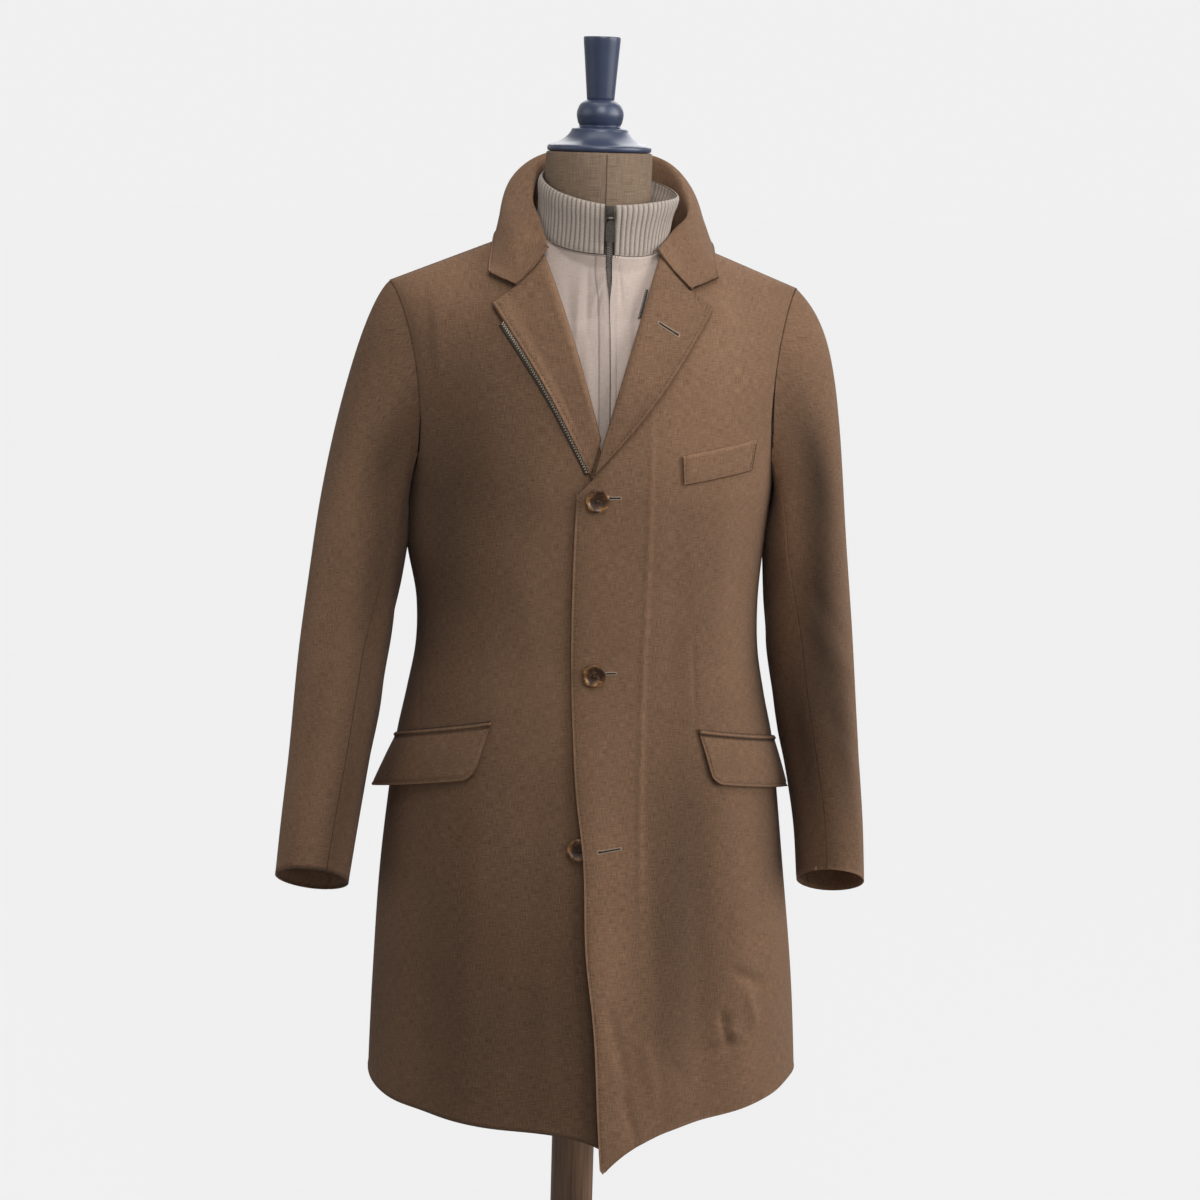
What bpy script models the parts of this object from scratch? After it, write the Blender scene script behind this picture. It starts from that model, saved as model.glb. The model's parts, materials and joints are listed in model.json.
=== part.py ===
"""A single-breasted knee-length coat with its zip-in bib, on a limbless tailor's form with a turned stand.

Metres, +Z up. The coat faces -Y, the wearer's left is +X, and the origin is on the floor under the pole.
"""

import math
from collections import namedtuple

import bmesh
import bpy
import numpy as np
from mathutils import Matrix, Vector

# Cloth and clearances
WALL = 0.002
SEAM = 0.0003
LAID_ON = 0.0004
LAPEL_WALL = 0.0026
LAPEL_LAID_ON = 0.0006
COLLAR_WALL = 0.0026

# Body of the coat: level sections from the hem to the chest line
Section = namedtuple("Section", "height half_width front_depth back_depth sway")
BODY = [
    Section(0.500, 0.2490, 0.168, 0.153, 0.0090),
    Section(0.680, 0.2390, 0.158, 0.143, 0.0058),
    Section(0.815, 0.2270, 0.150, 0.137, 0.0020),
    Section(0.890, 0.2185, 0.146, 0.134, 0.0015),
    Section(0.957, 0.2100, 0.142, 0.131, 0.0015),
    Section(1.010, 0.1985, 0.138, 0.127, 0.0010),
    Section(1.060, 0.1895, 0.136, 0.124, 0.0010),
    Section(1.110, 0.1880, 0.138, 0.124, 0.0000),
    Section(1.180, 0.1960, 0.142, 0.126, -0.0040),
    Section(1.245, 0.1990, 0.145, 0.128, -0.0005),
]
CHEST_HEIGHT = BODY[-1].height
CHEST_HALF_WIDTH = BODY[-1].half_width
SQUARENESS = 0.045
HEM_HEIGHT = 0.563
HEM_FRONT_DIP = 0.008
CORNER_WIDTH = math.radians(8)
CORNER_TURN = math.radians(3)
LEFT_CORNER_DROP = 0.044
RIGHT_CORNER_DROP = 0.022

# Shoulders: a ridge from the shoulder points up to the neck
SHOULDER_HALF_WIDTH = 0.220
SHOULDER_HEIGHT = 1.455
SHOULDER_SLOPE = 0.395
SHOULDER_WIDENING = 1.5
RIDGE_DEPTH = 0.008
NECK_RISE = 0.030
NECK_RISE_RADIUS = 0.110
NECK_POINT = 0.092
Dome = namedtuple("Dome", "curve centre_fall side_fall")
FRONT_DOME = Dome(1.8, 0.62, 0.40)
BACK_DOME = Dome(3.5, 0.50, 0.36)
BACK_NECK_LIFT = 0.828
BACK_NECK_CURVE = 0.6
ARMHOLE_TURN = math.radians(29)
ARMHOLE_EASE = 0.12
ARMHOLE_ROUNDNESS = 0.6

# Soft vertical folds: where they lie round the body, between which heights, how wide and how deep
FOLD_FADE = 0.10
Fold = namedtuple("Fold", "turn top bottom width depth")
FOLDS = [
    Fold(29, 1.00, 0.50, 8.0, -0.005),
    Fold(52, 0.92, 0.50, 9.0, 0.003),
    Fold(-27, 0.95, 0.50, 9.0, 0.003),
    Fold(-48, 0.90, 0.50, 8.0, -0.004),
    Fold(122, 1.02, 0.50, 8.0, -0.006),
    Fold(143, 1.05, 0.50, 8.0, 0.006),
    Fold(163, 0.98, 0.50, 8.0, -0.005),
    Fold(-118, 1.02, 0.50, 8.0, -0.005),
    Fold(-139, 1.00, 0.50, 9.0, 0.006),
    Fold(-160, 1.04, 0.50, 8.0, -0.006),
]

# Fronts: the left one laps over, and its edge swings away below the middle button
Edge = namedtuple("Edge", "height x stand_off")
LEFT_EDGE = [
    Edge(0.500, 0.0170, 0.0125),
    Edge(0.610, 0.0086, 0.0115),
    Edge(0.705, 0.0022, 0.0105),
    Edge(0.772, -0.0067, 0.0095),
    Edge(0.884, -0.0123, 0.0085),
    Edge(0.938, -0.0197, 0.0065),
    Edge(1.016, -0.0254, 0.0042),
    Edge(1.183, -0.0289, 0.0038),
    Edge(1.245, -0.0276, 0.0038),
]
RIGHT_EDGE_TOP = 0.026
RIGHT_EDGE_HEM = 0.048
OVERLAP_NEAR = 0.030
OVERLAP_FAR = 0.130
BREAK_LIFT = 0.074
GORGE_LIFT = 0.842
LEFT_ROLL = (0.0946, -0.0184)
RIGHT_ROLL = (0.0866, -0.0124)
ROLL_TUCK = 0.008
TUCK_FULL_LIFT = 0.30
NECKLINE_FROM_LIFT = 0.80

# Lapels, in the front's own x and z
Lapel = namedtuple("Lapel", "break_x break_z tip_x tip_z notch_x notch_z belly")
LEFT_LAPEL = Lapel(-0.0127, 1.2688, 0.1175, 1.4324, 0.0929, 1.4535, 0.004)
RIGHT_LAPEL = Lapel(-0.0140, 1.2710, -0.1140, 1.4351, -0.0886, 1.4551, -0.003)
NOTCH_SHARE = 0.58
NOTCH_FROM = 0.75
LAPEL_BREAK_CLEAR = 0.012
LAPELS_APART = 0.004
ROLL_PUFF = 0.0050
ROLL_SHARE = 0.16
ROLL_FROM = 0.05
ROLL_FULL = 0.45
ROLL_FLATTENS = 1.5

# Collar: fold, middle and outer edge of the folded cloth, from the right gorge round to the left one
Station = namedtuple("Station", "fold middle edge")
COLLAR = [
    Station((-0.0585, -0.0660, 1.4965), (-0.0900, -0.0708, 1.4585), (-0.1170, -0.0490, 1.4700)),
    Station((-0.0650, -0.0280, 1.5245), (-0.0905, -0.0340, 1.5100), (-0.1125, -0.0210, 1.4890)),
    Station((-0.0700, 0.0100, 1.5480), (-0.0965, 0.0250, 1.5400), (-0.1060, 0.0200, 1.5080)),
    Station((-0.0530, 0.0690, 1.5865), (-0.0775, 0.0740, 1.5700), (-0.0900, 0.0760, 1.5050)),
    Station((0.0060, 0.0890, 1.5970), (0.0040, 0.1060, 1.5700), (0.0000, 0.1090, 1.5090)),
    Station((0.0770, 0.0730, 1.5850), (0.0965, 0.0770, 1.5630), (0.1010, 0.0760, 1.5040)),
    Station((0.1000, 0.0120, 1.5380), (0.1145, 0.0230, 1.5290), (0.1235, 0.0200, 1.5030)),
    Station((0.0790, -0.0280, 1.5145), (0.1020, -0.0340, 1.5020), (0.1245, -0.0210, 1.4845)),
    Station((0.0595, -0.0660, 1.4955), (0.0935, -0.0710, 1.4575), (0.1258, -0.0470, 1.4700)),
]
COLLAR_FROM_LIFT = 0.862
COLLAR_SEAM_LAP = 0.003
COLLAR_SEAM_OUT = 0.0041
COLLAR_BACK_LAP = 0.009
COLLAR_STIFF_FROM = 2.2
COLLAR_STIFF_FULL = 3.0
COLLAR_STRAIGHT_ENDS = 1.0
COLLAR_LENGTHS = 24
COLLAR_STEPS = (0.0, 0.5, 1.0, 1.5, 1.78, 2.0, 2.22, 2.6, 3.0, 3.5, 4.0)

# Sleeves: level sections below the armhole, from the upper arm to the cuff
Ring = namedtuple("Ring", "height outer inner front back tilt lean")
RIGHT_SLEEVE = [
    Ring(1.170, 0.2995, 0.2060, -0.082, 0.066, 0.00, 0.00),
    Ring(1.055, 0.3150, 0.2190, -0.084, 0.060, 0.08, 0.00),
    Ring(0.930, 0.3275, 0.2390, -0.090, 0.042, 0.22, 0.02),
    Ring(0.860, 0.3350, 0.2510, -0.096, 0.026, 0.36, 0.07),
    Ring(0.803, 0.3405, 0.2605, -0.101, 0.012, 0.45, 0.12),
]
LEFT_SLEEVE = [
    Ring(1.170, 0.2830, 0.2000, -0.080, 0.066, 0.00, 0.00),
    Ring(1.055, 0.2955, 0.2035, -0.084, 0.060, 0.08, 0.00),
    Ring(0.930, 0.3075, 0.2260, -0.090, 0.042, 0.22, -0.03),
    Ring(0.860, 0.3130, 0.2375, -0.096, 0.026, 0.36, -0.09),
    Ring(0.798, 0.3160, 0.2420, -0.101, 0.012, 0.45, -0.15),
]
CAP_FULLNESS = 0.10
LEFT_CAP_EXTRA = 0.15
ARMHOLE_STEPS = 11
ARMHOLE_GAP = 0.0004
UNDERARM_LAP = 0.0026
UNDERARM_LAP_FROM = 0.60
UNDERARM_LAP_FULL = 0.25
ARMHOLE_HALF_WIDTH = 0.060
SEAM_STEP = 7
CAP_RINGS = 6
ARM_RINGS = 8
CAP_LEAVES = Vector((0.74, 0.0, -0.67))
CAP_ARRIVE_LENGTH = 0.50
CAP_ROLL = 0.004
ARM_DIRECTION_STEP = 0.02
SLEEVE_SEAM_APART = 0.012

# Pockets
Pocket = namedtuple("Pocket", "front_turn back_turn front_height back_height depth flare")
LEFT_POCKET = Pocket(31.5, 82, 0.9905, 0.9550, 0.053, 0.008)
RIGHT_POCKET = Pocket(-32.5, -86, 0.9985, 0.9560, 0.055, 0.016)
FLAP_FRONT_SLANT = math.radians(3)
FLAP_LIFT = 0.0022
JET_HEIGHT = 0.0045
WELT_TOP = ((0.0825, 1.2898), (0.1670, 1.3023))
WELT_BOTTOM = ((0.0843, 1.2609), (0.1617, 1.2714))
POCKET_CLOTH = 0.0018
POCKET_LAID_ON = 0.0008

# Buttons, down the closing line
BUTTON_RADIUS = 0.0125
BUTTON_THICKNESS = 0.0040
BUTTON_RIM = 0.0022
BUTTON_DISH = 0.0012
BUTTON_ROUND = 0.0008
BUTTON_FOOT_SHARE = 0.62
Button = namedtuple("Button", "x z on_left_front shank")
BUTTONS = [
    Button(-0.0066, 1.2455, True, 0.0006),
    Button(-0.0043, 1.0585, True, 0.0011),
    Button(-0.0162, 0.8694, False, 0.0006),
]

# Zip-in bib and its knitted collar
ZIP_X = 0.0055
BIB_TOP = 1.4880
BIB_TOP_GAP = 0.0009
BIB_BOTTOM = 1.2300
BIB_INSET = 0.0055
BIB_CLEAR = 0.0045
BIB_UNDER_LAPEL = 0.021
BIB_LEAST_HALF = 0.016
BIB_HANG = 0.075
BIB_TOP_EASE = 0.060
BIB_PROBE_X = 0.030
BIB_OPEN_GAP = 0.0052
BIB_CLOSED_GAP = 0.0006
BIB_OPEN_FROM = 1.4470
RIB_COUNT = 72
RIB_HEIGHT = 0.0012
RIB_WALL = 0.0030
Band = namedtuple("Band", "share half_left half_right half_y centre_y")
RIB_BANDS = [
    Band(0.00, 0.0706, 0.0705, 0.0750, -0.0055),
    Band(0.50, 0.0742, 0.0685, 0.0745, -0.0040),
    Band(1.00, 0.0800, 0.0675, 0.0740, -0.0025),
]
Rim = namedtuple("Rim", "turn height")
RIB_BASE = [
    Rim(-180, 1.5360),
    Rim(-135, 1.5300),
    Rim(-90, 1.5190),
    Rim(-60, 1.5035),
    Rim(-30, 1.4950),
    Rim(0, 1.4920),
    Rim(30, 1.4905),
    Rim(60, 1.4982),
    Rim(90, 1.5185),
    Rim(135, 1.5300),
    Rim(180, 1.5360),
]
RIB_RIM = [
    Rim(-180, 1.578),
    Rim(-135, 1.578),
    Rim(-90, 1.568),
    Rim(-45, 1.552),
    Rim(0, 1.5425),
    Rim(45, 1.5465),
    Rim(90, 1.5530),
    Rim(135, 1.566),
    Rim(180, 1.578),
]
RIB_OPENING = 0.0052
ZIP_CHAIN_WIDTH = 0.0050
BIB_ZIP_WIDTH = 0.0084
ZIP_CHAIN_THICKNESS = 0.0014
ZIP_BOTTOM = 1.2500
ZIP_BELOW_COLLAR = 0.002
ZIP_IN_COLLAR = 0.008
ZIP_BESIDE_LAPEL = 0.0006
LAPEL_ZIP_FROM = 0.06
LAPEL_ZIP_TO = 0.90
SIDE_ZIP_TOP = 1.4570
SIDE_ZIP_BOTTOM = 1.4290
SIDE_ZIP_OUT = 0.0012

# Zip slider and pull tab
SLIDER_TOP = 1.5420
SLIDER_LENGTH = 0.0165
SLIDER_WIDTH = 0.0096
SLIDER_THICKNESS = 0.0042
SLIDER_ROUND = 0.0012
SLIDER_FRONT = -0.0812
PIN_HEIGHT = 1.5290
PIN_FORWARD = 0.0034
PIN_RADIUS = 0.0007
LUG_INNER = 0.0026
LUG_THICKNESS = 0.0011
LUG_RADIUS = 0.0017
LUG_ROOT = 0.0016
LUG_ROUND_SHARE = 0.9
PULL_THICKNESS = 0.0014
PULL_NECK = 0.0044
PULL_EYE_RADIUS = 0.0011
PULL_EYE_WALL = 0.0009
Blade = namedtuple("Blade", "drop half_width")
PULL_BLADE = [
    Blade(0.0000, 0.0021),
    Blade(0.0035, 0.0022),
    Blade(0.0052, 0.0038),
    Blade(0.0068, 0.0046),
    Blade(0.0215, 0.0048),
    Blade(0.0230, 0.0043),
    Blade(0.0237, 0.0032),
]

# Dress form and stand
FORM_BOTTOM = 0.870
FORM_GAP_SHOULDER = 0.0018
FORM_GAP_BODY = 0.0125
FORM_NECK_RADIUS = 0.0565
FORM_NECK_ROOT = 1.3450
FORM_CLOSE_LIFT = 0.998
FORM_CLEAR_LIFT = 0.80
NECK_TOP = 1.5950
POLE_RADIUS = 0.0245
BASE_RADIUS = 0.2100
BASE_THICKNESS = 0.0240
BASE_SOCKET_RADIUS = 0.0450
BASE_SOCKET_HEIGHT = 0.0500
BASE_ROUND = 0.0120
BASE_EDGE_ROUND = 0.0035
CAP_SIDES = 28
POLE_SIDES = 24
BASE_SIDES = 40
Turned = namedtuple("Turned", "radius height")
NECK_CAP = [
    Turned(0.0185, 0.1180),
    Turned(0.0195, 0.1165),
    Turned(0.0180, 0.0980),
    Turned(0.0147, 0.0560),
    Turned(0.0150, 0.0540),
    Turned(0.0215, 0.0490),
    Turned(0.0248, 0.0400),
    Turned(0.0235, 0.0310),
    Turned(0.0220, 0.0265),
    Turned(0.0290, 0.0240),
    Turned(0.0310, 0.0205),
    Turned(0.0360, 0.0150),
    Turned(0.0440, 0.0100),
    Turned(0.0530, 0.0070),
    Turned(0.0552, 0.0045),
    Turned(0.0548, 0.0012),
    Turned(0.0530, 0.0003),
]

# Colours, roughness and metallic value of each material
CLOTH = ("coat_cloth", (0.150, 0.098, 0.062), 0.85, 0.0)
BIB_CLOTH = ("bib_cloth", (0.540, 0.440, 0.370), 0.80, 0.0)
KNIT = ("rib_knit", (0.470, 0.400, 0.310), 0.90, 0.0)
HORN = ("button_horn", (0.160, 0.075, 0.025), 0.30, 0.0)
SILVER_ZIP = ("silver_zip", (0.450, 0.430, 0.400), 0.40, 0.9)
DARK_ZIP = ("dark_zip", (0.090, 0.080, 0.070), 0.40, 0.9)
LINEN = ("form_linen", (0.270, 0.190, 0.130), 0.90, 0.0)
CAP_PAINT = ("cap_paint", (0.030, 0.037, 0.065), 0.45, 0.0)
WOOD = ("stand_wood", (0.150, 0.080, 0.045), 0.55, 0.0)


def clear_scene():
    for found in list(bpy.data.objects):
        bpy.data.objects.remove(found, do_unlink=True)


def material_of(finish):
    name, colour, roughness, metallic = finish
    material = bpy.data.materials.get(name)
    if material is None:
        material = bpy.data.materials.new(name)
        material.use_nodes = True
        shader = material.node_tree.nodes["Principled BSDF"]
        shader.inputs["Base Color"].default_value = (*colour, 1.0)
        shader.inputs["Roughness"].default_value = roughness
        shader.inputs["Metallic"].default_value = metallic
    return material


def add_object(name, shape, finish, smooth_angle=math.radians(40)):
    """A named object from a bmesh, with its faces turned out and shaded smooth."""
    bmesh.ops.recalc_face_normals(shape, faces=shape.faces)
    if shape.calc_volume(signed=True) < 0:
        bmesh.ops.reverse_faces(shape, faces=shape.faces)
    mesh = bpy.data.meshes.new(name)
    shape.to_mesh(mesh)
    shape.free()
    mesh.materials.append(material_of(finish))
    mesh.shade_smooth()
    mesh.set_sharp_from_angle(angle=smooth_angle)
    made = bpy.data.objects.new(name, mesh)
    bpy.context.scene.collection.objects.link(made)
    return made


def smooth_step(start, end, value):
    share = np.clip((np.asarray(value, float) - start) / (end - start), 0.0, 1.0)
    return share * share * (3 - 2 * share)


def column(table, name, at, along="height"):
    """One column of a table, read on a smooth curve through its rows."""
    places = np.array([getattr(row, along) for row in table])
    values = np.array([getattr(row, name) for row in table])
    if places[0] > places[-1]:
        places, values = places[::-1], values[::-1]
    slopes = np.gradient(values, places)
    at = np.clip(at, places[0], places[-1])
    row = np.clip(np.searchsorted(places, at) - 1, 0, len(places) - 2)
    gap = places[row + 1] - places[row]
    t = (at - places[row]) / gap
    start = (2 * t**3 - 3 * t**2 + 1) * values[row] + (t**3 - 2 * t**2 + t) * gap * slopes[row]
    end = (3 * t**2 - 2 * t**3) * values[row + 1] + (t**3 - t**2) * gap * slopes[row + 1]
    return start + end


def spline(points, at):
    """Points on a smooth curve through the given ones; at counts them from 0."""
    points = np.asarray(points, float)
    at = np.asarray(at, float)
    padded = np.concatenate([[2 * points[0] - points[1]], points, [2 * points[-1] - points[-2]]])
    first = np.clip(np.floor(at).astype(int), 0, len(points) - 2)
    t = (at - first)[:, None]
    before, start, end, after = (padded[first + step] for step in range(4))
    return 0.5 * (
        2 * start
        + (end - before) * t
        + (2 * before - 5 * start + 4 * end - after) * t**2
        + (3 * start - before - 3 * end + after) * t**3
    )


def wall_between(name, outer, inner, finish):
    """A closed wall between two grids of points that have the same rows and columns."""
    shape = bmesh.new()
    rows, columns = outer.shape[:2]
    out_side = [[shape.verts.new(point) for point in row] for row in outer]
    in_side = [[shape.verts.new(point) for point in row] for row in inner]
    for r in range(rows - 1):
        for c in range(columns - 1):
            corners = ((r, c), (r, c + 1), (r + 1, c + 1), (r + 1, c))
            shape.faces.new([out_side[i][j] for i, j in corners])
            shape.faces.new([in_side[i][j] for i, j in reversed(corners)])
    rim = [(0, c) for c in range(columns)]
    rim += [(r, columns - 1) for r in range(1, rows)]
    rim += [(rows - 1, c) for c in range(columns - 2, -1, -1)]
    rim += [(r, 0) for r in range(rows - 2, 0, -1)]
    for (i, j), (k, m) in zip(rim, rim[1:] + rim[:1]):
        shape.faces.new((out_side[i][j], in_side[i][j], in_side[k][m], out_side[k][m]))
    return add_object(name, shape, finish)


def both_sides(grid, thickness):
    """The grid moved half a thickness each way along its own normals."""
    along = np.gradient(grid, axis=0)
    across = np.gradient(grid, axis=1)
    normal = np.cross(along, across)
    normal /= np.linalg.norm(normal, axis=-1, keepdims=True)
    return grid + normal * thickness / 2, grid - normal * thickness / 2


def ridge_height(x, neck_rise=NECK_RISE):
    """Height of the shoulder ridge, which rises from the shoulder point and steepens at the neck."""
    x = np.abs(x)
    neck = np.clip(1 - (x / NECK_RISE_RADIUS) ** 2, 0, 1) ** 2
    return SHOULDER_HEIGHT + SHOULDER_SLOPE * (SHOULDER_HALF_WIDTH - x) + neck_rise * neck


def hem_height(turn, corner_drop=0.0):
    corner = np.exp(-(((turn - CORNER_TURN) / CORNER_WIDTH) ** 2))
    return HEM_HEIGHT - HEM_FRONT_DIP * np.cos(turn) ** 2 - corner_drop * corner


def fold_depth(turn, height):
    """How far the soft folds carry the cloth out at this turn and height."""
    moved = np.zeros(np.broadcast(turn, height).shape)
    for fold in FOLDS:
        away = (np.degrees(turn) - fold.turn + 180) % 360 - 180
        fade = 1 - smooth_step(fold.bottom + FOLD_FADE, fold.top, height)
        moved = moved + fold.depth * np.exp(-((away / fold.width) ** 2)) * fade
    return moved


def half_width_at(lift):
    """Half width of the body above the chest line."""
    widening = np.clip(lift, 0, 1) ** SHOULDER_WIDENING
    return CHEST_HALF_WIDTH + (SHOULDER_HALF_WIDTH - CHEST_HALF_WIDTH) * widening


def dome_share(dome, turn, rise):
    """How much of the body's depth is left at this rise; the shoulder ends are rounder than the middle."""
    fall = dome.centre_fall + (dome.side_fall - dome.centre_fall) * np.sin(turn) ** 4
    return np.clip(1 - rise**dome.curve, 0, 1) ** fall


def body_point(turn, lift, out=0.0, corner_drop=0.0, folded=True, neck_rise=NECK_RISE):
    """A point of the coat's body.

    turn goes from centre front (0) over the wearer's left side (a right angle) to centre back.
    lift is -1 at the hem, 0 on the chest line and 1 on the shoulder ridge.
    out moves the point off the cloth's outer face.
    """
    turn, lift = np.broadcast_arrays(np.asarray(turn, float), np.asarray(lift, float))
    square = 1 + SQUARENESS * np.sin(2 * turn) ** 2
    rise = np.clip(lift, 0, 1)
    low = CHEST_HEIGHT + np.minimum(lift, 0) * (CHEST_HEIGHT - hem_height(turn, corner_drop))
    if folded:
        out = out + fold_depth(turn, low)
    half_width = column(BODY, "half_width", low) + half_width_at(rise) - CHEST_HALF_WIDTH + out
    x = half_width * np.sin(turn) * square + column(BODY, "sway", low) * (1 - rise)
    in_front = np.cos(turn) > 0
    depth = np.where(in_front, column(BODY, "front_depth", low), column(BODY, "back_depth", low)) + out
    dome = np.where(in_front, dome_share(FRONT_DOME, turn, rise), dome_share(BACK_DOME, turn, rise))
    y = RIDGE_DEPTH * rise**2 - depth * np.cos(turn) * square * dome
    z = np.where(lift < 0, low, CHEST_HEIGHT + rise * (ridge_height(x, neck_rise) + out - CHEST_HEIGHT))
    return np.stack([x, y, z], axis=-1)


def lift_of(x, z, turn=0.0):
    """The lift of a height on the front, over this x."""
    above = (z - CHEST_HEIGHT) / (ridge_height(x) - CHEST_HEIGHT)
    below = (z - CHEST_HEIGHT) / (CHEST_HEIGHT - hem_height(turn))
    return np.where(z >= CHEST_HEIGHT, above, below)


def turn_of(x, lift, out=0.0):
    """The turn at which the front reaches this x, at this lift."""
    x, lift, out = np.broadcast_arrays(np.asarray(x, float), np.asarray(lift, float), np.asarray(out, float))
    turn = np.zeros(x.shape)
    for _ in range(8):
        low = CHEST_HEIGHT + np.minimum(lift, 0) * (CHEST_HEIGHT - hem_height(turn))
        half_width = column(BODY, "half_width", low) + half_width_at(lift) - CHEST_HALF_WIDTH + out
        square = 1 + SQUARENESS * np.sin(2 * turn) ** 2
        level = x - column(BODY, "sway", low) * (1 - np.clip(lift, 0, 1))
        turn = np.arcsin(np.clip(level / (half_width * square), -1, 1))
    return turn


def armhole_turn(lift):
    """How far the armhole reaches in from the side, at this lift."""
    reach = 2 * np.sqrt(np.clip(lift * (1 - lift), 0, None))
    return ARMHOLE_TURN * reach**ARMHOLE_ROUNDNESS * (1 - ARMHOLE_EASE * lift)


def roll_x(lift, side):
    """The line on which a lapel turns back."""
    slope, start = LEFT_ROLL if side > 0 else RIGHT_ROLL
    return side * (slope * lift + start)


def front_edge_x(lift, turn_height, side):
    """The edge of a front: its closing edge below the break, then under the lapel to the neck point."""
    if side > 0:
        low_edge = column(LEFT_EDGE, "x", turn_height)
    else:
        share = smooth_step(BODY[0].height, CHEST_HEIGHT, turn_height)
        low_edge = RIGHT_EDGE_HEM + (RIGHT_EDGE_TOP - RIGHT_EDGE_HEM) * share
    tucked = roll_x(lift, side) + side * ROLL_TUCK * smooth_step(BREAK_LIFT, TUCK_FULL_LIFT, lift)
    start = roll_x(NECKLINE_FROM_LIFT, side) + side * ROLL_TUCK
    to_neck = np.clip((lift - NECKLINE_FROM_LIFT) / (1 - NECKLINE_FROM_LIFT), 0, 1)
    neck = start + (side * NECK_POINT - start) * to_neck
    upper = np.where(lift > NECKLINE_FROM_LIFT, neck, tucked)
    below_break = low_edge + (upper - low_edge) * smooth_step(0, BREAK_LIFT, lift)
    return np.where(lift < BREAK_LIFT, below_break, upper)


def overlap_out(x, z):
    """How far the left front lies off the right one, near the closing edge."""
    near = 1 - smooth_step(OVERLAP_NEAR, OVERLAP_FAR, x)
    return column(LEFT_EDGE, "stand_off", z) * near


def upper_lifts(count):
    return 0.5 - 0.5 * np.cos(np.linspace(0, math.pi, count + 1))


FRONT_LOW_ROWS = 12
FRONT_COLUMNS = 12


def build_front(name, side):
    """One front, from hem to shoulder seam and from its edge to the side seam and armhole."""
    lifts = np.concatenate([np.linspace(-1, 0, FRONT_LOW_ROWS + 1), upper_lifts(ARMHOLE_STEPS)[1:]])
    heights = np.where(lifts < 0, CHEST_HEIGHT + lifts * (CHEST_HEIGHT - HEM_HEIGHT), CHEST_HEIGHT)
    edge = front_edge_x(lifts, heights, side)
    start = turn_of(edge, lifts)
    end = side * (math.pi / 2 - armhole_turn(np.clip(lifts, 0, 1)))
    share = np.linspace(0, 1, FRONT_COLUMNS + 1)
    turn = start[:, None] + (end - start)[:, None] * share
    lift = np.repeat(lifts[:, None], FRONT_COLUMNS + 1, axis=1)
    drop = LEFT_CORNER_DROP if side > 0 else RIGHT_CORNER_DROP
    plain = body_point(turn, lift, 0.0, drop)
    out = overlap_out(plain[..., 0], plain[..., 2]) if side > 0 else np.zeros(turn.shape)
    to_front = np.array([0.0, -SEAM / 2, 0.0])
    outer = body_point(turn, lift, out, drop) + to_front
    inner = body_point(turn, lift, out - WALL, drop) + to_front
    return wall_between(name, outer, inner, CLOTH)


BACK_LOW_ROWS = 11
BACK_COLUMNS = 10


def back_neck_lift(share):
    """The lift of the back neckline: share goes from centre back to the neck point."""
    return BACK_NECK_LIFT + (1 - BACK_NECK_LIFT) * share ** (1 / BACK_NECK_CURVE)


def build_back(name, side):
    """One half of the back, from the side seam and armhole to the centre back seam and neckline."""
    high = upper_lifts(ARMHOLE_STEPS)[1:]
    lifts = np.concatenate([np.linspace(-1, 0, BACK_LOW_ROWS + 1), high])
    neck_turn = math.pi - turn_of(NECK_POINT, 1.0)
    start = math.pi / 2 + armhole_turn(np.clip(lifts, 0, 1))
    past_neck = np.clip((lifts - BACK_NECK_LIFT) / (1 - BACK_NECK_LIFT), 0, 1)
    end = math.pi + (neck_turn - math.pi) * past_neck**BACK_NECK_CURVE
    share = np.linspace(0, 1, BACK_COLUMNS + 1)
    turn = side * (start[:, None] + (end - start)[:, None] * share)
    lift = np.repeat(lifts[:, None], BACK_COLUMNS + 1, axis=1)
    apart = np.array([side * SEAM / 2, SEAM / 2, 0.0])
    outer = body_point(turn, lift) + apart
    inner = body_point(turn, lift, -WALL) + apart
    return wall_between(name, outer, inner, CLOTH)


def armhole_loop(turn_round, side, out):
    """The armhole's edge seen from the sleeve: 0 at the shoulder point, a right angle at the front."""
    lift = 0.5 + 0.5 * np.cos(turn_round)
    reach = armhole_turn(lift) * np.sign(np.sin(turn_round)) * (1 - ARMHOLE_GAP / ARMHOLE_HALF_WIDTH)
    apart = np.zeros((len(turn_round), 3))
    apart[:, 0] = side * ARMHOLE_GAP
    apart[:, 2] = -ARMHOLE_GAP * np.cos(turn_round)
    lap = UNDERARM_LAP * smooth_step(UNDERARM_LAP_FROM, UNDERARM_LAP_FULL, lift)
    return body_point(side * (math.pi / 2 - reach), lift, out + lap) + apart


def sleeve_ring(table, height, turn_round, side, inset):
    """One ring of a sleeve below the armhole; the tilt lifts its front edge."""
    outer = column(table, "outer", height) - inset
    inner = column(table, "inner", height) + inset
    front = column(table, "front", height) + inset
    back = column(table, "back", height) - inset
    tilt = column(table, "tilt", height)
    across = (outer + inner) / 2 + (outer - inner) / 2 * np.cos(turn_round)
    middle = (front + back) / 2
    along = middle - (back - front) / 2 * np.sin(turn_round)
    lean = column(table, "lean", height) * (outer - inner) / 2 * np.cos(turn_round)
    up = height + tilt * (middle - along) + lean
    return np.stack([side * across, along, up], axis=-1)


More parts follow.
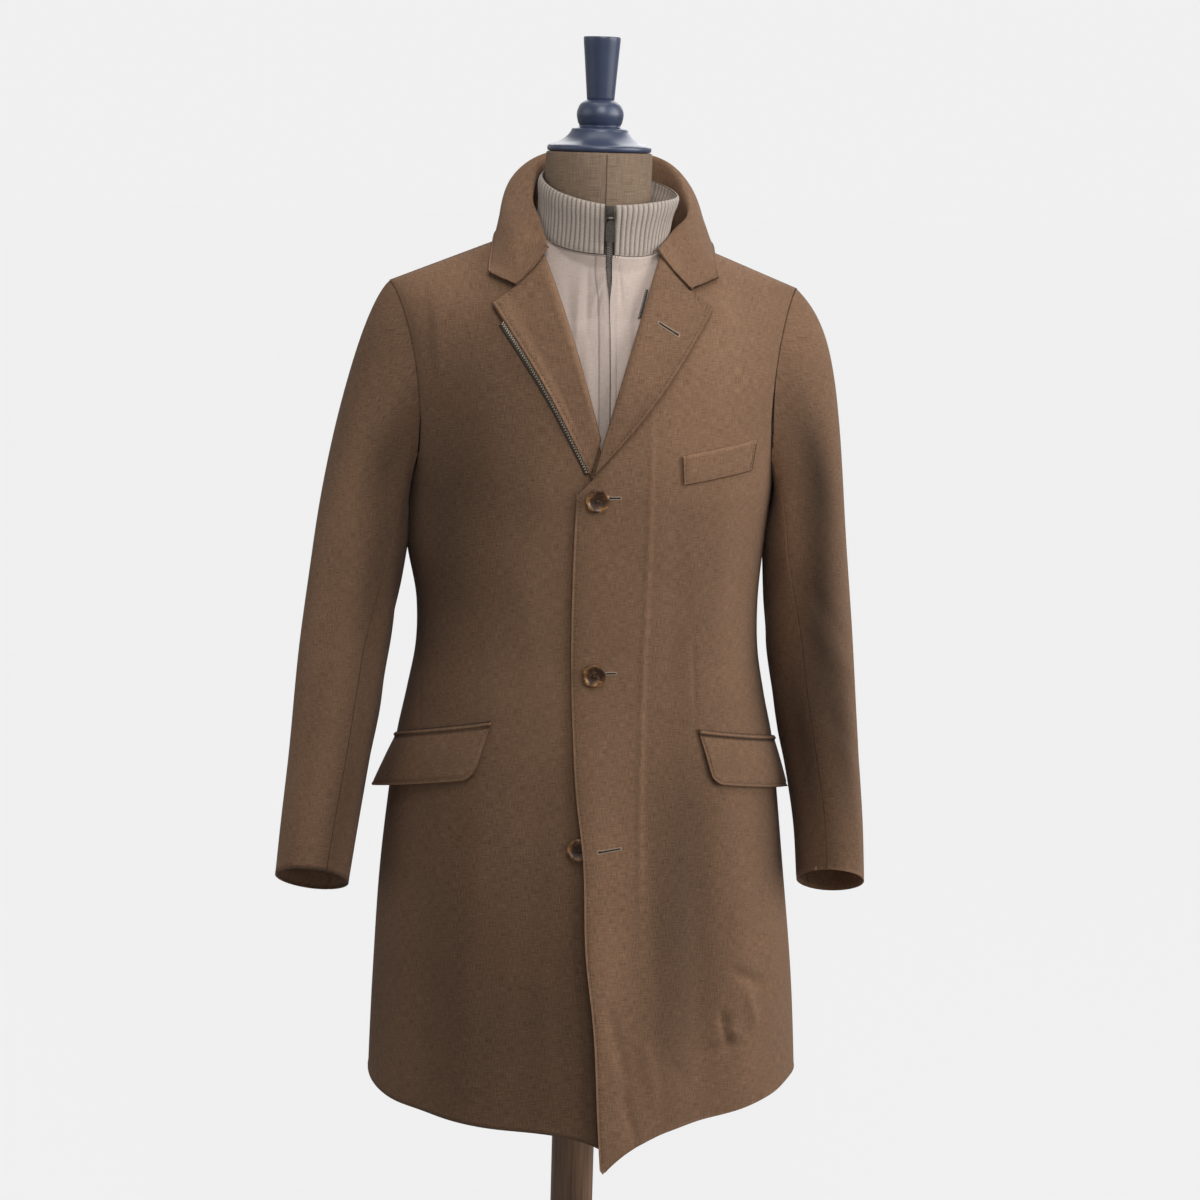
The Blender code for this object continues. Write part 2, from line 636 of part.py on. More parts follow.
def sleeve_grid(table, turn_round, side, inset):
    """Rings from the armhole over the sleeve cap and down to the cuff."""
    seam = armhole_loop(turn_round, side, -inset)
    first = table[0].height
    upper_arm = sleeve_ring(table, first, turn_round, side, inset)
    below = sleeve_ring(table, first - ARM_DIRECTION_STEP, turn_round, side, inset)
    reach = np.linalg.norm(seam - upper_arm, axis=-1, keepdims=True)
    extra = LEFT_CAP_EXTRA if side > 0 else 0.0
    fullness = CAP_FULLNESS + extra * np.clip(np.cos(turn_round), 0, 1)[:, None]
    leave = np.array([side * CAP_LEAVES.x, CAP_LEAVES.y, CAP_LEAVES.z]) * (fullness * reach + CAP_ROLL)
    arrive = (upper_arm - below) / np.linalg.norm(upper_arm - below, axis=-1, keepdims=True)
    arrive = arrive * CAP_ARRIVE_LENGTH * reach
    rings = []
    for u in np.linspace(0, 1, CAP_RINGS + 1):
        rings.append(
            (1 - u) ** 3 * seam
            + 3 * (1 - u) ** 2 * u * (seam + leave)
            + 3 * (1 - u) * u**2 * (upper_arm + arrive)
            + u**3 * upper_arm
        )
    for height in np.linspace(first, table[-1].height, ARM_RINGS + 1)[1:]:
        rings.append(sleeve_ring(table, height, turn_round, side, inset))
    return np.stack(rings)


def build_sleeve(label, table, side):
    """The top sleeve and the under sleeve, which meet at the front and back seams."""
    pieces = (
        ("top_sleeve", -SEAM_STEP, SEAM_STEP),
        ("under_sleeve", SEAM_STEP, 2 * ARMHOLE_STEPS - SEAM_STEP),
    )
    for name, start, end in pieces:
        turn_round = np.arange(start, end + 1) * math.pi / ARMHOLE_STEPS
        turn_round[0] += SLEEVE_SEAM_APART
        turn_round[-1] -= SLEEVE_SEAM_APART
        outer = sleeve_grid(table, turn_round, side, 0.0)
        inner = sleeve_grid(table, turn_round, side, WALL)
        wall_between(f"{name}_{label}", outer, inner, CLOTH)


LAPEL_ROWS = 12
LAPEL_SHARES = (0.0, 0.04, ROLL_SHARE, 0.36, NOTCH_SHARE, 0.8, 1.0)


def lapel_place(lapel, side, share, along):
    """x and z of a lapel point: share goes from roll line to outer edge, along from break to gorge."""
    lowest = BREAK_LIFT + LAPEL_BREAK_CLEAR
    lift = lowest + (GORGE_LIFT - lowest) * along
    line_x = roll_x(lift, side)
    if side < 0:
        line_x = np.minimum(line_x, roll_x(lift, 1) - LAPELS_APART)
    line_z = CHEST_HEIGHT + lift * (ridge_height(line_x) - CHEST_HEIGHT)
    belly = lapel.belly * np.sin(math.pi * along)
    edge_x = lapel.break_x + (lapel.tip_x - lapel.break_x) * along + side * belly
    edge_z = lapel.break_z + (lapel.tip_z - lapel.break_z) * along - belly
    reach = np.where(share < NOTCH_SHARE, NOTCH_SHARE, 1 - NOTCH_SHARE)
    bend = smooth_step(NOTCH_FROM, 1.0, along) * (1 - np.abs(share - NOTCH_SHARE) / reach)
    notch_x = lapel.notch_x - (line_x + (edge_x - line_x) * NOTCH_SHARE)
    notch_z = lapel.notch_z - (line_z + (edge_z - line_z) * NOTCH_SHARE)
    x = line_x + (edge_x - line_x) * share + bend * notch_x
    z = line_z + (edge_z - line_z) * share + bend * notch_z
    return x, z


def on_front(x, z, side, out):
    """A point laid on a front's outer face, out from it."""
    base = overlap_out(x, z) if side > 0 else 0.0
    lift = lift_of(x, z)
    return body_point(turn_of(x, lift, base + out), lift, base + out)


def lapel_rise(share, along):
    """How far the lapel's under side stands off the front: a soft roll along the fold, flat at the edge."""
    rolled = smooth_step(ROLL_FROM, ROLL_FULL, along)
    nose = np.clip(share / ROLL_SHARE, 0, 1)
    falling = np.clip((share - ROLL_SHARE) / (1 - ROLL_SHARE), 0, 1)
    puff = np.where(share < ROLL_SHARE, np.sqrt(nose * (2 - nose)), (1 - falling) ** ROLL_FLATTENS)
    return LAPEL_LAID_ON + ROLL_PUFF * puff * rolled


def build_lapel(name, lapel, side):
    share, along = np.meshgrid(LAPEL_SHARES, np.linspace(0, 1, LAPEL_ROWS + 1))
    x, z = lapel_place(lapel, side, share, along)
    rise = lapel_rise(share, along)
    inner = on_front(x, z, side, rise)
    outer = on_front(x, z, side, rise + LAPEL_WALL)
    wall_between(name, outer, inner, CLOTH)


def collar_seam(at):
    """The line on which the collar stands, along the fronts' necklines and round the back."""
    side = -1.0 if at < (len(COLLAR) - 1) / 2 else 1.0
    inward = min(at, len(COLLAR) - 1 - at)
    if inward <= 2:
        lift = COLLAR_FROM_LIFT + (1 - COLLAR_FROM_LIFT) * inward / 2
        x = front_edge_x(lift, CHEST_HEIGHT, side) + side * COLLAR_SEAM_LAP
        return body_point(turn_of(x, lift), lift, COLLAR_SEAM_OUT)
    neck_turn = math.pi - turn_of(NECK_POINT + COLLAR_SEAM_LAP, 1.0)
    share = (inward - 2) / 2
    lift = back_neck_lift(1 - share) - COLLAR_BACK_LAP * share
    return body_point(side * (neck_turn + (math.pi - neck_turn) * share), lift, COLLAR_SEAM_OUT)


def build_collar():
    """The folded collar, in smooth sections from the neck seam over the fold to the outer edge."""
    at = np.linspace(0, len(COLLAR) - 1, COLLAR_LENGTHS + 1)
    lines = [spline([getattr(station, part) for station in COLLAR], at) for part in Station._fields]
    steps = np.array(COLLAR_STEPS)
    sections = []
    for place, fold, middle, edge in zip(at, *lines):
        seam = collar_seam(place)
        corners = np.array([seam, (seam + fold) / 2, fold, middle, edge])
        curved = spline(corners, steps)
        straight = np.stack([np.interp(steps, np.arange(5), corners[:, i]) for i in range(3)], axis=-1)
        from_end = min(place, len(COLLAR) - 1 - place)
        stiff = 1 - smooth_step(0, COLLAR_STRAIGHT_ENDS, from_end)
        stiff = stiff * smooth_step(COLLAR_STIFF_FROM, COLLAR_STIFF_FULL, steps)
        sections.append(curved + (straight - curved) * stiff[:, None])
    outer, inner = both_sides(np.stack(sections), COLLAR_WALL)
    wall_between("collar", outer, inner, CLOTH)


FLAP_COLUMNS = 9
FLAP_ROWS = 4


def pocket_point(pocket, share, drop, out):
    """A point on a hip pocket: share goes from its front end to its back end, drop down from its mouth."""
    side = math.copysign(1, pocket.front_turn)
    turn = np.radians(pocket.front_turn + (pocket.back_turn - pocket.front_turn) * share)
    z = pocket.front_height + (pocket.back_height - pocket.front_height) * share - drop
    lift = (z - CHEST_HEIGHT) / (CHEST_HEIGHT - hem_height(turn))
    plain = body_point(turn, lift)
    base = overlap_out(plain[..., 0], plain[..., 2]) if side > 0 else 0.0
    return body_point(turn, lift, base + out)


def build_pocket(label, pocket):
    """A flap hanging from the pocket's mouth, and the narrow jetting strip above it."""
    share, down = np.meshgrid(np.linspace(0, 1, FLAP_COLUMNS + 1), np.linspace(0, 1, FLAP_ROWS + 1))
    slant = FLAP_FRONT_SLANT / math.radians(abs(pocket.back_turn - pocket.front_turn))
    turned = share + slant * down * (1 - share)
    stand = POCKET_LAID_ON + FLAP_LIFT * down + pocket.flare * (down * share**3)
    inner = pocket_point(pocket, turned, pocket.depth * down, stand)
    outer = pocket_point(pocket, turned, pocket.depth * down, stand + POCKET_CLOTH)
    wall_between(f"flap_{label}", outer, inner, CLOTH)
    share, up = np.meshgrid(np.linspace(0, 1, FLAP_COLUMNS + 1), np.array((SEAM, JET_HEIGHT)))
    inner = pocket_point(pocket, share, -up, POCKET_LAID_ON)
    outer = pocket_point(pocket, share, -up, POCKET_LAID_ON + POCKET_CLOTH)
    wall_between(f"jet_{label}", outer, inner, CLOTH)


WELT_COLUMNS = 7
WELT_ROWS = 2


def build_chest_welt():
    """The slanted welt of the chest pocket, between its bottom and top lines."""
    share, up = np.meshgrid(np.linspace(0, 1, WELT_COLUMNS + 1), np.linspace(0, 1, WELT_ROWS + 1))
    low, high = (
        np.array(ends[0]) + (np.array(ends[1]) - np.array(ends[0])) * share[..., None]
        for ends in (WELT_BOTTOM, WELT_TOP)
    )
    place = low + (high - low) * up[..., None]
    x, z = place[..., 0], place[..., 1]
    inner = on_front(x, z, 1, POCKET_LAID_ON)
    outer = on_front(x, z, 1, POCKET_LAID_ON + POCKET_CLOTH)
    wall_between("chest_welt", outer, inner, CLOTH)


def turned_solid(name, profile, sides, finish, centre=(0.0, 0.0, 0.0)):
    """A solid of revolution about Z, from (radius, height) points that run from its top to its bottom."""
    shape = bmesh.new()
    top = profile[0].height
    bottom = profile[-1].height
    outline = [Turned(0.0, top), *profile, Turned(0.0, bottom)]
    points = [shape.verts.new((p.radius, 0.0, p.height)) for p in outline]
    edges = [shape.edges.new(pair) for pair in zip(points, points[1:])]
    bmesh.ops.spin(
        shape,
        geom=points + edges,
        cent=(0, 0, 0),
        axis=(0, 0, 1),
        angle=2 * math.pi,
        steps=sides,
        use_merge=True,
    )
    bmesh.ops.remove_doubles(shape, verts=shape.verts, dist=1e-6)
    bmesh.ops.translate(shape, verts=shape.verts, vec=centre)
    return add_object(name, shape, finish, math.radians(35))


BUTTON_SIDES = 20


def build_buttons():
    """Dished four-hole button blanks, each set square to the cloth that it lies on."""
    rim_inner = BUTTON_RADIUS - BUTTON_RIM
    profile = [
        Turned(rim_inner - BUTTON_DISH, BUTTON_THICKNESS - BUTTON_DISH),
        Turned(rim_inner, BUTTON_THICKNESS - BUTTON_ROUND / 4),
        Turned(BUTTON_RADIUS - BUTTON_ROUND, BUTTON_THICKNESS),
        Turned(BUTTON_RADIUS, BUTTON_THICKNESS - BUTTON_ROUND),
        Turned(BUTTON_RADIUS, BUTTON_ROUND),
        Turned(BUTTON_RADIUS * BUTTON_FOOT_SHARE, 0.0),
    ]
    step = BUTTON_THICKNESS
    for number, button in enumerate(BUTTONS, 1):
        made = turned_solid(f"button_{number}", profile, BUTTON_SIDES, HORN)
        side = 1 if button.on_left_front else -1
        seat = Vector(on_front(button.x, button.z, side, button.shank))
        right = Vector(on_front(button.x + step, button.z, side, button.shank)) - seat
        up = Vector(on_front(button.x, button.z + step, side, button.shank)) - seat
        outward = right.cross(up).normalized()
        across = right.normalized()
        turn = Matrix((across, outward.cross(across), outward)).transposed()
        made.matrix_world = Matrix.Translation(seat) @ turn.to_4x4()


def rib_level(table, turn):
    return column(table, "height", np.degrees((turn + math.pi) % (2 * math.pi) - math.pi), "turn")


def rib_base(turn):
    return rib_level(RIB_BASE, turn)


def rib_point(turn, share, out):
    """A point of the knitted collar's plain face: share goes up its height, turn from centre front."""
    left = column(RIB_BANDS, "half_left", share, "share")
    right = column(RIB_BANDS, "half_right", share, "share")
    x = ZIP_X + (np.where(np.sin(turn) > 0, left, right) + out) * np.sin(turn)
    y = column(RIB_BANDS, "centre_y", share, "share")
    y = y - (column(RIB_BANDS, "half_y", share, "share") + out) * np.cos(turn)
    base = rib_base(turn)
    z = base + (rib_level(RIB_RIM, turn) - base) * share
    return np.stack([x, y, z + np.zeros(x.shape)], axis=-1)


RIB_ROWS = 3


def build_rib_collar():
    """A stand collar of rib knit, open at the zip; the ribs rise in its outer face over a plain inside."""
    opening = RIB_OPENING / RIB_BANDS[-1].half_right
    columns = 2 * RIB_COUNT
    turns = np.linspace(opening, 2 * math.pi - opening, columns + 1)
    raised = RIB_HEIGHT * (np.arange(columns + 1) % 2)
    turn, share = np.meshgrid(turns, np.linspace(0, 1, RIB_ROWS + 1))
    outer = rib_point(turn, share, np.broadcast_to(raised, turn.shape))
    inner = rib_point(turn, share, np.full(turn.shape, -RIB_WALL))
    wall_between("rib_collar", outer, inner, KNIT)


def bib_point(x, z, out=0.0):
    """A point on the bib: it hangs from the knitted collar's base and lies behind the fronts lower down."""
    lift = lift_of(x, z)
    low = body_point(turn_of(x, lift, -BIB_INSET), lift, -BIB_INSET, folded=False)[..., 1]
    band = RIB_BANDS[0]
    round_x = (x - ZIP_X) / np.where(x > ZIP_X, band.half_left, band.half_right)
    high = band.centre_y - band.half_y * np.sqrt(np.clip(1 - round_x**2, BIB_CLEAR, 1))
    hung = smooth_step(BIB_TOP - BIB_HANG, BIB_TOP, z)
    inset = form_inset(lift)
    form = body_point(turn_of(x, lift, -inset), lift, -inset, folded=False)[..., 1]
    y = np.minimum(low + (high - low) * hung, form - BIB_CLEAR) - out
    return np.stack(np.broadcast_arrays(x, y, z), axis=-1)


BIB_COLUMNS = 7
BIB_ROWS = 12


def build_bib(name, side):
    """One bib panel, from the zip to behind the lapel."""
    z = np.linspace(BIB_BOTTOM, BIB_TOP, BIB_ROWS + 1)
    opened = np.clip((z - BIB_OPEN_FROM) / (BIB_TOP - BIB_OPEN_FROM), 0, 1)
    start = ZIP_X + side * (BIB_CLOSED_GAP + (BIB_OPEN_GAP - BIB_CLOSED_GAP) * opened)
    lift = np.clip(lift_of(BIB_PROBE_X, z), BREAK_LIFT, GORGE_LIFT)
    reach = BIB_UNDER_LAPEL * (1 - smooth_step(BIB_TOP - BIB_TOP_EASE, BIB_TOP, z))
    end = side * (np.maximum(np.abs(roll_x(lift, side)), BIB_LEAST_HALF) + reach)
    share = np.linspace(0, 1, BIB_COLUMNS + 1)
    x = start[:, None] + (end - start)[:, None] * share
    z = np.repeat(z[:, None], BIB_COLUMNS + 1, axis=1)
    half = np.where(x > ZIP_X, RIB_BANDS[0].half_left, RIB_BANDS[0].half_right)
    top = rib_base(np.arcsin(np.clip((x - ZIP_X) / half, -1, 1))) - BIB_TOP_GAP
    z = z + (top - BIB_TOP) * smooth_step(BIB_TOP - BIB_TOP_EASE, BIB_TOP, z)
    wall_between(name, bib_point(x, z), bib_point(x, z, -WALL), BIB_CLOTH)


ZIP_ROWS_LOW = 13
ZIP_ROWS_HIGH = 3
LAPEL_ZIP_ROWS = 14
SIDE_ZIP_ROWS = 3


def build_zips():
    """The centre zip behind the bib's edges, the right lapel's zip, and the end of the bib's side zip."""
    slider_foot = SLIDER_TOP - SLIDER_LENGTH - 2 * SEAM
    low_rows = np.linspace(ZIP_BOTTOM, BIB_TOP - ZIP_BELOW_COLLAR, ZIP_ROWS_LOW + 1)
    high_rows = np.linspace(BIB_TOP + ZIP_IN_COLLAR, slider_foot, ZIP_ROWS_HIGH + 1)
    z = np.concatenate([low_rows, high_rows])
    half = BIB_ZIP_WIDTH / 2
    x, z = np.meshgrid((ZIP_X - half, ZIP_X + half), z)
    behind = WALL + 3 * LAID_ON
    low = bib_point(x, np.minimum(z, BIB_TOP), -behind)[..., 1]
    share = np.clip((z - rib_base(0.0)) / (SLIDER_TOP - rib_base(0.0)), 0, 1)
    collar = rib_point(np.zeros(z.shape), share, 0.0)[..., 1] + RIB_WALL / 2
    y = np.where(z > BIB_TOP, collar, low)
    outer = np.stack([x, y, z], axis=-1)
    inner = outer + np.array([0.0, ZIP_CHAIN_THICKNESS, 0.0])
    wall_between("bib_zip", outer, inner, DARK_ZIP)

    along = np.linspace(LAPEL_ZIP_FROM, LAPEL_ZIP_TO, LAPEL_ZIP_ROWS + 1)
    edge_x, edge_z = lapel_place(RIGHT_LAPEL, -1, np.ones(along.shape), along)
    step = np.stack([np.gradient(edge_x), np.gradient(edge_z)], axis=-1)
    step /= np.linalg.norm(step, axis=-1, keepdims=True)
    away = np.stack([-step[:, 1], step[:, 0]], axis=-1)
    away *= np.sign(-away[:, :1])
    beside = ZIP_BESIDE_LAPEL + np.array((0.0, ZIP_CHAIN_WIDTH))
    x = edge_x[:, None] + away[:, :1] * beside
    z = edge_z[:, None] + away[:, 1:] * beside
    inner = on_front(x, z, -1, LAID_ON)
    outer = on_front(x, z, -1, LAID_ON + ZIP_CHAIN_THICKNESS)
    wall_between("lapel_zip", outer, inner, SILVER_ZIP)

    z = np.linspace(SIDE_ZIP_BOTTOM, SIDE_ZIP_TOP, SIDE_ZIP_ROWS + 1)
    line = roll_x(lift_of(BIB_PROBE_X, z), 1) - 2 * SEAM
    x = line[:, None] + np.array((-ZIP_CHAIN_WIDTH, 0.0))
    z = np.repeat(z[:, None], 2, axis=1)
    inner = bib_point(x, z, SIDE_ZIP_OUT)
    outer = bib_point(x, z, SIDE_ZIP_OUT + ZIP_CHAIN_THICKNESS)
    wall_between("bib_side_zip", outer, inner, DARK_ZIP)


def box(size, centre):
    shape = bmesh.new()
    bmesh.ops.create_cube(shape, size=1.0)
    bmesh.ops.scale(shape, verts=shape.verts, vec=size)
    bmesh.ops.translate(shape, verts=shape.verts, vec=centre)
    return shape


def rod(radius, length, centre, sides=16):
    """A round rod along X."""
    shape = bmesh.new()
    bmesh.ops.create_cone(shape, cap_ends=True, segments=sides, radius1=radius, radius2=radius, depth=length)
    bmesh.ops.rotate(shape, verts=shape.verts, cent=(0, 0, 0), matrix=Matrix.Rotation(math.pi / 2, 3, "Y"))
    bmesh.ops.translate(shape, verts=shape.verts, vec=centre)
    return shape


def round_edges(shape, edges, offset, segments):
    bmesh.ops.bevel(
        shape, geom=edges, offset=offset, segments=segments, profile=0.5, affect="EDGES", material=-1
    )


def join_by(target, other, operation):
    """A Boolean of target with another object, which stays hidden as a cutter."""
    other.hide_render = True
    other.display_type = "WIRE"
    modifier = target.modifiers.new(f"{operation.lower()}_{other.name}", "BOOLEAN")
    modifier.operation = operation
    modifier.object = other


def build_slider():
    """The slider's body with two lugs that carry the pin, and the pull tab that swings on the pin."""
    pin = (ZIP_X, SLIDER_FRONT - PIN_FORWARD, PIN_HEIGHT)
    shell = box(
        (SLIDER_WIDTH, SLIDER_THICKNESS, SLIDER_LENGTH),
        (ZIP_X, SLIDER_FRONT + SLIDER_THICKNESS / 2, SLIDER_TOP - SLIDER_LENGTH / 2),
    )
    round_edges(shell, list(shell.edges), SLIDER_ROUND, 2)
    slider = add_object("zip_slider", shell, DARK_ZIP)
    for sign, label in ((-1, "right"), (1, "left")):
        x = ZIP_X + sign * (LUG_INNER + LUG_THICKNESS / 2)
        reach = PIN_FORWARD + LUG_RADIUS + LUG_ROOT
        lug = box((LUG_THICKNESS, reach, 2 * LUG_RADIUS), (x, SLIDER_FRONT + LUG_ROOT - reach / 2, pin[2]))
        front = min(vert.co.y for vert in lug.verts) + LUG_THICKNESS / 2
        nose = [edge for edge in lug.edges if all(vert.co.y < front for vert in edge.verts)]
        nose = [edge for edge in nose if abs(edge.verts[0].co.x - edge.verts[1].co.x) > LUG_THICKNESS / 2]
        round_edges(lug, nose, LUG_RADIUS * LUG_ROUND_SHARE, 4)
        join_by(slider, add_object(f"lug_{label}", lug, DARK_ZIP), "UNION")
    axle = add_object("slider_pin", rod(PIN_RADIUS, 2 * LUG_INNER + LUG_THICKNESS, pin, 12), DARK_ZIP)
    join_by(slider, axle, "UNION")

    edges = [(sign * row.half_width, 0.0, -row.drop) for row in PULL_BLADE for sign in (-1, 1)]
    grid = np.array(edges).reshape(len(PULL_BLADE), 2, 3)
    half = np.array([0.0, PULL_THICKNESS / 2, 0.0])
    tab = wall_between("zip_pull", grid - half, grid + half, DARK_ZIP)
    tab.location = pin
    head = add_object("pull_head", rod(PULL_EYE_RADIUS + PULL_EYE_WALL, PULL_NECK, (0, 0, 0)), DARK_ZIP)
    head.location = pin
    join_by(tab, head, "UNION")
    eye = add_object("pull_eye", rod(PULL_EYE_RADIUS, 2 * PULL_NECK, (0, 0, 0), 14), DARK_ZIP)
    eye.location = pin
    join_by(tab, eye, "DIFFERENCE")


FORM_RINGS_LOW = 7
FORM_RINGS_HIGH = 9
FORM_SIDES = 32


def form_inset(lift):
    """The form is close under the cloth on the shoulders and well clear of it below."""
    below = smooth_step(1.0, FORM_CLEAR_LIFT, lift)
    return WALL + FORM_GAP_SHOULDER + (FORM_GAP_BODY - FORM_GAP_SHOULDER) * below


def build_form():
    """The padded torso, closed over the shoulders and flat underneath, with its neck."""
    lowest = (FORM_BOTTOM - CHEST_HEIGHT) / (CHEST_HEIGHT - HEM_HEIGHT)
    high = np.sin(np.linspace(0, math.pi / 2, FORM_RINGS_HIGH + 1))
    lifts = np.concatenate([np.linspace(lowest, 0, FORM_RINGS_LOW + 1), high[1:-1], [FORM_CLOSE_LIFT]])
    turns = np.linspace(0, 2 * math.pi, FORM_SIDES, endpoint=False)
    turn, lift = np.meshgrid(turns, lifts)
    points = body_point(turn, lift, -form_inset(lift), folded=False, neck_rise=0.0)
    points[0, :, 2] = FORM_BOTTOM
    shape = bmesh.new()
    rings = [[shape.verts.new(point) for point in ring] for ring in points]
    for low, up in zip(rings, rings[1:]):
        for i in range(FORM_SIDES):
            j = (i + 1) % FORM_SIDES
            shape.faces.new((low[i], low[j], up[j], up[i]))
    shape.faces.new(rings[0][::-1])
    quarter = FORM_SIDES // 4
    top = rings[-1]
    for step in range(FORM_SIDES // 2):
        front = [(quarter - step) % FORM_SIDES, (quarter - step - 1) % FORM_SIDES]
        back = [(quarter + step) % FORM_SIDES, (quarter + step + 1) % FORM_SIDES]
        corners = [top[front[0]], top[front[1]], top[back[1]], top[back[0]]]
        shape.faces.new(list(dict.fromkeys(corners)))
    torso = add_object("form_torso", shape, LINEN)
    neck = turned_solid(
        "form_neck",
        [Turned(FORM_NECK_RADIUS, NECK_TOP), Turned(FORM_NECK_RADIUS, FORM_NECK_ROOT)],
        FORM_SIDES,
        LINEN,
    )
    join_by(torso, neck, "UNION")


def build_stand():
    """The turned cap on the neck, the pole under the torso and the round base that it stands on."""
    cap = [Turned(p.radius, p.height + NECK_TOP) for p in NECK_CAP]
    turned_solid("neck_cap", cap, CAP_SIDES, CAP_PAINT)
    foot = BASE_THICKNESS + BASE_SOCKET_HEIGHT
    turned_solid(
        "stand_pole",
        [Turned(POLE_RADIUS, FORM_BOTTOM - SEAM), Turned(POLE_RADIUS, foot + SEAM)],
        POLE_SIDES,
        WOOD,
    )
    base = [
        Turned(BASE_SOCKET_RADIUS - BASE_EDGE_ROUND, foot),
        Turned(BASE_SOCKET_RADIUS, foot - BASE_EDGE_ROUND),
        Turned(BASE_SOCKET_RADIUS, BASE_THICKNESS + BASE_ROUND),
        Turned(BASE_SOCKET_RADIUS + BASE_ROUND, BASE_THICKNESS),
        Turned(BASE_RADIUS - BASE_ROUND, BASE_THICKNESS),
        Turned(BASE_RADIUS - BASE_EDGE_ROUND, BASE_THICKNESS - BASE_EDGE_ROUND),
        Turned(BASE_RADIUS, BASE_THICKNESS - BASE_ROUND),
        Turned(BASE_RADIUS, BASE_EDGE_ROUND),
        Turned(BASE_RADIUS - BASE_EDGE_ROUND, 0.0),
    ]
    turned_solid("stand_base", base, BASE_SIDES, WOOD)


def build():
    clear_scene()
    build_form()
    build_stand()
    for label, side, table in (("left", 1, LEFT_SLEEVE), ("right", -1, RIGHT_SLEEVE)):
        build_front(f"front_{label}", side)
        build_back(f"back_{label}", side)
        build_sleeve(label, table, side)
        build_bib(f"bib_{label}", side)
    build_lapel("lapel_left", LEFT_LAPEL, 1)
    build_lapel("lapel_right", RIGHT_LAPEL, -1)
    build_collar()
    build_pocket("left", LEFT_POCKET)
    build_pocket("right", RIGHT_POCKET)
    build_chest_welt()
    build_buttons()
    build_rib_collar()
    build_zips()
    build_slider()


build()
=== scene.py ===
import json
import math
from collections import namedtuple

import bmesh
import bpy
import numpy as np
from mathutils import Matrix, Vector

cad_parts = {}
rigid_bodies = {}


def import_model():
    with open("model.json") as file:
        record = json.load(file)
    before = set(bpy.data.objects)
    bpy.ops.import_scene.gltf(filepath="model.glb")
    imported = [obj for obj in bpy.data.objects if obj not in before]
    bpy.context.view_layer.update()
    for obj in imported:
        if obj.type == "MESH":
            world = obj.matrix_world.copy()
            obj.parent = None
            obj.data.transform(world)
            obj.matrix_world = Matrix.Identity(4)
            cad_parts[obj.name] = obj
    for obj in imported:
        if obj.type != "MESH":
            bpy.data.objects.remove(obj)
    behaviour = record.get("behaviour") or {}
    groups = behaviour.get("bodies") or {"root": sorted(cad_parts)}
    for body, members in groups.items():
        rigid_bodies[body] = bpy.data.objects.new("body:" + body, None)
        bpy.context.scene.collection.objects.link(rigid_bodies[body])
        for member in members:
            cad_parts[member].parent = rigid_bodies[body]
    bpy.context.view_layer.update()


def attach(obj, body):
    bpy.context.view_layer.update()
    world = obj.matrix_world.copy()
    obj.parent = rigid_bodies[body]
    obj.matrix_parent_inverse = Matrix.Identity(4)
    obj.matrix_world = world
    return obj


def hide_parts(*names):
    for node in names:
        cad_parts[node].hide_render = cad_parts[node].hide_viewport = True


for started in list(bpy.data.objects):
    bpy.data.objects.remove(started, do_unlink=True)
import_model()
COAT_BODY = "coat_and_form"
PULL_BODY = "pull_tab"


# The form's torso and neck: a padded body shape covered in natural linen.
# The linen is cut in panels and sewn with a seam down the front of the neck.
# The coat hangs from its shoulders, so its sections are the coat's own, set inward.
Section = namedtuple("Section", "height half_width front_depth back_depth sway")
BODY = [
    Section(0.500, 0.2490, 0.168, 0.153, 0.0090),
    Section(0.680, 0.2390, 0.158, 0.143, 0.0058),
    Section(0.815, 0.2270, 0.150, 0.137, 0.0020),
    Section(0.890, 0.2185, 0.146, 0.134, 0.0015),
    Section(0.957, 0.2100, 0.142, 0.131, 0.0015),
    Section(1.010, 0.1985, 0.138, 0.127, 0.0010),
    Section(1.060, 0.1895, 0.136, 0.124, 0.0010),
    Section(1.110, 0.1880, 0.138, 0.124, 0.0000),
    Section(1.180, 0.1960, 0.142, 0.126, -0.0040),
    Section(1.245, 0.1990, 0.145, 0.128, -0.0005),
]
CHEST_HEIGHT = BODY[-1].height
CHEST_HALF_WIDTH = BODY[-1].half_width
SQUARENESS = 0.045
HEM_HEIGHT = 0.563
HEM_FRONT_DIP = 0.008
CORNER_WIDTH = math.radians(8)
CORNER_TURN = math.radians(1.8)
HEM_LEFT_RISE = 0.011
HEM_LEFT_TURN = 60
HEM_LEFT_WIDTH = 22
SHOULDER_HALF_WIDTH = 0.220
SHOULDER_HEIGHT = 1.455
SHOULDER_SLOPE = 0.395
SHOULDER_WIDENING = 1.5
RIDGE_DEPTH = 0.008
NECK_RISE = 0.030
NECK_RISE_RADIUS = 0.110
Dome = namedtuple("Dome", "curve centre_fall side_fall")
FRONT_DOME = Dome(1.8, 0.62, 0.40)
BACK_DOME = Dome(3.5, 0.50, 0.36)
FOLD_FADE = 0.10
Fold = namedtuple("Fold", "turn top bottom width depth")
FOLDS = [
    Fold(29, 1.00, 0.50, 8.0, -0.005),
    Fold(52, 0.92, 0.50, 9.0, 0.003),
    Fold(-27, 0.95, 0.50, 9.0, 0.003),
    Fold(-48, 0.90, 0.50, 8.0, -0.004),
    Fold(122, 1.02, 0.50, 8.0, -0.006),
    Fold(143, 1.05, 0.50, 8.0, 0.006),
    Fold(163, 0.98, 0.50, 8.0, -0.005),
    Fold(-118, 1.02, 0.50, 8.0, -0.005),
    Fold(-139, 1.00, 0.50, 9.0, 0.006),
    Fold(-160, 1.04, 0.50, 8.0, -0.006),
]
CLOTH_WALL = 0.0020
FORM_BOTTOM = 0.870
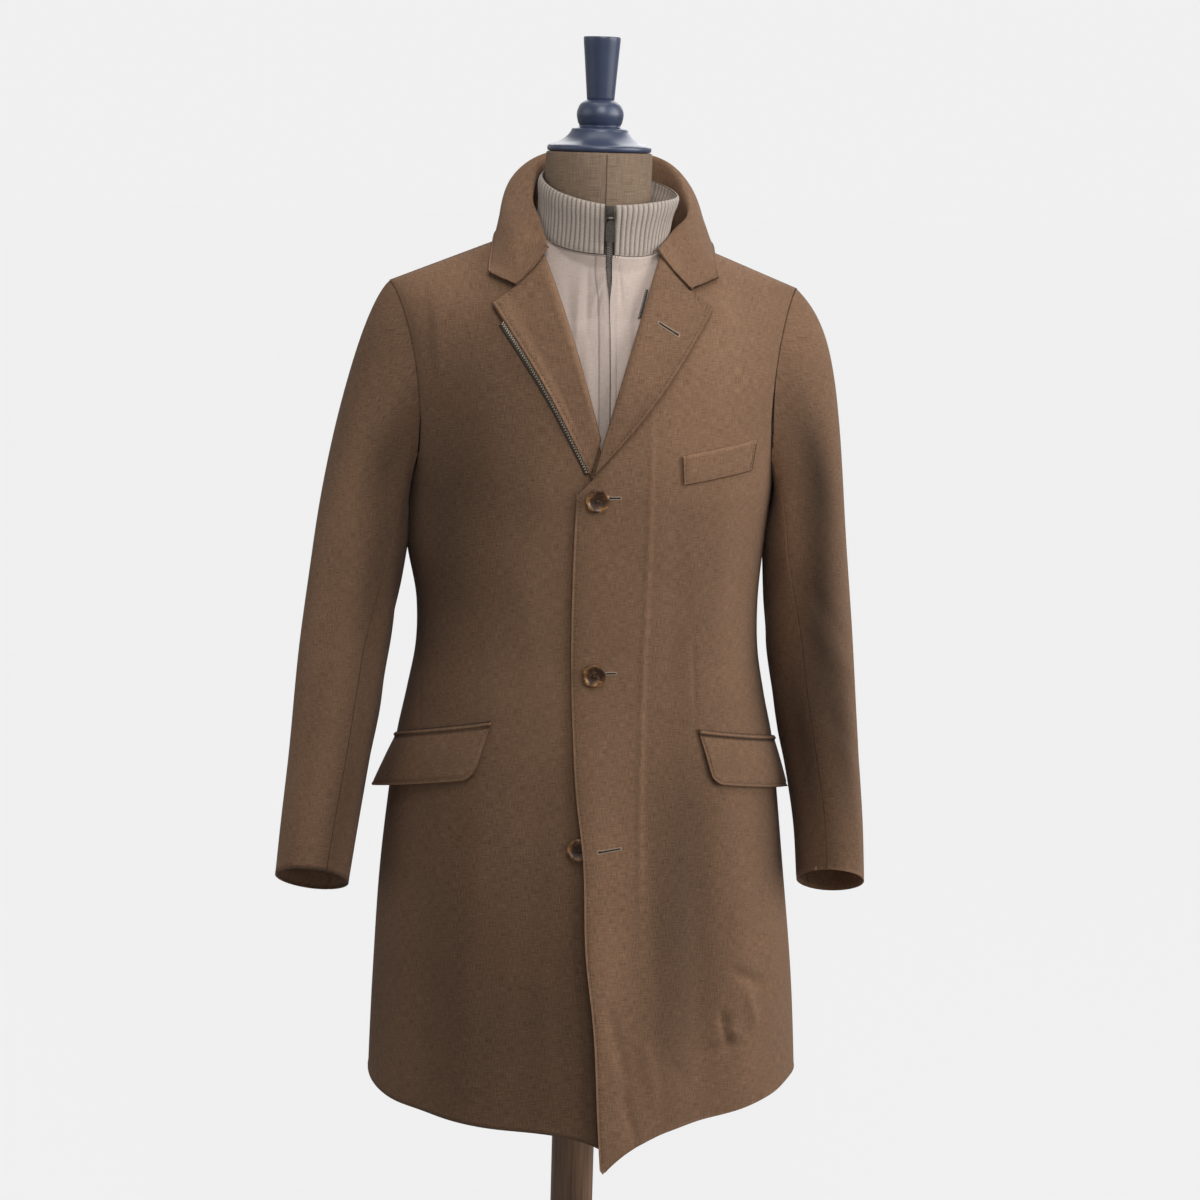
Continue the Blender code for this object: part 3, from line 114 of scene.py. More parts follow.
FORM_GAP_SHOULDER = 0.0018
FORM_GAP_BODY = 0.0125
FORM_CLEAR_LIFT = 0.80
FORM_NECK_RADIUS = 0.0565
FORM_NECK_ROOT = 1.3450
NECK_TOP = 1.5950
LINEN_DARK = (0.150, 0.100, 0.066)
LINEN_LIGHT = (0.330, 0.240, 0.170)
LINEN_THREADS = 1500
LINEN_SLUB = 0.020
NECK_ROUND = 0.003
TORSO_SHARP = math.radians(50)
CLOTH_FADE_SCALE = 9.0
CLOTH_RELIEF = 0.0005


def smooth_step(start, end, value):
    share = np.clip((np.asarray(value, float) - start) / (end - start), 0.0, 1.0)
    return share * share * (3 - 2 * share)


def bell(off, width):
    """1 in the middle, falling away smoothly on both sides."""
    return np.exp(-((off / width) ** 2))


def column(table, name, at, along="height"):
    """One column of a table, read on a smooth curve through its rows."""
    places = np.array([getattr(row, along) for row in table])
    values = np.array([getattr(row, name) for row in table])
    if places[0] > places[-1]:
        places, values = places[::-1], values[::-1]
    slopes = np.gradient(values, places)
    at = np.clip(at, places[0], places[-1])
    row = np.clip(np.searchsorted(places, at) - 1, 0, len(places) - 2)
    gap = places[row + 1] - places[row]
    t = (at - places[row]) / gap
    start = (2 * t**3 - 3 * t**2 + 1) * values[row] + (t**3 - 2 * t**2 + t) * gap * slopes[row]
    end = (3 * t**2 - 2 * t**3) * values[row + 1] + (t**3 - t**2) * gap * slopes[row + 1]
    return start + end


def ridge_height(x, neck_rise=NECK_RISE):
    x = np.abs(x)
    neck = np.clip(1 - (x / NECK_RISE_RADIUS) ** 2, 0, 1) ** 2
    return SHOULDER_HEIGHT + SHOULDER_SLOPE * (SHOULDER_HALF_WIDTH - x) + neck_rise * neck


def hem_height(turn, corner_drop=0.0):
    corner = np.exp(-np.abs(turn - CORNER_TURN) / CORNER_WIDTH)
    left_side = bell(np.degrees(turn) - HEM_LEFT_TURN, HEM_LEFT_WIDTH)
    return HEM_HEIGHT - HEM_FRONT_DIP * np.cos(turn) ** 2 - corner_drop * corner + HEM_LEFT_RISE * left_side


def fold_depth(turn, height):
    moved = np.zeros(np.broadcast(turn, height).shape)
    for fold in FOLDS:
        away = (np.degrees(turn) - fold.turn + 180) % 360 - 180
        fade = 1 - smooth_step(fold.bottom + FOLD_FADE, fold.top, height)
        moved = moved + fold.depth * bell(away, fold.width) * fade
    return moved


def half_width_at(lift):
    widening = np.clip(lift, 0, 1) ** SHOULDER_WIDENING
    return CHEST_HALF_WIDTH + (SHOULDER_HALF_WIDTH - CHEST_HALF_WIDTH) * widening


def dome_share(dome, turn, rise):
    fall = dome.centre_fall + (dome.side_fall - dome.centre_fall) * np.sin(turn) ** 4
    return np.clip(1 - rise**dome.curve, 0, 1) ** fall


def body_point(turn, lift, out=0.0, corner_drop=0.0, folded=True, neck_rise=NECK_RISE):
    """A point of the coat's body: turn from centre front to the wearer's left, lift -1 hem, 0 chest, 1 ridge."""
    turn, lift = np.broadcast_arrays(np.asarray(turn, float), np.asarray(lift, float))
    square = 1 + SQUARENESS * np.sin(2 * turn) ** 2
    rise = np.clip(lift, 0, 1)
    low = CHEST_HEIGHT + np.minimum(lift, 0) * (CHEST_HEIGHT - hem_height(turn, corner_drop))
    if folded:
        out = out + fold_depth(turn, low)
    half_width = column(BODY, "half_width", low) + half_width_at(rise) - CHEST_HALF_WIDTH + out
    x = half_width * np.sin(turn) * square + column(BODY, "sway", low) * (1 - rise)
    in_front = np.cos(turn) > 0
    depth = np.where(in_front, column(BODY, "front_depth", low), column(BODY, "back_depth", low)) + out
    dome = np.where(in_front, dome_share(FRONT_DOME, turn, rise), dome_share(BACK_DOME, turn, rise))
    y = RIDGE_DEPTH * rise**2 - depth * np.cos(turn) * square * dome
    z = np.where(lift < 0, low, CHEST_HEIGHT + rise * (ridge_height(x, neck_rise) + out - CHEST_HEIGHT))
    return np.stack([x, y, z], axis=-1)


def form_inset(lift):
    below = smooth_step(1.0, FORM_CLEAR_LIFT, lift)
    return CLOTH_WALL + FORM_GAP_SHOULDER + (FORM_GAP_BODY - FORM_GAP_SHOULDER) * below


def put(name, data):
    """A new object for a mesh, curve, lamp or camera, linked to the scene."""
    made = bpy.data.objects.new(name, data)
    bpy.context.scene.collection.objects.link(made)
    return made


def piece_of(mesh, material, slot, *stands_for, body=COAT_BODY):
    """An object of the mesh's own name that rides on a body and stands for CAD nodes; slot is not used."""
    mesh.materials.clear()
    mesh.materials.append(material)
    made = put(mesh.name, mesh)
    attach(made, body)
    if stands_for:
        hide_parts(*stands_for)
    return made


def mesh_from(name, shape, sharp_angle=None):
    """A smooth mesh from a bmesh, with its faces turned out."""
    bmesh.ops.recalc_face_normals(shape, faces=shape.faces)
    if shape.calc_volume(signed=True) < 0:
        bmesh.ops.reverse_faces(shape, faces=shape.faces)
    mesh = bpy.data.meshes.new(name)
    shape.to_mesh(mesh)
    shape.free()
    mesh.shade_smooth()
    if sharp_angle is not None:
        mesh.set_sharp_from_angle(angle=sharp_angle)
    return mesh


def turned_mesh(name, profile, steps, sharp_angle=None):
    """A mesh turned about Z, from (radius, height) rows between its two poles."""
    shape = bmesh.new()
    verts = [shape.verts.new((radius, 0.0, height)) for radius, height in profile]
    edges = [shape.edges.new(pair) for pair in zip(verts, verts[1:])]
    bmesh.ops.spin(
        shape, geom=verts + edges, cent=(0, 0, 0), axis=(0, 0, 1), angle=2 * math.pi, steps=steps, use_merge=True
    )
    bmesh.ops.remove_doubles(shape, verts=shape.verts, dist=1e-6)
    return mesh_from(name, shape, sharp_angle)


def wrap_weave(mesh, radius):
    """A UV map in metres that wraps round the pole's axis, for cloth on a round shape."""
    layer = mesh.uv_layers.new(name="weave")
    co = np.empty(len(mesh.vertices) * 3, np.float32)
    mesh.vertices.foreach_get("co", co)
    co = co.reshape(-1, 3)
    wrapped = np.stack([np.arctan2(co[:, 0], -co[:, 1]) * radius, co[:, 2]], axis=-1)
    corner = np.empty(len(mesh.loops), np.int32)
    mesh.loops.foreach_get("vertex_index", corner)
    layer.data.foreach_set("uv", wrapped[corner].astype(np.float32).ravel())


def feed(tree, node, feeds):
    """Gives a node's inputs their values, or links where a value is another node's output."""
    for name, value in feeds.items():
        if isinstance(value, bpy.types.NodeSocket):
            tree.links.new(value, node.inputs[name])
        else:
            node.inputs[name].default_value = value


def add_node(tree, kind, feeds=(), **settings):
    """A new node with its settings made and its inputs fed."""
    node = tree.nodes.new(kind)
    for name, value in settings.items():
        setattr(node, name, value)
    feed(tree, node, dict(feeds))
    return node


def math_node(tree, operation, *values):
    """The output of a Math node whose inputs are sockets or numbers."""
    return add_node(tree, "ShaderNodeMath", dict(enumerate(values)), operation=operation).outputs[0]


def node_group(name, inputs, outputs):
    """A new shader node group with named sockets, what it is given and the node for what it gives."""
    group = bpy.data.node_groups.new(name, "ShaderNodeTree")
    for in_out, sockets in (("INPUT", inputs), ("OUTPUT", outputs)):
        for socket, kind in sockets.items():
            group.interface.new_socket(socket, in_out=in_out, socket_type=f"NodeSocket{kind}")
    return group, add_node(group, "NodeGroupInput").outputs, add_node(group, "NodeGroupOutput")


def woven_threads():
    """Node group: threads of a plain weave on a UV map in metres, with slubs both ways."""
    inputs = {"Weave": "Vector", "Threads": "Float", "Slub Length": "Float"}
    group, given, gives = node_group("woven_threads", inputs, {"Shade": "Float", "Height": "Float"})
    across, along = add_node(group, "ShaderNodeSeparateXYZ", {0: given["Weave"]}).outputs[:2]
    shades, waves = [], []
    for first, second in ((across, along), (along, across)):
        slubs = math_node(group, "DIVIDE", first, given["Slub Length"])
        rows = math_node(group, "MULTIPLY", second, given["Threads"])
        place = add_node(group, "ShaderNodeCombineXYZ", {0: slubs, 1: rows}).outputs[0]
        feeds = {"Vector": place, "Scale": 1.0, "Detail": 3.0, "Roughness": 0.6}
        shades.append(add_node(group, "ShaderNodeTexNoise", feeds, noise_dimensions="2D").outputs["Fac"])
        counted = math_node(group, "MULTIPLY", first, given["Threads"])
        waves.append(math_node(group, "SINE", math_node(group, "MULTIPLY", counted, math.pi)))
    crossing = math_node(group, "MULTIPLY", math_node(group, "MULTIPLY", *waves), 0.25)
    shade = math_node(group, "MULTIPLY", math_node(group, "ADD", *shades), 0.5)
    feed(group, gives, {"Shade": shade, "Height": math_node(group, "ADD", crossing, shades[0])})
    return group


WOVEN = woven_threads()


def new_material(name):
    """A new material, with its node tree, its Principled shader and its Object coordinates."""
    material = bpy.data.materials.new(name)
    material.use_nodes = True
    tree = material.node_tree
    return material, tree, tree.nodes["Principled BSDF"], add_node(tree, "ShaderNodeTexCoord").outputs["Object"]


def ramp_of(tree, shade, dark_at, dark, light_at, light):
    """A colour ramp from dark to light, fed by a shade."""
    ramp = add_node(tree, "ShaderNodeValToRGB", {0: shade})
    for stop, at, colour in zip(ramp.color_ramp.elements, (dark_at, light_at), (dark, light)):
        stop.position = at
        stop.color = (*colour, 1.0)
    return ramp


def relief_of(tree, height, strength, distance):
    """The normal of fine relief that is too small for the mesh."""
    return add_node(
        tree, "ShaderNodeBump", {"Height": height, "Strength": strength, "Distance": distance}
    ).outputs[0]


def cloth_material(name, dark, light, threads, slub, bump, sheen=0.0, fade=0.12):
    """Woven cloth: light and dark threads, a slow change of shade over the piece, the light and shade painted on
    each mesh, and raised threads.
    """
    material, tree, shader, place = new_material(name)
    weave = add_node(tree, "ShaderNodeUVMap", uv_map="weave").outputs[0]
    feeds = {"Weave": weave, "Threads": threads, "Slub Length": slub}
    woven = add_node(tree, "ShaderNodeGroup", feeds, node_tree=WOVEN).outputs
    feeds = {"Vector": place, "Scale": CLOTH_FADE_SCALE, "Detail": 2.0}
    slow = add_node(tree, "ShaderNodeTexNoise", feeds).outputs["Fac"]
    feeds = {"Value": slow, "From Min": 0.3, "From Max": 0.7, "To Min": 1.0 - fade, "To Max": 1.0 + fade}
    spread = add_node(tree, "ShaderNodeMapRange", feeds).outputs[0]
    # Painted light and shade: each mesh's values draw the cloth lighter or darker, on top of the slow random change
    # of tone.
    painted_shading = add_node(tree, "ShaderNodeAttribute", attribute_name="painted_shading").outputs["Fac"]
    tone_and_painted_shading = math_node(tree, "MULTIPLY", spread, math_node(tree, "ADD", painted_shading, 1.0))
    feeds = {"Factor": 1.0, "A": ramp_of(tree, woven["Shade"], 0.30, dark, 0.70, light).outputs[0], "B": tone_and_painted_shading}
    mixed = add_node(tree, "ShaderNodeMix", feeds, data_type="RGBA", blend_type="MULTIPLY")
    feed(tree, shader, {
        "Base Color": mixed.outputs["Result"],
        "Normal": relief_of(tree, woven["Height"], bump, CLOTH_RELIEF),
        "Roughness": 0.92,
        "Specular IOR Level": 0.2,
        "Sheen Weight": sheen,
        "Sheen Roughness": 0.5,
    })
    return material


linen = cloth_material("form_linen_weave", LINEN_DARK, LINEN_LIGHT, LINEN_THREADS, LINEN_SLUB, 0.5)
shape = bmesh.new()
bmesh.ops.create_grid(shape, x_segments=72, y_segments=48, size=0.5)
flat = np.array([vert.co for vert in shape.verts])
torso_turn = (flat[:, 0] + 0.5) * 2 * math.pi
rise = flat[:, 1] + 0.5
torso_lowest = (FORM_BOTTOM - CHEST_HEIGHT) / (CHEST_HEIGHT - HEM_HEIGHT)
torso_lift = np.where(rise < 0.5, torso_lowest * (1 - 2 * rise), np.sin(math.pi / 2 * np.clip(2 * rise - 1, 0, 1)))
torso = body_point(torso_turn, torso_lift, -form_inset(torso_lift), folded=False, neck_rise=0.0)
torso[rise < 1e-6, 2] = FORM_BOTTOM
for vert, point in zip(shape.verts, torso):
    vert.co = point
bmesh.ops.remove_doubles(shape, verts=shape.verts, dist=2e-5)
bmesh.ops.holes_fill(shape, edges=[edge for edge in shape.edges if edge.is_boundary], sides=0)
neck_rows = [
    (0.0, NECK_TOP), (FORM_NECK_RADIUS - NECK_ROUND, NECK_TOP), (FORM_NECK_RADIUS - 0.0008, NECK_TOP - 0.0006),
    (FORM_NECK_RADIUS, NECK_TOP - NECK_ROUND), (FORM_NECK_RADIUS, 1.54), (FORM_NECK_RADIUS, FORM_NECK_ROOT),
    (0.0, FORM_NECK_ROOT),
]
neck_mesh = turned_mesh("form_neck", neck_rows, 72)
torso_mesh = mesh_from("form_torso_cover", shape, TORSO_SHARP)
shape = bmesh.new()
for part in (torso_mesh, neck_mesh):
    shape.from_mesh(part)
shape.to_mesh(torso_mesh)
shape.free()
torso_mesh.shade_smooth()
torso_mesh.set_sharp_from_angle(angle=TORSO_SHARP)
wrap_weave(torso_mesh, FORM_NECK_RADIUS)
torso_cover = piece_of(torso_mesh, linen, "form_linen", "form_torso")


# The neck's seam: the two linen panels are joined edge to edge down the front.
# It shows as one thin dark line of pressed cloth, with the thread sunk into it.
NECK_SEAM_X = 0.0030
NECK_SEAM_PROUD = 0.0001
NECK_SEAM_RADIUS = 0.0004


def evaluated_mesh(carrier):
    """The final mesh of an object that is then removed."""
    bpy.context.view_layer.update()
    mesh = bpy.data.meshes.new_from_object(carrier.evaluated_get(bpy.context.evaluated_depsgraph_get()))
    bpy.data.objects.remove(carrier, do_unlink=True)
    return mesh


def tube_mesh(name, points, radius, cyclic=False):
    """A thin round line through the points, as a mesh."""
    curve = bpy.data.curves.new(name, "CURVE")
    curve.dimensions = "3D"
    curve.bevel_depth = radius
    curve.bevel_resolution = 3
    curve.use_fill_caps = True
    line = curve.splines.new("POLY")
    line.points.add(len(points) - 1)
    for spot, point in zip(line.points, points):
        spot.co = (*point, 1.0)
    line.use_cyclic_u = cyclic
    mesh = evaluated_mesh(put(name, curve))
    bpy.data.curves.remove(curve)
    mesh.name = name
    mesh.shade_smooth()
    return mesh


def grained(name, detail, roughness):
    """Node group: a fine noise at a place, as a shade from dark to light."""
    group, given, gives = node_group(name, {"Place": "Vector", "Scale": "Float"}, {"Shade": "Float"})
    feeds = {"Vector": given["Place"], "Scale": given["Scale"], "Detail": detail, "Roughness": roughness}
    feed(group, gives, {"Shade": add_node(group, "ShaderNodeTexNoise", feeds).outputs["Fac"]})
    return group


SPECKLE = grained("speckle", 4.0, 0.5)


def plain_material(name, colour, roughness, speckle, scale, metallic=0.0, coat=0.0):
    """A surface of one colour with fine changes of shade and gloss, as thread, paint and metal have."""
    material, tree, shader, place = new_material(name)
    shade = add_node(tree, "ShaderNodeGroup", {"Place": place, "Scale": scale}, node_tree=SPECKLE).outputs["Shade"]
    dark = [part * (1 - speckle) for part in colour]
    light = [min(part * (1 + speckle), 1.0) for part in colour]
    gloss = {"Value": shade, "To Min": max(roughness - 0.08, 0.02), "To Max": min(roughness + 0.08, 1.0)}
    feed(tree, shader, {
        "Base Color": ramp_of(tree, shade, 0.3, dark, 0.7, light).outputs[0],
        "Roughness": add_node(tree, "ShaderNodeMapRange", gloss).outputs[0],
        "Metallic": metallic,
        "Coat Weight": coat,
        "Coat Roughness": 0.3,
    })
    return material


seam_thread = plain_material("linen_seam_thread", (0.085, 0.058, 0.040), 0.9, 0.2, 900)
seam_y = -math.sqrt(FORM_NECK_RADIUS**2 - NECK_SEAM_X**2) - NECK_SEAM_PROUD
seam_line = [(NECK_SEAM_X, seam_y, z) for z in np.linspace(1.50, 1.5935, 24)]
piece_of(tube_mesh("neck_seam", seam_line, NECK_SEAM_RADIUS), seam_thread, "form_linen")


# The neck cap: a wooden finial turned on a lathe, painted satin slate blue.
# It has a flared stem, a ball, a small ring and a wide foot that covers the neck.
CAP_PROFILE = [
    (0.0185, 0.1180), (0.0195, 0.1165), (0.0180, 0.0980), (0.0147, 0.0560), (0.0150, 0.0540), (0.0215, 0.0490),
    (0.0248, 0.0400), (0.0235, 0.0310), (0.0220, 0.0265), (0.0290, 0.0240), (0.0310, 0.0205), (0.0360, 0.0150),
    (0.0440, 0.0100), (0.0530, 0.0070), (0.0552, 0.0045), (0.0548, 0.0012), (0.0530, 0.0003),
]
CAP_BLUE = (0.028, 0.040, 0.084)


def rounded_profile(rows, lift, steps):
    """The rows of a turned profile, with more rows on a smooth curve between them."""
    Row = namedtuple("Row", "at radius height")
    table = [Row(at, radius, height) for at, (radius, height) in enumerate(rows)]
    fine = np.linspace(0, len(rows) - 1, (len(rows) - 1) * steps + 1)
    curve = zip(column(table, "radius", fine, "at"), column(table, "height", fine, "at"))
    closed = [(0.0, rows[0][1]), *curve, (0.0, rows[-1][1])]
    return [(radius, height + lift) for radius, height in closed]


cap_paint = plain_material("cap_satin_paint", CAP_BLUE, 0.36, 0.10, 60, coat=0.25)
cap_mesh = turned_mesh("neck_cap_turned", rounded_profile(CAP_PROFILE, NECK_TOP, 4), 72, math.radians(60))
piece_of(cap_mesh, cap_paint, "cap_paint", "neck_cap")


# The stand: a round wooden pole glued into a turned wooden base with a short socket.
# Both are stained brown and varnished, with the grain up the pole.
POLE_RADIUS = 0.0245
BASE_RADIUS = 0.2100
BASE_THICKNESS = 0.0240
BASE_SOCKET_RADIUS = 0.0450
BASE_SOCKET_HEIGHT = 0.0500
WOOD_DARK = (0.080, 0.040, 0.020)
WOOD_LIGHT = (0.210, 0.115, 0.062)
WOOD_GAP = 0.0003
WOOD_SHARP = math.radians(50)
EDGE_ROUND = 0.0035
BASE_ROUND = 0.012
WOOD_GRAIN = grained("wood_grain", 6.0, 0.65)


def wood_material(name, stretch):
    """Stained wood: long noise streaks along the grain, with darker pores."""
    material, tree, shader, place = new_material(name)
    streaks = add_node(tree, "ShaderNodeMapping", {"Vector": place, "Scale": stretch}).outputs[0]
    feeds = {"Place": streaks, "Scale": 1.0}
    grain = add_node(tree, "ShaderNodeGroup", feeds, node_tree=WOOD_GRAIN).outputs["Shade"]
    feed(tree, shader, {
        "Base Color": ramp_of(tree, grain, 0.35, WOOD_DARK, 0.68, WOOD_LIGHT).outputs[0],
        "Normal": relief_of(tree, grain, 0.15, 0.0006),
        "Roughness": 0.42,
        "Coat Weight": 0.15,
    })
    return material


foot = BASE_THICKNESS + BASE_SOCKET_HEIGHT
pole_ends = (FORM_BOTTOM - WOOD_GAP, foot + WOOD_GAP)
pole_rows = [(POLE_RADIUS, z) for z in (pole_ends[0], *np.linspace(0.84, 0.10, 12), pole_ends[1])]
pole_rows = [(0.0, pole_ends[0]), *pole_rows, (0.0, pole_ends[1])]
pole_wood = wood_material("pole_stained_wood", (170, 170, 7))
piece_of(turned_mesh("stand_pole_turned", pole_rows, 64, WOOD_SHARP), pole_wood, "stand_wood", "stand_pole")
base_rows = [
    (0.0, foot), (BASE_SOCKET_RADIUS - EDGE_ROUND, foot), (BASE_SOCKET_RADIUS - 0.001, foot - 0.001),
    (BASE_SOCKET_RADIUS, foot - EDGE_ROUND), (BASE_SOCKET_RADIUS, BASE_THICKNESS + BASE_ROUND),
    (BASE_SOCKET_RADIUS + EDGE_ROUND, BASE_THICKNESS + EDGE_ROUND),
    (BASE_SOCKET_RADIUS + BASE_ROUND, BASE_THICKNESS), (BASE_RADIUS - BASE_ROUND, BASE_THICKNESS),
    (BASE_RADIUS - EDGE_ROUND, BASE_THICKNESS - EDGE_ROUND), (BASE_RADIUS, BASE_THICKNESS - BASE_ROUND),
    (BASE_RADIUS, EDGE_ROUND), (BASE_RADIUS - 0.001, 0.001), (BASE_RADIUS - EDGE_ROUND, 0.0), (0.0, 0.0),
]
base_wood = wood_material("base_stained_wood", (7, 150, 150))
piece_of(turned_mesh("stand_base_turned", base_rows, 96, WOOD_SHARP), base_wood, "stand_wood", "stand_base")


# The coat's fronts: brown wool cut in one from hem to shoulder, the left lapping over the right.
# Each is sewn to the back down the side and faced along its edge; a dart shapes it above the pocket.
# The cloth hangs from the shoulders, with soft folds in the skirt and small crush marks.
SEAM = 0.0003
NECK_POINT = 0.092
ARMHOLE_TURN = math.radians(29)
ARMHOLE_EASE = 0.12
ARMHOLE_ROUNDNESS = 0.6
Edge = namedtuple("Edge", "height x stand_off")
LEFT_EDGE = [
    Edge(0.500, 0.0170, 0.0125),
    Edge(0.610, 0.0086, 0.0115),
    Edge(0.705, 0.0022, 0.0105),
    Edge(0.772, -0.0067, 0.0095),
    Edge(0.884, -0.0123, 0.0085),
    Edge(0.938, -0.0197, 0.0065),
    Edge(1.016, -0.0254, 0.0042),
    Edge(1.183, -0.0289, 0.0038),
    Edge(1.245, -0.0276, 0.0038),
]
RIGHT_EDGE_TOP = 0.026
RIGHT_EDGE_HEM = 0.048
LEFT_CORNER_DROP = 0.044
RIGHT_CORNER_DROP = 0.022
OVERLAP_NEAR = 0.030
OVERLAP_FAR = 0.130
OVERLAP_LOOSE = 0.070
BREAK_LIFT = 0.074
GORGE_LIFT = 0.842
LEFT_ROLL = (0.0946, -0.0184)
RIGHT_ROLL = (0.0866, -0.0124)
ROLL_TUCK = 0.008
TUCK_FULL_LIFT = 0.30
NECKLINE_FROM_LIFT = 0.80
Crease = namedtuple("Crease", "x z to_x to_z width depth")
LEFT_FRONT_CREASES = [
    Crease(0.098, 1.459, 0.110, 1.427, 0.006, -0.0016),
    Crease(0.122, 1.452, 0.136, 1.412, 0.008, 0.0018),
    Crease(0.148, 1.462, 0.162, 1.405, 0.010, -0.0014),
    Crease(0.130, 1.245, 0.125, 1.090, 0.016, 0.0022),
    Crease(0.082, 1.225, 0.080, 1.030, 0.014, -0.0016),
    Crease(0.165, 1.252, 0.150, 1.115, 0.012, -0.0018),
    Crease(0.030, 1.070, 0.120, 1.125, 0.012, -0.0009),
    Crease(0.030, 1.045, 0.110, 1.005, 0.012, 0.0008),
    Crease(0.075, 0.920, 0.085, 0.620, 0.018, 0.0024),
    Crease(0.112, 0.900, 0.126, 0.600, 0.016, -0.0026),
    Crease(0.162, 0.880, 0.176, 0.580, 0.016, 0.0020),
    Crease(0.158, 0.722, 0.196, 0.700, 0.006, -0.0042),
    Crease(0.148, 0.676, 0.158, 0.640, 0.005, -0.0050),
    Crease(0.126, 0.630, 0.168, 0.642, 0.005, -0.0044),
    Crease(0.153, 0.660, 0.165, 0.645, 0.005, 0.0036),
    Crease(0.176, 0.694, 0.186, 0.656, 0.006, 0.0034),
    Crease(0.017, 0.696, 0.039, 0.614, 0.006, -0.0016),
    Crease(0.054, 0.660, 0.073, 0.588, 0.007, 0.0016),
    Crease(0.083, 0.633, 0.112, 0.600, 0.006, -0.0014),
    Crease(0.034, 0.605, 0.050, 0.545, 0.005, -0.0016),
    Crease(0.1015, 1.096, 0.1085, 0.992, 0.0022, -0.0011),
]
RIGHT_FRONT_CREASES = [
    Crease(-0.177, 1.256, -0.165, 1.106, 0.012, -0.0016),
    Crease(-0.183, 1.440, -0.178, 1.356, 0.007, -0.0014),
    Crease(-0.172, 1.432, -0.169, 1.374, 0.006, 0.0010),
    Crease(-0.104, 1.415, -0.086, 1.185, 0.020, -0.0015),
    Crease(-0.084, 1.180, -0.060, 1.030, 0.016, 0.0012),
    Crease(-0.060, 0.950, -0.070, 0.620, 0.020, -0.0020),
    Crease(-0.121, 0.930, -0.136, 0.600, 0.018, 0.0022),
    Crease(-0.176, 0.900, -0.190, 0.600, 0.016, -0.0018),
    Crease(-0.040, 0.800, -0.030, 0.600, 0.010, -0.0012),
    Crease(-0.182, 1.124, -0.186, 0.985, 0.0022, -0.0010),
]
FACING_LINE = [
    Edge(1.345, 0.0478, 0.0), Edge(1.140, 0.0475, 0.0), Edge(1.011, 0.0463, 0.0), Edge(0.870, 0.0469, 0.0),
    Edge(0.703, 0.0533, 0.0), Edge(0.560, 0.0570, 0.0),
]
FACING_LIP = 0.0015
FACING_LIP_WIDTH = 0.0024
FACING_STEP = (-0.002, 0.005)
FACING_STEP_SHARE = 0.8
FACING_BLUR = 0.018
FACING_CRISP = (0.74, 0.92)
FACING_ENDS = (1.30, 1.36)
CREASE_STARTS = (-0.25, 0.30)
CREASE_ENDS = (0.70, 1.25)
EDGE_GROOVE_WIDTH = 0.0012
WEAVE_RADIUS = 0.2
EDGE_HOLD = (0.0, 0.05)
SIDE_HOLD = (0.94, 1.0)
CHEST_ROW = 0.70
LOOSE_SHARE = 0.65
SIDES = ((1, "left"), (-1, "right"))
EDGE_STITCH_IN = 0.0035
EDGE_GROOVE = 0.0005
# Painted light and shade on the fronts: soft round patches where the wool is drawn lighter or darker.
Fade = namedtuple("Fade", "x z half_x half_z amount")
LEFT_FRONT_PAINTED_SHADING = [
    Fade(0.010, 0.720, 0.034, 0.24, 0.32),
    Fade(0.094, 0.800, 0.040, 0.21, -0.48),
    Fade(0.130, 1.400, 0.050, 0.08, 0.10),
    Fade(0.170, 0.620, 0.050, 0.06, 0.06),
    Fade(0.205, 1.000, 0.030, 0.20, -0.12),
]
RIGHT_FRONT_PAINTED_SHADING = [
    Fade(-0.030, 0.620, 0.070, 0.18, -0.22),
    Fade(-0.110, 0.700, 0.110, 0.26, -0.34),
    Fade(-0.130, 1.300, 0.060, 0.14, -0.44),
    Fade(-0.170, 1.468, 0.050, 0.040, 0.30),
    Fade(-0.175, 1.130, 0.045, 0.16, -0.30),
]
WOOL_DARK = (0.117, 0.062, 0.035)
WOOL_LIGHT = (0.308, 0.182, 0.109)
coat_wool = cloth_material("coat_brown_wool", WOOL_DARK, WOOL_LIGHT, 1600, 0.010, 0.45, sheen=0.05, fade=0.07)


def lift_of(x, z):
    above = (z - CHEST_HEIGHT) / (ridge_height(x) - CHEST_HEIGHT)
    below = (z - CHEST_HEIGHT) / (CHEST_HEIGHT - hem_height(0.0))
    return np.where(z >= CHEST_HEIGHT, above, below)


def turn_of(x, lift, out=0.0):
    """The turn at which the front reaches this x, at this lift."""
    x, lift, out = np.broadcast_arrays(np.asarray(x, float), np.asarray(lift, float), np.asarray(out, float))
    turn = np.zeros(x.shape)
    for _ in range(8):
        low = CHEST_HEIGHT + np.minimum(lift, 0) * (CHEST_HEIGHT - hem_height(turn))
        half_width = column(BODY, "half_width", low) + half_width_at(lift) - CHEST_HALF_WIDTH + out
        square = 1 + SQUARENESS * np.sin(2 * turn) ** 2
        level = x - column(BODY, "sway", low) * (1 - np.clip(lift, 0, 1))
        turn = np.arcsin(np.clip(level / (half_width * square), -1, 1))
    return turn


def armhole_turn(lift):
    reach = 2 * np.sqrt(np.clip(lift * (1 - lift), 0, None))
    return ARMHOLE_TURN * reach**ARMHOLE_ROUNDNESS * (1 - ARMHOLE_EASE * lift)


def roll_x(lift, side):
    slope, start = LEFT_ROLL if side > 0 else RIGHT_ROLL
    return side * (slope * lift + start)


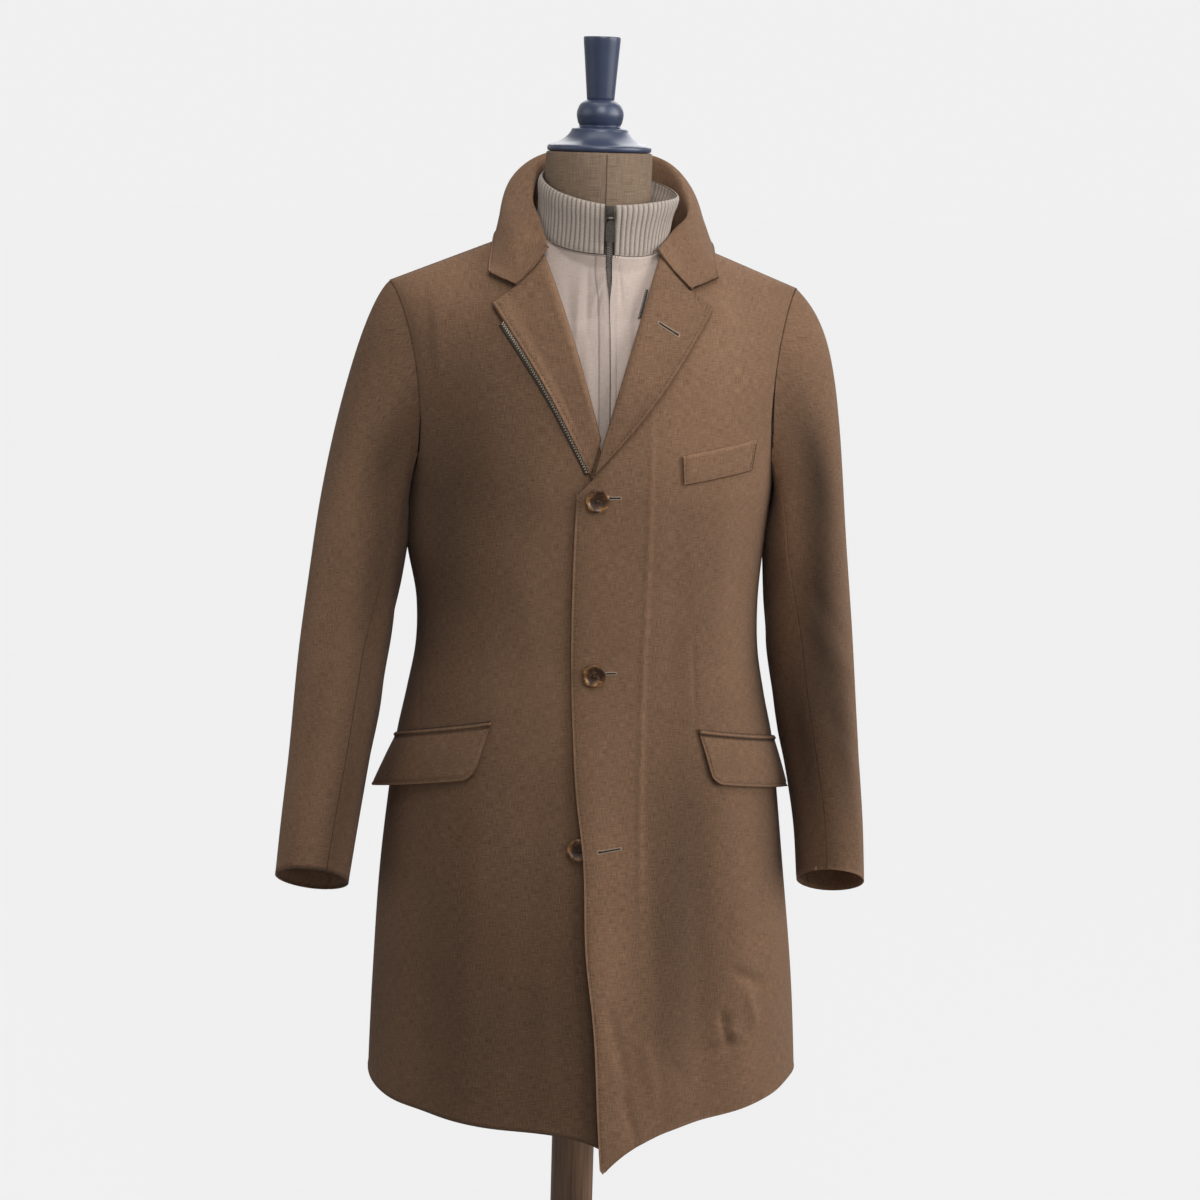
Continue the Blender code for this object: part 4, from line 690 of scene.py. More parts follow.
def front_edge_x(lift, height, side):
    """The edge of a front: its closing edge below the break, then under the lapel to the neck point."""
    if side > 0:
        low_edge = column(LEFT_EDGE, "x", height)
    else:
        share = smooth_step(BODY[0].height, CHEST_HEIGHT, height)
        low_edge = RIGHT_EDGE_HEM + (RIGHT_EDGE_TOP - RIGHT_EDGE_HEM) * share
    tucked = roll_x(lift, side) + side * ROLL_TUCK * smooth_step(BREAK_LIFT, TUCK_FULL_LIFT, lift)
    start = roll_x(NECKLINE_FROM_LIFT, side) + side * ROLL_TUCK
    to_neck = np.clip((lift - NECKLINE_FROM_LIFT) / (1 - NECKLINE_FROM_LIFT), 0, 1)
    neck = start + (side * NECK_POINT - start) * to_neck
    upper = np.where(lift > NECKLINE_FROM_LIFT, neck, tucked)
    below_break = low_edge + (upper - low_edge) * smooth_step(0, BREAK_LIFT, lift)
    return np.where(lift < BREAK_LIFT, below_break, upper)


def overlap_out(x, z):
    """How far the left front stands off: over the right front's edge, and more at its own loose edge."""
    near = 1 - smooth_step(OVERLAP_NEAR, OVERLAP_FAR, x)
    loose = np.clip(1 - (x - column(LEFT_EDGE, "x", z)) / OVERLAP_LOOSE, 0, 1)
    stand_off = column(LEFT_EDGE, "stand_off", z)
    closed = LEFT_EDGE[-1].stand_off
    return closed * near + (stand_off - closed) * ((1 - LOOSE_SHARE) * near + LOOSE_SHARE * loose)


def painted_shading_of(table, x, z):
    """Painted light and shade: how much lighter or darker the wool is drawn, from soft round patches."""
    shade = np.zeros(np.shape(x))
    for patch in table:
        shade = shade + patch.amount * bell(x - patch.x, patch.half_x) * bell(z - patch.z, patch.half_z)
    return shade


def crease_depth(table, x, z):
    """How far soft troughs and ridges carry the cloth out; each fades at its two ends."""
    moved = np.zeros(np.shape(x))
    for crease in table:
        step = np.array((crease.to_x - crease.x, crease.to_z - crease.z))
        length = np.hypot(*step)
        east, north = step / length
        along = ((x - crease.x) * east + (z - crease.z) * north) / length
        off = (z - crease.z) * east - (x - crease.x) * north
        taper = smooth_step(*CREASE_STARTS, along) * (1 - smooth_step(*CREASE_ENDS, along))
        moved = moved + crease.depth * bell(off, crease.width) * taper
    return moved


def front_relief(x, z, side):
    """The facing's lip and the creases on a front's outer face."""
    moved = crease_depth(LEFT_FRONT_CREASES if side > 0 else RIGHT_FRONT_CREASES, x, z)
    if side > 0:
        past_line = x - column(FACING_LINE, "x", z)
        crisp = smooth_step(*FACING_CRISP, z)
        step = 1 - smooth_step(FACING_STEP[0], FACING_STEP[1] + FACING_BLUR * (1 - crisp), past_line)
        lip = crisp * bell(past_line, FACING_LIP_WIDTH) + FACING_STEP_SHARE * step
        moved = moved + FACING_LIP * lip * (1 - smooth_step(*FACING_ENDS, z))
    return moved


def extruded(shape, faces, step):
    """Extrudes faces of a bmesh by a step."""
    raised = bmesh.ops.extrude_face_region(shape, geom=faces)
    lifted = [item for item in raised["geom"] if isinstance(item, bmesh.types.BMVert)]
    bmesh.ops.translate(shape, verts=lifted, vec=step)


def cloth_wall(name, columns, rows, place, rim_round=0.0006):
    """A closed wall of cloth: a flat slab of a grid, laid out by place(u, v, layer), with a rounded rim.

    place gives points, weave coordinates in metres and, where light and shade are painted on the cloth, by how much;
    layer is 0 on the outer face and 1 on the inner one.
    """
    shape = bmesh.new()
    painted_shading_layer = shape.verts.layers.float.new("painted_shading")
    weave_layer = shape.loops.layers.uv.new("weave")
    bmesh.ops.create_grid(shape, x_segments=columns, y_segments=rows, size=0.5)
    extruded(shape, list(shape.faces), (0, 0, 1))
    shape.verts.index_update()
    flat = np.array([vert.co for vert in shape.verts])
    on_rim = np.isclose(np.abs(flat[:, :2]), 0.5, atol=1e-4)
    start, end = np.array([[vert.index for vert in edge.verts] for edge in shape.edges]).T
    level = np.abs(flat[start] - flat[end]) < 1e-4
    is_rim = level[:, 2] & (on_rim[start] & level[:, :2]).any(axis=1)
    rim = [edge for edge, found in zip(shape.edges, is_rim) if found]
    points, weave, *painted_shading = place(flat[:, 0] + 0.5, flat[:, 1] + 0.5, flat[:, 2])
    for vert, point in zip(shape.verts, points):
        vert.co = point
    for vert, share in zip(shape.verts, painted_shading[0] if painted_shading else ()):
        vert[painted_shading_layer] = share
    for face in shape.faces:
        for loop in face.loops:
            loop[weave_layer].uv = weave[loop.vert.index]
    bmesh.ops.bevel(
        shape, geom=rim, offset=rim_round, segments=2, profile=0.5, affect="EDGES", material=-1, clamp_overlap=False
    )
    return mesh_from(name, shape)


def spaced_lifts(v):
    """Rows from the hem to the shoulder ridge, closer together towards both ends of the armhole."""
    above = 0.5 - 0.5 * np.cos(math.pi * np.clip((v - CHEST_ROW) / (1 - CHEST_ROW), 0, 1))
    return np.where(v < CHEST_ROW, v / CHEST_ROW - 1, above)


def flat_height(lift):
    """The height of a lift where the hem has no dip, up to the chest."""
    return np.where(lift < 0, CHEST_HEIGHT + lift * (CHEST_HEIGHT - HEM_HEIGHT), CHEST_HEIGHT)


def front_place(side):
    def place(u, v, layer):
        lift = spaced_lifts(v)
        edge_x = front_edge_x(lift, flat_height(lift), side)
        start = turn_of(edge_x, lift)
        end = side * (math.pi / 2 - armhole_turn(np.clip(lift, 0, 1)))
        turn = start + (end - start) * u
        drop = LEFT_CORNER_DROP if side > 0 else RIGHT_CORNER_DROP
        plain = body_point(turn, lift, 0.0, drop)
        x, z = plain[:, 0], plain[:, 2]
        out = overlap_out(x, z) if side > 0 else np.zeros(len(u))
        hold = smooth_step(*EDGE_HOLD, u) * (1 - smooth_step(*SIDE_HOLD, u))
        out = out + front_relief(x, z, side) * hold
        groove = bell(np.abs(x - edge_x) - EDGE_STITCH_IN, EDGE_GROOVE_WIDTH) * (lift < BREAK_LIFT)
        out = out - EDGE_GROOVE * groove * (layer < 0.5)
        points = body_point(turn, lift, out - CLOTH_WALL * layer, drop) + np.array([0.0, -SEAM / 2, 0.0])
        painted_shading = painted_shading_of(LEFT_FRONT_PAINTED_SHADING if side > 0 else RIGHT_FRONT_PAINTED_SHADING, x, z)
        return points, np.stack([turn * WEAVE_RADIUS, points[:, 2]], axis=-1), painted_shading

    return place


for side, label in SIDES:
    mesh = cloth_wall(f"front_{label}_cloth", 132, 200, front_place(side))
    front = piece_of(mesh, coat_wool, "coat_cloth", f"front_{label}")


# The coat's back: two halves of the same wool with a seam down the middle.
# They hang from the shoulder seams and the back neck, in long soft folds below the waist.
BACK_NECK_LIFT = 0.828
BACK_NECK_CURVE = 0.6
BACK_CREASES = [
    Crease(0.060, 1.460, 0.150, 1.430, 0.012, -0.0014),
    Crease(0.170, 1.330, 0.140, 1.170, 0.014, 0.0020),
    Crease(0.150, 1.300, 0.110, 1.140, 0.012, -0.0018),
    Crease(0.040, 1.060, 0.150, 1.085, 0.012, -0.0014),
    Crease(0.030, 1.030, 0.130, 1.020, 0.014, 0.0014),
    Crease(0.050, 0.960, 0.060, 0.600, 0.018, 0.0026),
    Crease(0.098, 0.980, 0.118, 0.590, 0.016, -0.0028),
    Crease(0.150, 0.930, 0.172, 0.600, 0.018, 0.0024),
    Crease(0.022, 0.800, 0.030, 0.600, 0.010, -0.0014),
]
BACK_SHIFT = 0.006
BACK_HOLD = (0.0, 0.06)


def back_place(side):
    def place(u, v, layer):
        lift = spaced_lifts(v)
        neck_turn = math.pi - turn_of(NECK_POINT, 1.0)
        start = math.pi / 2 + armhole_turn(np.clip(lift, 0, 1))
        past_neck = np.clip((lift - BACK_NECK_LIFT) / (1 - BACK_NECK_LIFT), 0, 1)
        end = math.pi + (neck_turn - math.pi) * past_neck**BACK_NECK_CURVE
        turn = side * (start + (end - start) * u)
        plain = body_point(turn, lift)
        hold = smooth_step(*BACK_HOLD, u) * (1 - smooth_step(*SIDE_HOLD, u))
        shift = BACK_SHIFT if side < 0 else 0.0
        out = crease_depth(BACK_CREASES, np.abs(plain[:, 0]) + shift, plain[:, 2] + 3 * shift) * hold
        points = body_point(turn, lift, out - CLOTH_WALL * layer) + np.array([side * SEAM / 2, SEAM / 2, 0.0])
        return points, np.stack([turn * WEAVE_RADIUS, points[:, 2]], axis=-1)

    return place


for side, label in SIDES:
    mesh = cloth_wall(f"back_{label}_cloth", 96, 160, back_place(side))
    back = piece_of(mesh, coat_wool, "coat_cloth", f"back_{label}")


# The sleeves: a top sleeve and an under sleeve, joined by a front and a back seam.
# The head is set into the armhole with a little fullness; the empty arm hangs slightly bent.
Ring = namedtuple("Ring", "height outer inner front back tilt lean")
RIGHT_SLEEVE = [
    Ring(1.170, 0.2995, 0.2060, -0.082, 0.066, 0.00, 0.00),
    Ring(1.055, 0.3150, 0.2190, -0.084, 0.060, 0.08, 0.00),
    Ring(0.930, 0.3275, 0.2390, -0.090, 0.042, 0.22, 0.02),
    Ring(0.860, 0.3350, 0.2510, -0.096, 0.026, 0.40, 0.07),
    Ring(0.803, 0.3405, 0.2605, -0.101, 0.012, 0.55, 0.12),
]
LEFT_SLEEVE = [
    Ring(1.170, 0.2830, 0.2000, -0.080, 0.066, 0.00, 0.00),
    Ring(1.055, 0.2955, 0.2035, -0.084, 0.060, 0.08, 0.00),
    Ring(0.930, 0.3075, 0.2260, -0.090, 0.042, 0.22, -0.03),
    Ring(0.860, 0.3130, 0.2375, -0.096, 0.026, 0.40, -0.09),
    Ring(0.798, 0.3160, 0.2420, -0.101, 0.012, 0.55, -0.15),
]
CAP_FULLNESS = 0.10
LEFT_CAP_EXTRA = 0.15
ARMHOLE_STEPS = 11
ARMHOLE_GAP = 0.0004
UNDERARM_LAP = 0.0026
ARMHOLE_HALF_WIDTH = 0.060
SEAM_STEP = 7
CAP_LEAVES = (0.74, -0.67)
CAP_ARRIVE_LENGTH = 0.50
CAP_ROLL = 0.004
SEAM_TURNED_IN = 0.0010
SEAM_ROUND = 0.022
SEAM_INSIDE = 0.34
SEAM_FLAT = (0.05, 0.20)
CAP_SHARE = 0.44
UNDERARM_SWELL = 0.0085
UNDERARM_FROM = {1: (0.0, 0.32), -1: (-0.14, 0.05)}
UNDERARM_ENDS = (0.36, 0.70)
SEAM_CROWDING = 0.9
SEAM_COMES_OUT = (0.40, 0.62)
SLEEVE_RIM = 0.0002
CAP_HOLD = (0.02, 0.16)
LAP_FADE = (0.60, 0.25)
RING_STEP = 0.02
SLEEVE_SHIFT = 0.004
SLEEVE_RADIUS = 0.055
# Painted light and shade on the sleeves: soft patches where the wool is drawn lighter or darker.
RIGHT_SLEEVE_PAINTED_SHADING = [
    Fade(0.035, 0.840, 0.060, 0.20, 0.28),
    Fade(0.060, 1.350, 0.070, 0.10, -0.24),
    Fade(0.092, 1.280, 0.022, 0.06, -0.36),
    Fade(0.114, 1.160, 0.028, 0.14, -0.48),
    Fade(0.114, 0.880, 0.028, 0.14, -0.52),
    Fade(0.048, 1.120, 0.028, 0.15, 0.36),
]
LEFT_SLEEVE_PAINTED_SHADING = [
    Fade(0.078, 1.050, 0.036, 0.17, -0.50),
    Fade(0.088, 1.150, 0.022, 0.10, -0.30),
    Fade(0.072, 1.270, 0.022, 0.075, -0.60),
    Fade(0.122, 1.220, 0.016, 0.07, 0.50),
    Fade(0.125, 0.970, 0.018, 0.08, -0.45),
    Fade(0.066, 0.960, 0.022, 0.09, -0.25),
]
SLEEVE_CREASES = [
    Crease(math.radians(turn) * SLEEVE_RADIUS, z, math.radians(to_turn) * SLEEVE_RADIUS, to_z, width, depth)
    for turn, z, to_turn, to_z, width, depth in (
        (55, 1.380, 78, 1.210, 0.011, -0.0018),
        (35, 1.330, 48, 1.160, 0.014, 0.0016),
        (104, 1.125, 48, 1.060, 0.010, -0.0021),
        (100, 1.080, 40, 1.020, 0.011, 0.0016),
        (92, 0.990, 35, 0.930, 0.010, -0.0015),
        (10, 1.300, 20, 1.000, 0.018, 0.0018),
        (-40, 1.340, -70, 1.150, 0.014, -0.0020),
        (-95, 1.110, -35, 1.050, 0.011, 0.0018),
        (-90, 1.050, -45, 0.960, 0.012, -0.0020),
        (62, 0.905, 58, 0.815, 0.010, 0.0012),
        (150, 1.150, 200, 1.060, 0.011, -0.0020),
        (165, 1.020, 210, 0.920, 0.012, 0.0018),
    )
]


def armhole_loop(turn_round, side, out):
    """The armhole's edge seen from the sleeve: 0 at the shoulder point, a right angle at the front."""
    lift = 0.5 + 0.5 * np.cos(turn_round)
    reach = armhole_turn(lift) * np.sign(np.sin(turn_round)) * (1 - ARMHOLE_GAP / ARMHOLE_HALF_WIDTH)
    apart = np.zeros((len(turn_round), 3))
    apart[:, 0] = side * ARMHOLE_GAP
    apart[:, 2] = -ARMHOLE_GAP * np.cos(turn_round)
    lap = UNDERARM_LAP * smooth_step(*LAP_FADE, lift)
    return body_point(side * (math.pi / 2 - reach), lift, out + lap) + apart


def sleeve_ring(table, height, turn_round, side, inset):
    outer = column(table, "outer", height) - inset
    inner = column(table, "inner", height) + inset
    front = column(table, "front", height) + inset
    back = column(table, "back", height) - inset
    across = (outer + inner) / 2 + (outer - inner) / 2 * np.cos(turn_round)
    middle = (front + back) / 2
    along = middle - (back - front) / 2 * np.sin(turn_round)
    lean = column(table, "lean", height) * (outer - inner) / 2 * np.cos(turn_round)
    up = height + column(table, "tilt", height) * (middle - along) + lean
    return np.stack([side * across, along, up], axis=-1)


def sleeve_surface(table, turn_round, v, side, inset, swell=0.0):
    """A point of a sleeve: v goes from the armhole over the sleeve head and down to the cuff."""
    seam = armhole_loop(turn_round, side, -inset)
    inset = inset - swell
    first = table[0].height
    upper_arm = sleeve_ring(table, np.full(len(v), first), turn_round, side, inset)
    below = sleeve_ring(table, np.full(len(v), first - RING_STEP), turn_round, side, inset)
    reach = np.linalg.norm(seam - upper_arm, axis=-1, keepdims=True)
    extra = LEFT_CAP_EXTRA if side > 0 else 0.0
    fullness = CAP_FULLNESS + extra * np.clip(np.cos(turn_round), 0, 1)[:, None]
    leave = np.array([side * CAP_LEAVES[0], 0.0, CAP_LEAVES[1]]) * (fullness * reach + CAP_ROLL)
    leave[:, 0] = leave[:, 0] * (1 - np.clip(-np.cos(turn_round), 0, 1))
    arrive = (upper_arm - below) / np.linalg.norm(upper_arm - below, axis=-1, keepdims=True)
    arrive = arrive * CAP_ARRIVE_LENGTH * reach
    t = np.clip(v / CAP_SHARE, 0, 1)[:, None]
    head = (1 - t) ** 3 * seam + 3 * (1 - t) ** 2 * t * (seam + leave)
    head = head + 3 * (1 - t) * t**2 * (upper_arm + arrive) + t**3 * upper_arm
    height = first + (table[-1].height - first) * np.clip((v - CAP_SHARE) / (1 - CAP_SHARE), 0, 1)
    arm = sleeve_ring(table, height, turn_round, side, inset)
    return np.where((v < CAP_SHARE)[:, None], head, arm)


def sleeve_place(table, is_top, side):
    def place(u, v, layer):
        inside = 1 - smooth_step(*SEAM_COMES_OUT, v)
        seam_turn = SEAM_STEP * math.pi / ARMHOLE_STEPS + SEAM_INSIDE * inside
        share = u - SEAM_CROWDING * np.sin(2 * math.pi * u) / (2 * math.pi)
        reach = 2 * seam_turn if is_top else 2 * math.pi - 2 * seam_turn
        turn_round = (-seam_turn if is_top else seam_turn) + reach * share
        off_seam = reach * np.minimum(share, 1 - share)
        plain = sleeve_surface(table, turn_round, v, side, 0.0)
        arc = turn_round * SLEEVE_RADIUS
        shift = SLEEVE_SHIFT if side > 0 else 0.0
        relief = crease_depth(SLEEVE_CREASES, arc + shift, plain[:, 2] - 3 * shift)
        hold = smooth_step(*SEAM_FLAT, off_seam) * smooth_step(*CAP_HOLD, v)
        turned_in = SEAM_TURNED_IN * (1 - smooth_step(0.0, SEAM_ROUND, off_seam))
        below_arm = smooth_step(*UNDERARM_FROM[side], v) * (1 - smooth_step(*UNDERARM_ENDS, v))
        swell = UNDERARM_SWELL * below_arm * np.clip(-np.cos(turn_round), 0, 1) ** 2
        inset = CLOTH_WALL * layer + turned_in - relief * hold
        points = sleeve_surface(table, turn_round, v, side, inset, swell)
        painted_shading = painted_shading_of(LEFT_SLEEVE_PAINTED_SHADING if side > 0 else RIGHT_SLEEVE_PAINTED_SHADING, arc, points[:, 2])
        return points, np.stack([arc, points[:, 2]], axis=-1), painted_shading

    return place


Cut = namedtuple("Cut", "columns flat area")
SLEEVE_CUTS = {"top_sleeve": Cut(84, (0.26, 0.68), 0.145), "under_sleeve": Cut(56, (0.17, 0.54), 0.075)}
for side, label in SIDES:
    table = LEFT_SLEEVE if side > 0 else RIGHT_SLEEVE
    for kind, cut in SLEEVE_CUTS.items():
        place = sleeve_place(table, kind == "top_sleeve", side)
        mesh = cloth_wall(f"{kind}_{label}_cloth", cut.columns, 120, place, SLEEVE_RIM)
        sleeve = piece_of(mesh, coat_wool, "coat_cloth", f"{kind}_{label}")


# The lapels: each front turned back along a soft roll, faced with the same wool.
# The edge is pick stitched, and the notch is cut where the collar joins.
LAPEL_WALL = 0.0026
LAPEL_LAID_ON = 0.0006
LAPEL_EDGE_LIFT = 0.0040
LAPEL_SIDE_PAINTED_LIGHT = 0.10
Lapel = namedtuple("Lapel", "break_x break_z tip_x tip_z notch_x notch_z belly")
LEFT_LAPEL = Lapel(-0.0127, 1.2688, 0.1175, 1.4324, 0.0929, 1.4535, 0.004)
RIGHT_LAPEL = Lapel(-0.0140, 1.2710, -0.1140, 1.4351, -0.0886, 1.4551, -0.003)
NOTCH_SHARE = 0.58
NOTCH_FROM = 0.75
LAPEL_BREAK_CLEAR = 0.012
LAPELS_APART = 0.004
ROLL_PUFF = 0.0050
ROLL_SHARE = 0.16
ROLL_COLUMNS = 0.35
ROLL_CROWDING = 1.6
LAPEL_FOOT = 0.012
LAPEL_ROLLS_FROM = (0.05, 0.45)
LAPEL_LIFTS_FROM = (0.70, 1.0)
ROLL_FALL = 1.5
LAPEL_STITCHED_FROM = (0.10, 0.25)
PICK_GROOVE_WIDTH = 0.0013
EDGE_PAINTED_HIGHLIGHT = 0.30
EDGE_HIGHLIGHT_WIDTH = 0.0014
FOLDED_RIM = 0.0008
LAPELS = {1: LEFT_LAPEL, -1: RIGHT_LAPEL}


def lapel_place(lapel, side, share, along):
    """x and z of a lapel point: share goes from roll line to outer edge, along from break to gorge."""
    lowest = BREAK_LIFT + LAPEL_BREAK_CLEAR
    lift = lowest + (GORGE_LIFT - lowest) * along
    line_x = roll_x(lift, side)
    if side < 0:
        line_x = np.minimum(line_x, roll_x(lift, 1) - LAPELS_APART)
    line_z = CHEST_HEIGHT + lift * (ridge_height(line_x) - CHEST_HEIGHT)
    belly = lapel.belly * np.sin(math.pi * along)
    edge_x = lapel.break_x + (lapel.tip_x - lapel.break_x) * along + side * belly
    edge_z = lapel.break_z + (lapel.tip_z - lapel.break_z) * along - belly
    reach = np.where(share < NOTCH_SHARE, NOTCH_SHARE, 1 - NOTCH_SHARE)
    bend = smooth_step(NOTCH_FROM, 1.0, along) * (1 - np.abs(share - NOTCH_SHARE) / reach)
    notch_x = lapel.notch_x - (line_x + (edge_x - line_x) * NOTCH_SHARE)
    notch_z = lapel.notch_z - (line_z + (edge_z - line_z) * NOTCH_SHARE)
    x = line_x + (edge_x - line_x) * share + bend * notch_x
    z = line_z + (edge_z - line_z) * share + bend * notch_z
    return x, z


def on_front(x, z, side, out):
    """A point laid on a front's outer face, out from it."""
    base = overlap_out(x, z) if side > 0 else 0.0
    lift = lift_of(x, z)
    return body_point(turn_of(x, lift, base + out), lift, base + out)


def lapel_rise(share, along):
    rolled = smooth_step(*LAPEL_ROLLS_FROM, along)
    nose = np.clip(share / ROLL_SHARE, 0, 1)
    falling = np.clip((share - ROLL_SHARE) / (1 - ROLL_SHARE), 0, 1)
    puff = np.where(share < ROLL_SHARE, np.sqrt(nose * (2 - nose)), (1 - falling) ** ROLL_FALL)
    lifted = LAPEL_EDGE_LIFT * smooth_step(*LAPEL_LIFTS_FROM, share) * rolled
    return LAPEL_LAID_ON + ROLL_PUFF * puff * rolled + lifted


def lapel_width(lapel, side, along):
    """How wide a lapel is, from its roll line to its outer edge."""
    return np.hypot(lapel.tip_x - roll_x(GORGE_LIFT, side), lapel.tip_z - lapel.notch_z) * along + LAPEL_FOOT


def lapel_cloth(lapel, side):
    def place(u, v, layer):
        rolled = ROLL_SHARE * (u / ROLL_COLUMNS) ** ROLL_CROWDING
        laid = ROLL_SHARE + (1 - ROLL_SHARE) * (u - ROLL_COLUMNS) / (1 - ROLL_COLUMNS)
        share = np.where(u < ROLL_COLUMNS, rolled, laid)
        x, z = lapel_place(lapel, side, share, v)
        in_edge = (1 - share) * lapel_width(lapel, side, v)
        stitched = smooth_step(*LAPEL_STITCHED_FROM, v)
        groove = bell(in_edge - EDGE_STITCH_IN, PICK_GROOVE_WIDTH) * stitched
        rise = lapel_rise(share, v) + LAPEL_WALL * (1 - layer) - EDGE_GROOVE * groove * (1 - layer)
        # Painted light and shade: a painted highlight along the stitched edge, with the left lapel drawn darker and
        # the right one lighter.
        painted_shading = EDGE_PAINTED_HIGHLIGHT * bell(in_edge, EDGE_HIGHLIGHT_WIDTH) * stitched - LAPEL_SIDE_PAINTED_LIGHT * side
        return on_front(x, z, side, rise), np.stack([x, z], axis=-1), painted_shading

    return place


for side, label in SIDES:
    mesh = cloth_wall(f"lapel_{label}_cloth", 56, 88, lapel_cloth(LAPELS[side], side), FOLDED_RIM)
    piece = piece_of(mesh, coat_wool, "coat_cloth", f"lapel_{label}")


# The collar: one folded cloth that stands round the neck and falls over the shoulders.
# It is interlined, so that its fold stays round and its points lie flat at the notch.
Station = namedtuple("Station", "fold middle edge")
COLLAR = [
    Station((-0.0585, -0.0660, 1.4965), (-0.0900, -0.0708, 1.4585), (-0.1170, -0.0490, 1.4700)),
    Station((-0.0650, -0.0280, 1.5245), (-0.0905, -0.0340, 1.5100), (-0.1125, -0.0210, 1.4890)),
    Station((-0.0700, 0.0100, 1.5480), (-0.0965, 0.0250, 1.5400), (-0.1060, 0.0200, 1.5080)),
    Station((-0.0530, 0.0690, 1.5865), (-0.0775, 0.0740, 1.5700), (-0.0900, 0.0760, 1.5050)),
    Station((0.0060, 0.0890, 1.5970), (0.0040, 0.1060, 1.5700), (0.0000, 0.1090, 1.5090)),
    Station((0.0770, 0.0730, 1.5850), (0.0965, 0.0770, 1.5630), (0.1010, 0.0760, 1.5040)),
    Station((0.1000, 0.0120, 1.5380), (0.1145, 0.0230, 1.5290), (0.1235, 0.0200, 1.5030)),
    Station((0.0790, -0.0280, 1.5145), (0.1020, -0.0340, 1.5020), (0.1245, -0.0210, 1.4845)),
    Station((0.0595, -0.0660, 1.4955), (0.0935, -0.0710, 1.4575), (0.1258, -0.0470, 1.4700)),
]
COLLAR_FROM_LIFT = 0.862
COLLAR_SEAM_LAP = 0.003
COLLAR_SEAM_OUT = 0.0041
COLLAR_BACK_LAP = 0.009
COLLAR_WALL = 0.0026
COLLAR_STATIONS = 145
COLLAR_STEPS = np.concatenate(
    [np.linspace(0, 1.5, 14), np.linspace(1.5, 2.5, 26)[1:], np.linspace(2.5, 4.0, 30)[1:]]
)
COLLAR_LAST = len(COLLAR) - 1
COLLAR_GROOVE_WIDTH = 0.0014
COLLAR_STIFF_END = 1.0
COLLAR_STIFF_FROM = (2.2, 3.0)
COLLAR_EDGE_PAINTED_HIGHLIGHT = 0.25
COLLAR_PAINTED_LIGHT = 0.05
COLLAR_PAINTED_LIGHT_SLOPE = 0.90


def spline(points, at):
    """Points on a smooth curve through the given ones; at counts them from 0."""
    points = np.asarray(points, float)
    at = np.asarray(at, float)
    padded = np.concatenate([[2 * points[0] - points[1]], points, [2 * points[-1] - points[-2]]])
    first = np.clip(np.floor(at).astype(int), 0, len(points) - 2)
    t = (at - first)[:, None]
    before, start, end, after = (padded[first + step] for step in range(4))
    cubic = (3 * start - before - 3 * end + after) * t**3
    return 0.5 * (2 * start + (end - before) * t + (2 * before - 5 * start + 4 * end - after) * t**2 + cubic)


def run_of(points):
    """How far along a line of points each one lies."""
    return np.concatenate([[0], np.cumsum(np.linalg.norm(np.diff(points, axis=0), axis=-1))])


def along_line(at, run, points):
    """Places on the straight lines between points that lie at run."""
    return np.stack([np.interp(at, run, points[:, axis]) for axis in range(points.shape[1])], axis=-1)


def collar_seam(at):
    """The line on which the collar stands, along the fronts' necklines and round the back."""
    side = -1.0 if at < COLLAR_LAST / 2 else 1.0
    inward = min(at, COLLAR_LAST - at)
    if inward <= 2:
        lift = COLLAR_FROM_LIFT + (1 - COLLAR_FROM_LIFT) * inward / 2
        x = front_edge_x(lift, CHEST_HEIGHT, side) + side * COLLAR_SEAM_LAP
        return body_point(turn_of(x, lift), lift, COLLAR_SEAM_OUT)
    neck_turn = math.pi - turn_of(NECK_POINT + COLLAR_SEAM_LAP, 1.0)
    share = (inward - 2) / 2
    lift = BACK_NECK_LIFT + (1 - BACK_NECK_LIFT) * (1 - share) ** (1 / BACK_NECK_CURVE) - COLLAR_BACK_LAP * share
    return body_point(side * (neck_turn + (math.pi - neck_turn) * share), lift, COLLAR_SEAM_OUT)


collar_at = np.linspace(0, COLLAR_LAST, COLLAR_STATIONS)
collar_lines = [spline([getattr(station, part) for station in COLLAR], collar_at) for part in Station._fields]
collar_rows = []
for place_at, fold, middle, edge in zip(collar_at, *collar_lines):
    seam = collar_seam(place_at)
    corners = np.array([seam, (seam + fold) / 2, fold, middle, edge])
    curved = spline(corners, COLLAR_STEPS)
    straight = along_line(COLLAR_STEPS, np.arange(len(corners)), corners)
    stiff = 1 - smooth_step(0, COLLAR_STIFF_END, min(place_at, COLLAR_LAST - place_at))
    stiff = stiff * smooth_step(*COLLAR_STIFF_FROM, COLLAR_STEPS)
    collar_rows.append(curved + (straight - curved) * stiff[:, None])
collar_middle = np.stack(collar_rows)
collar_normal = np.cross(np.gradient(collar_middle, axis=0), np.gradient(collar_middle, axis=1))
collar_normal /= np.linalg.norm(collar_normal, axis=-1, keepdims=True)
collar_run = run_of(collar_middle[:, -1])
collar_fall = run_of(collar_middle[COLLAR_STATIONS // 2])


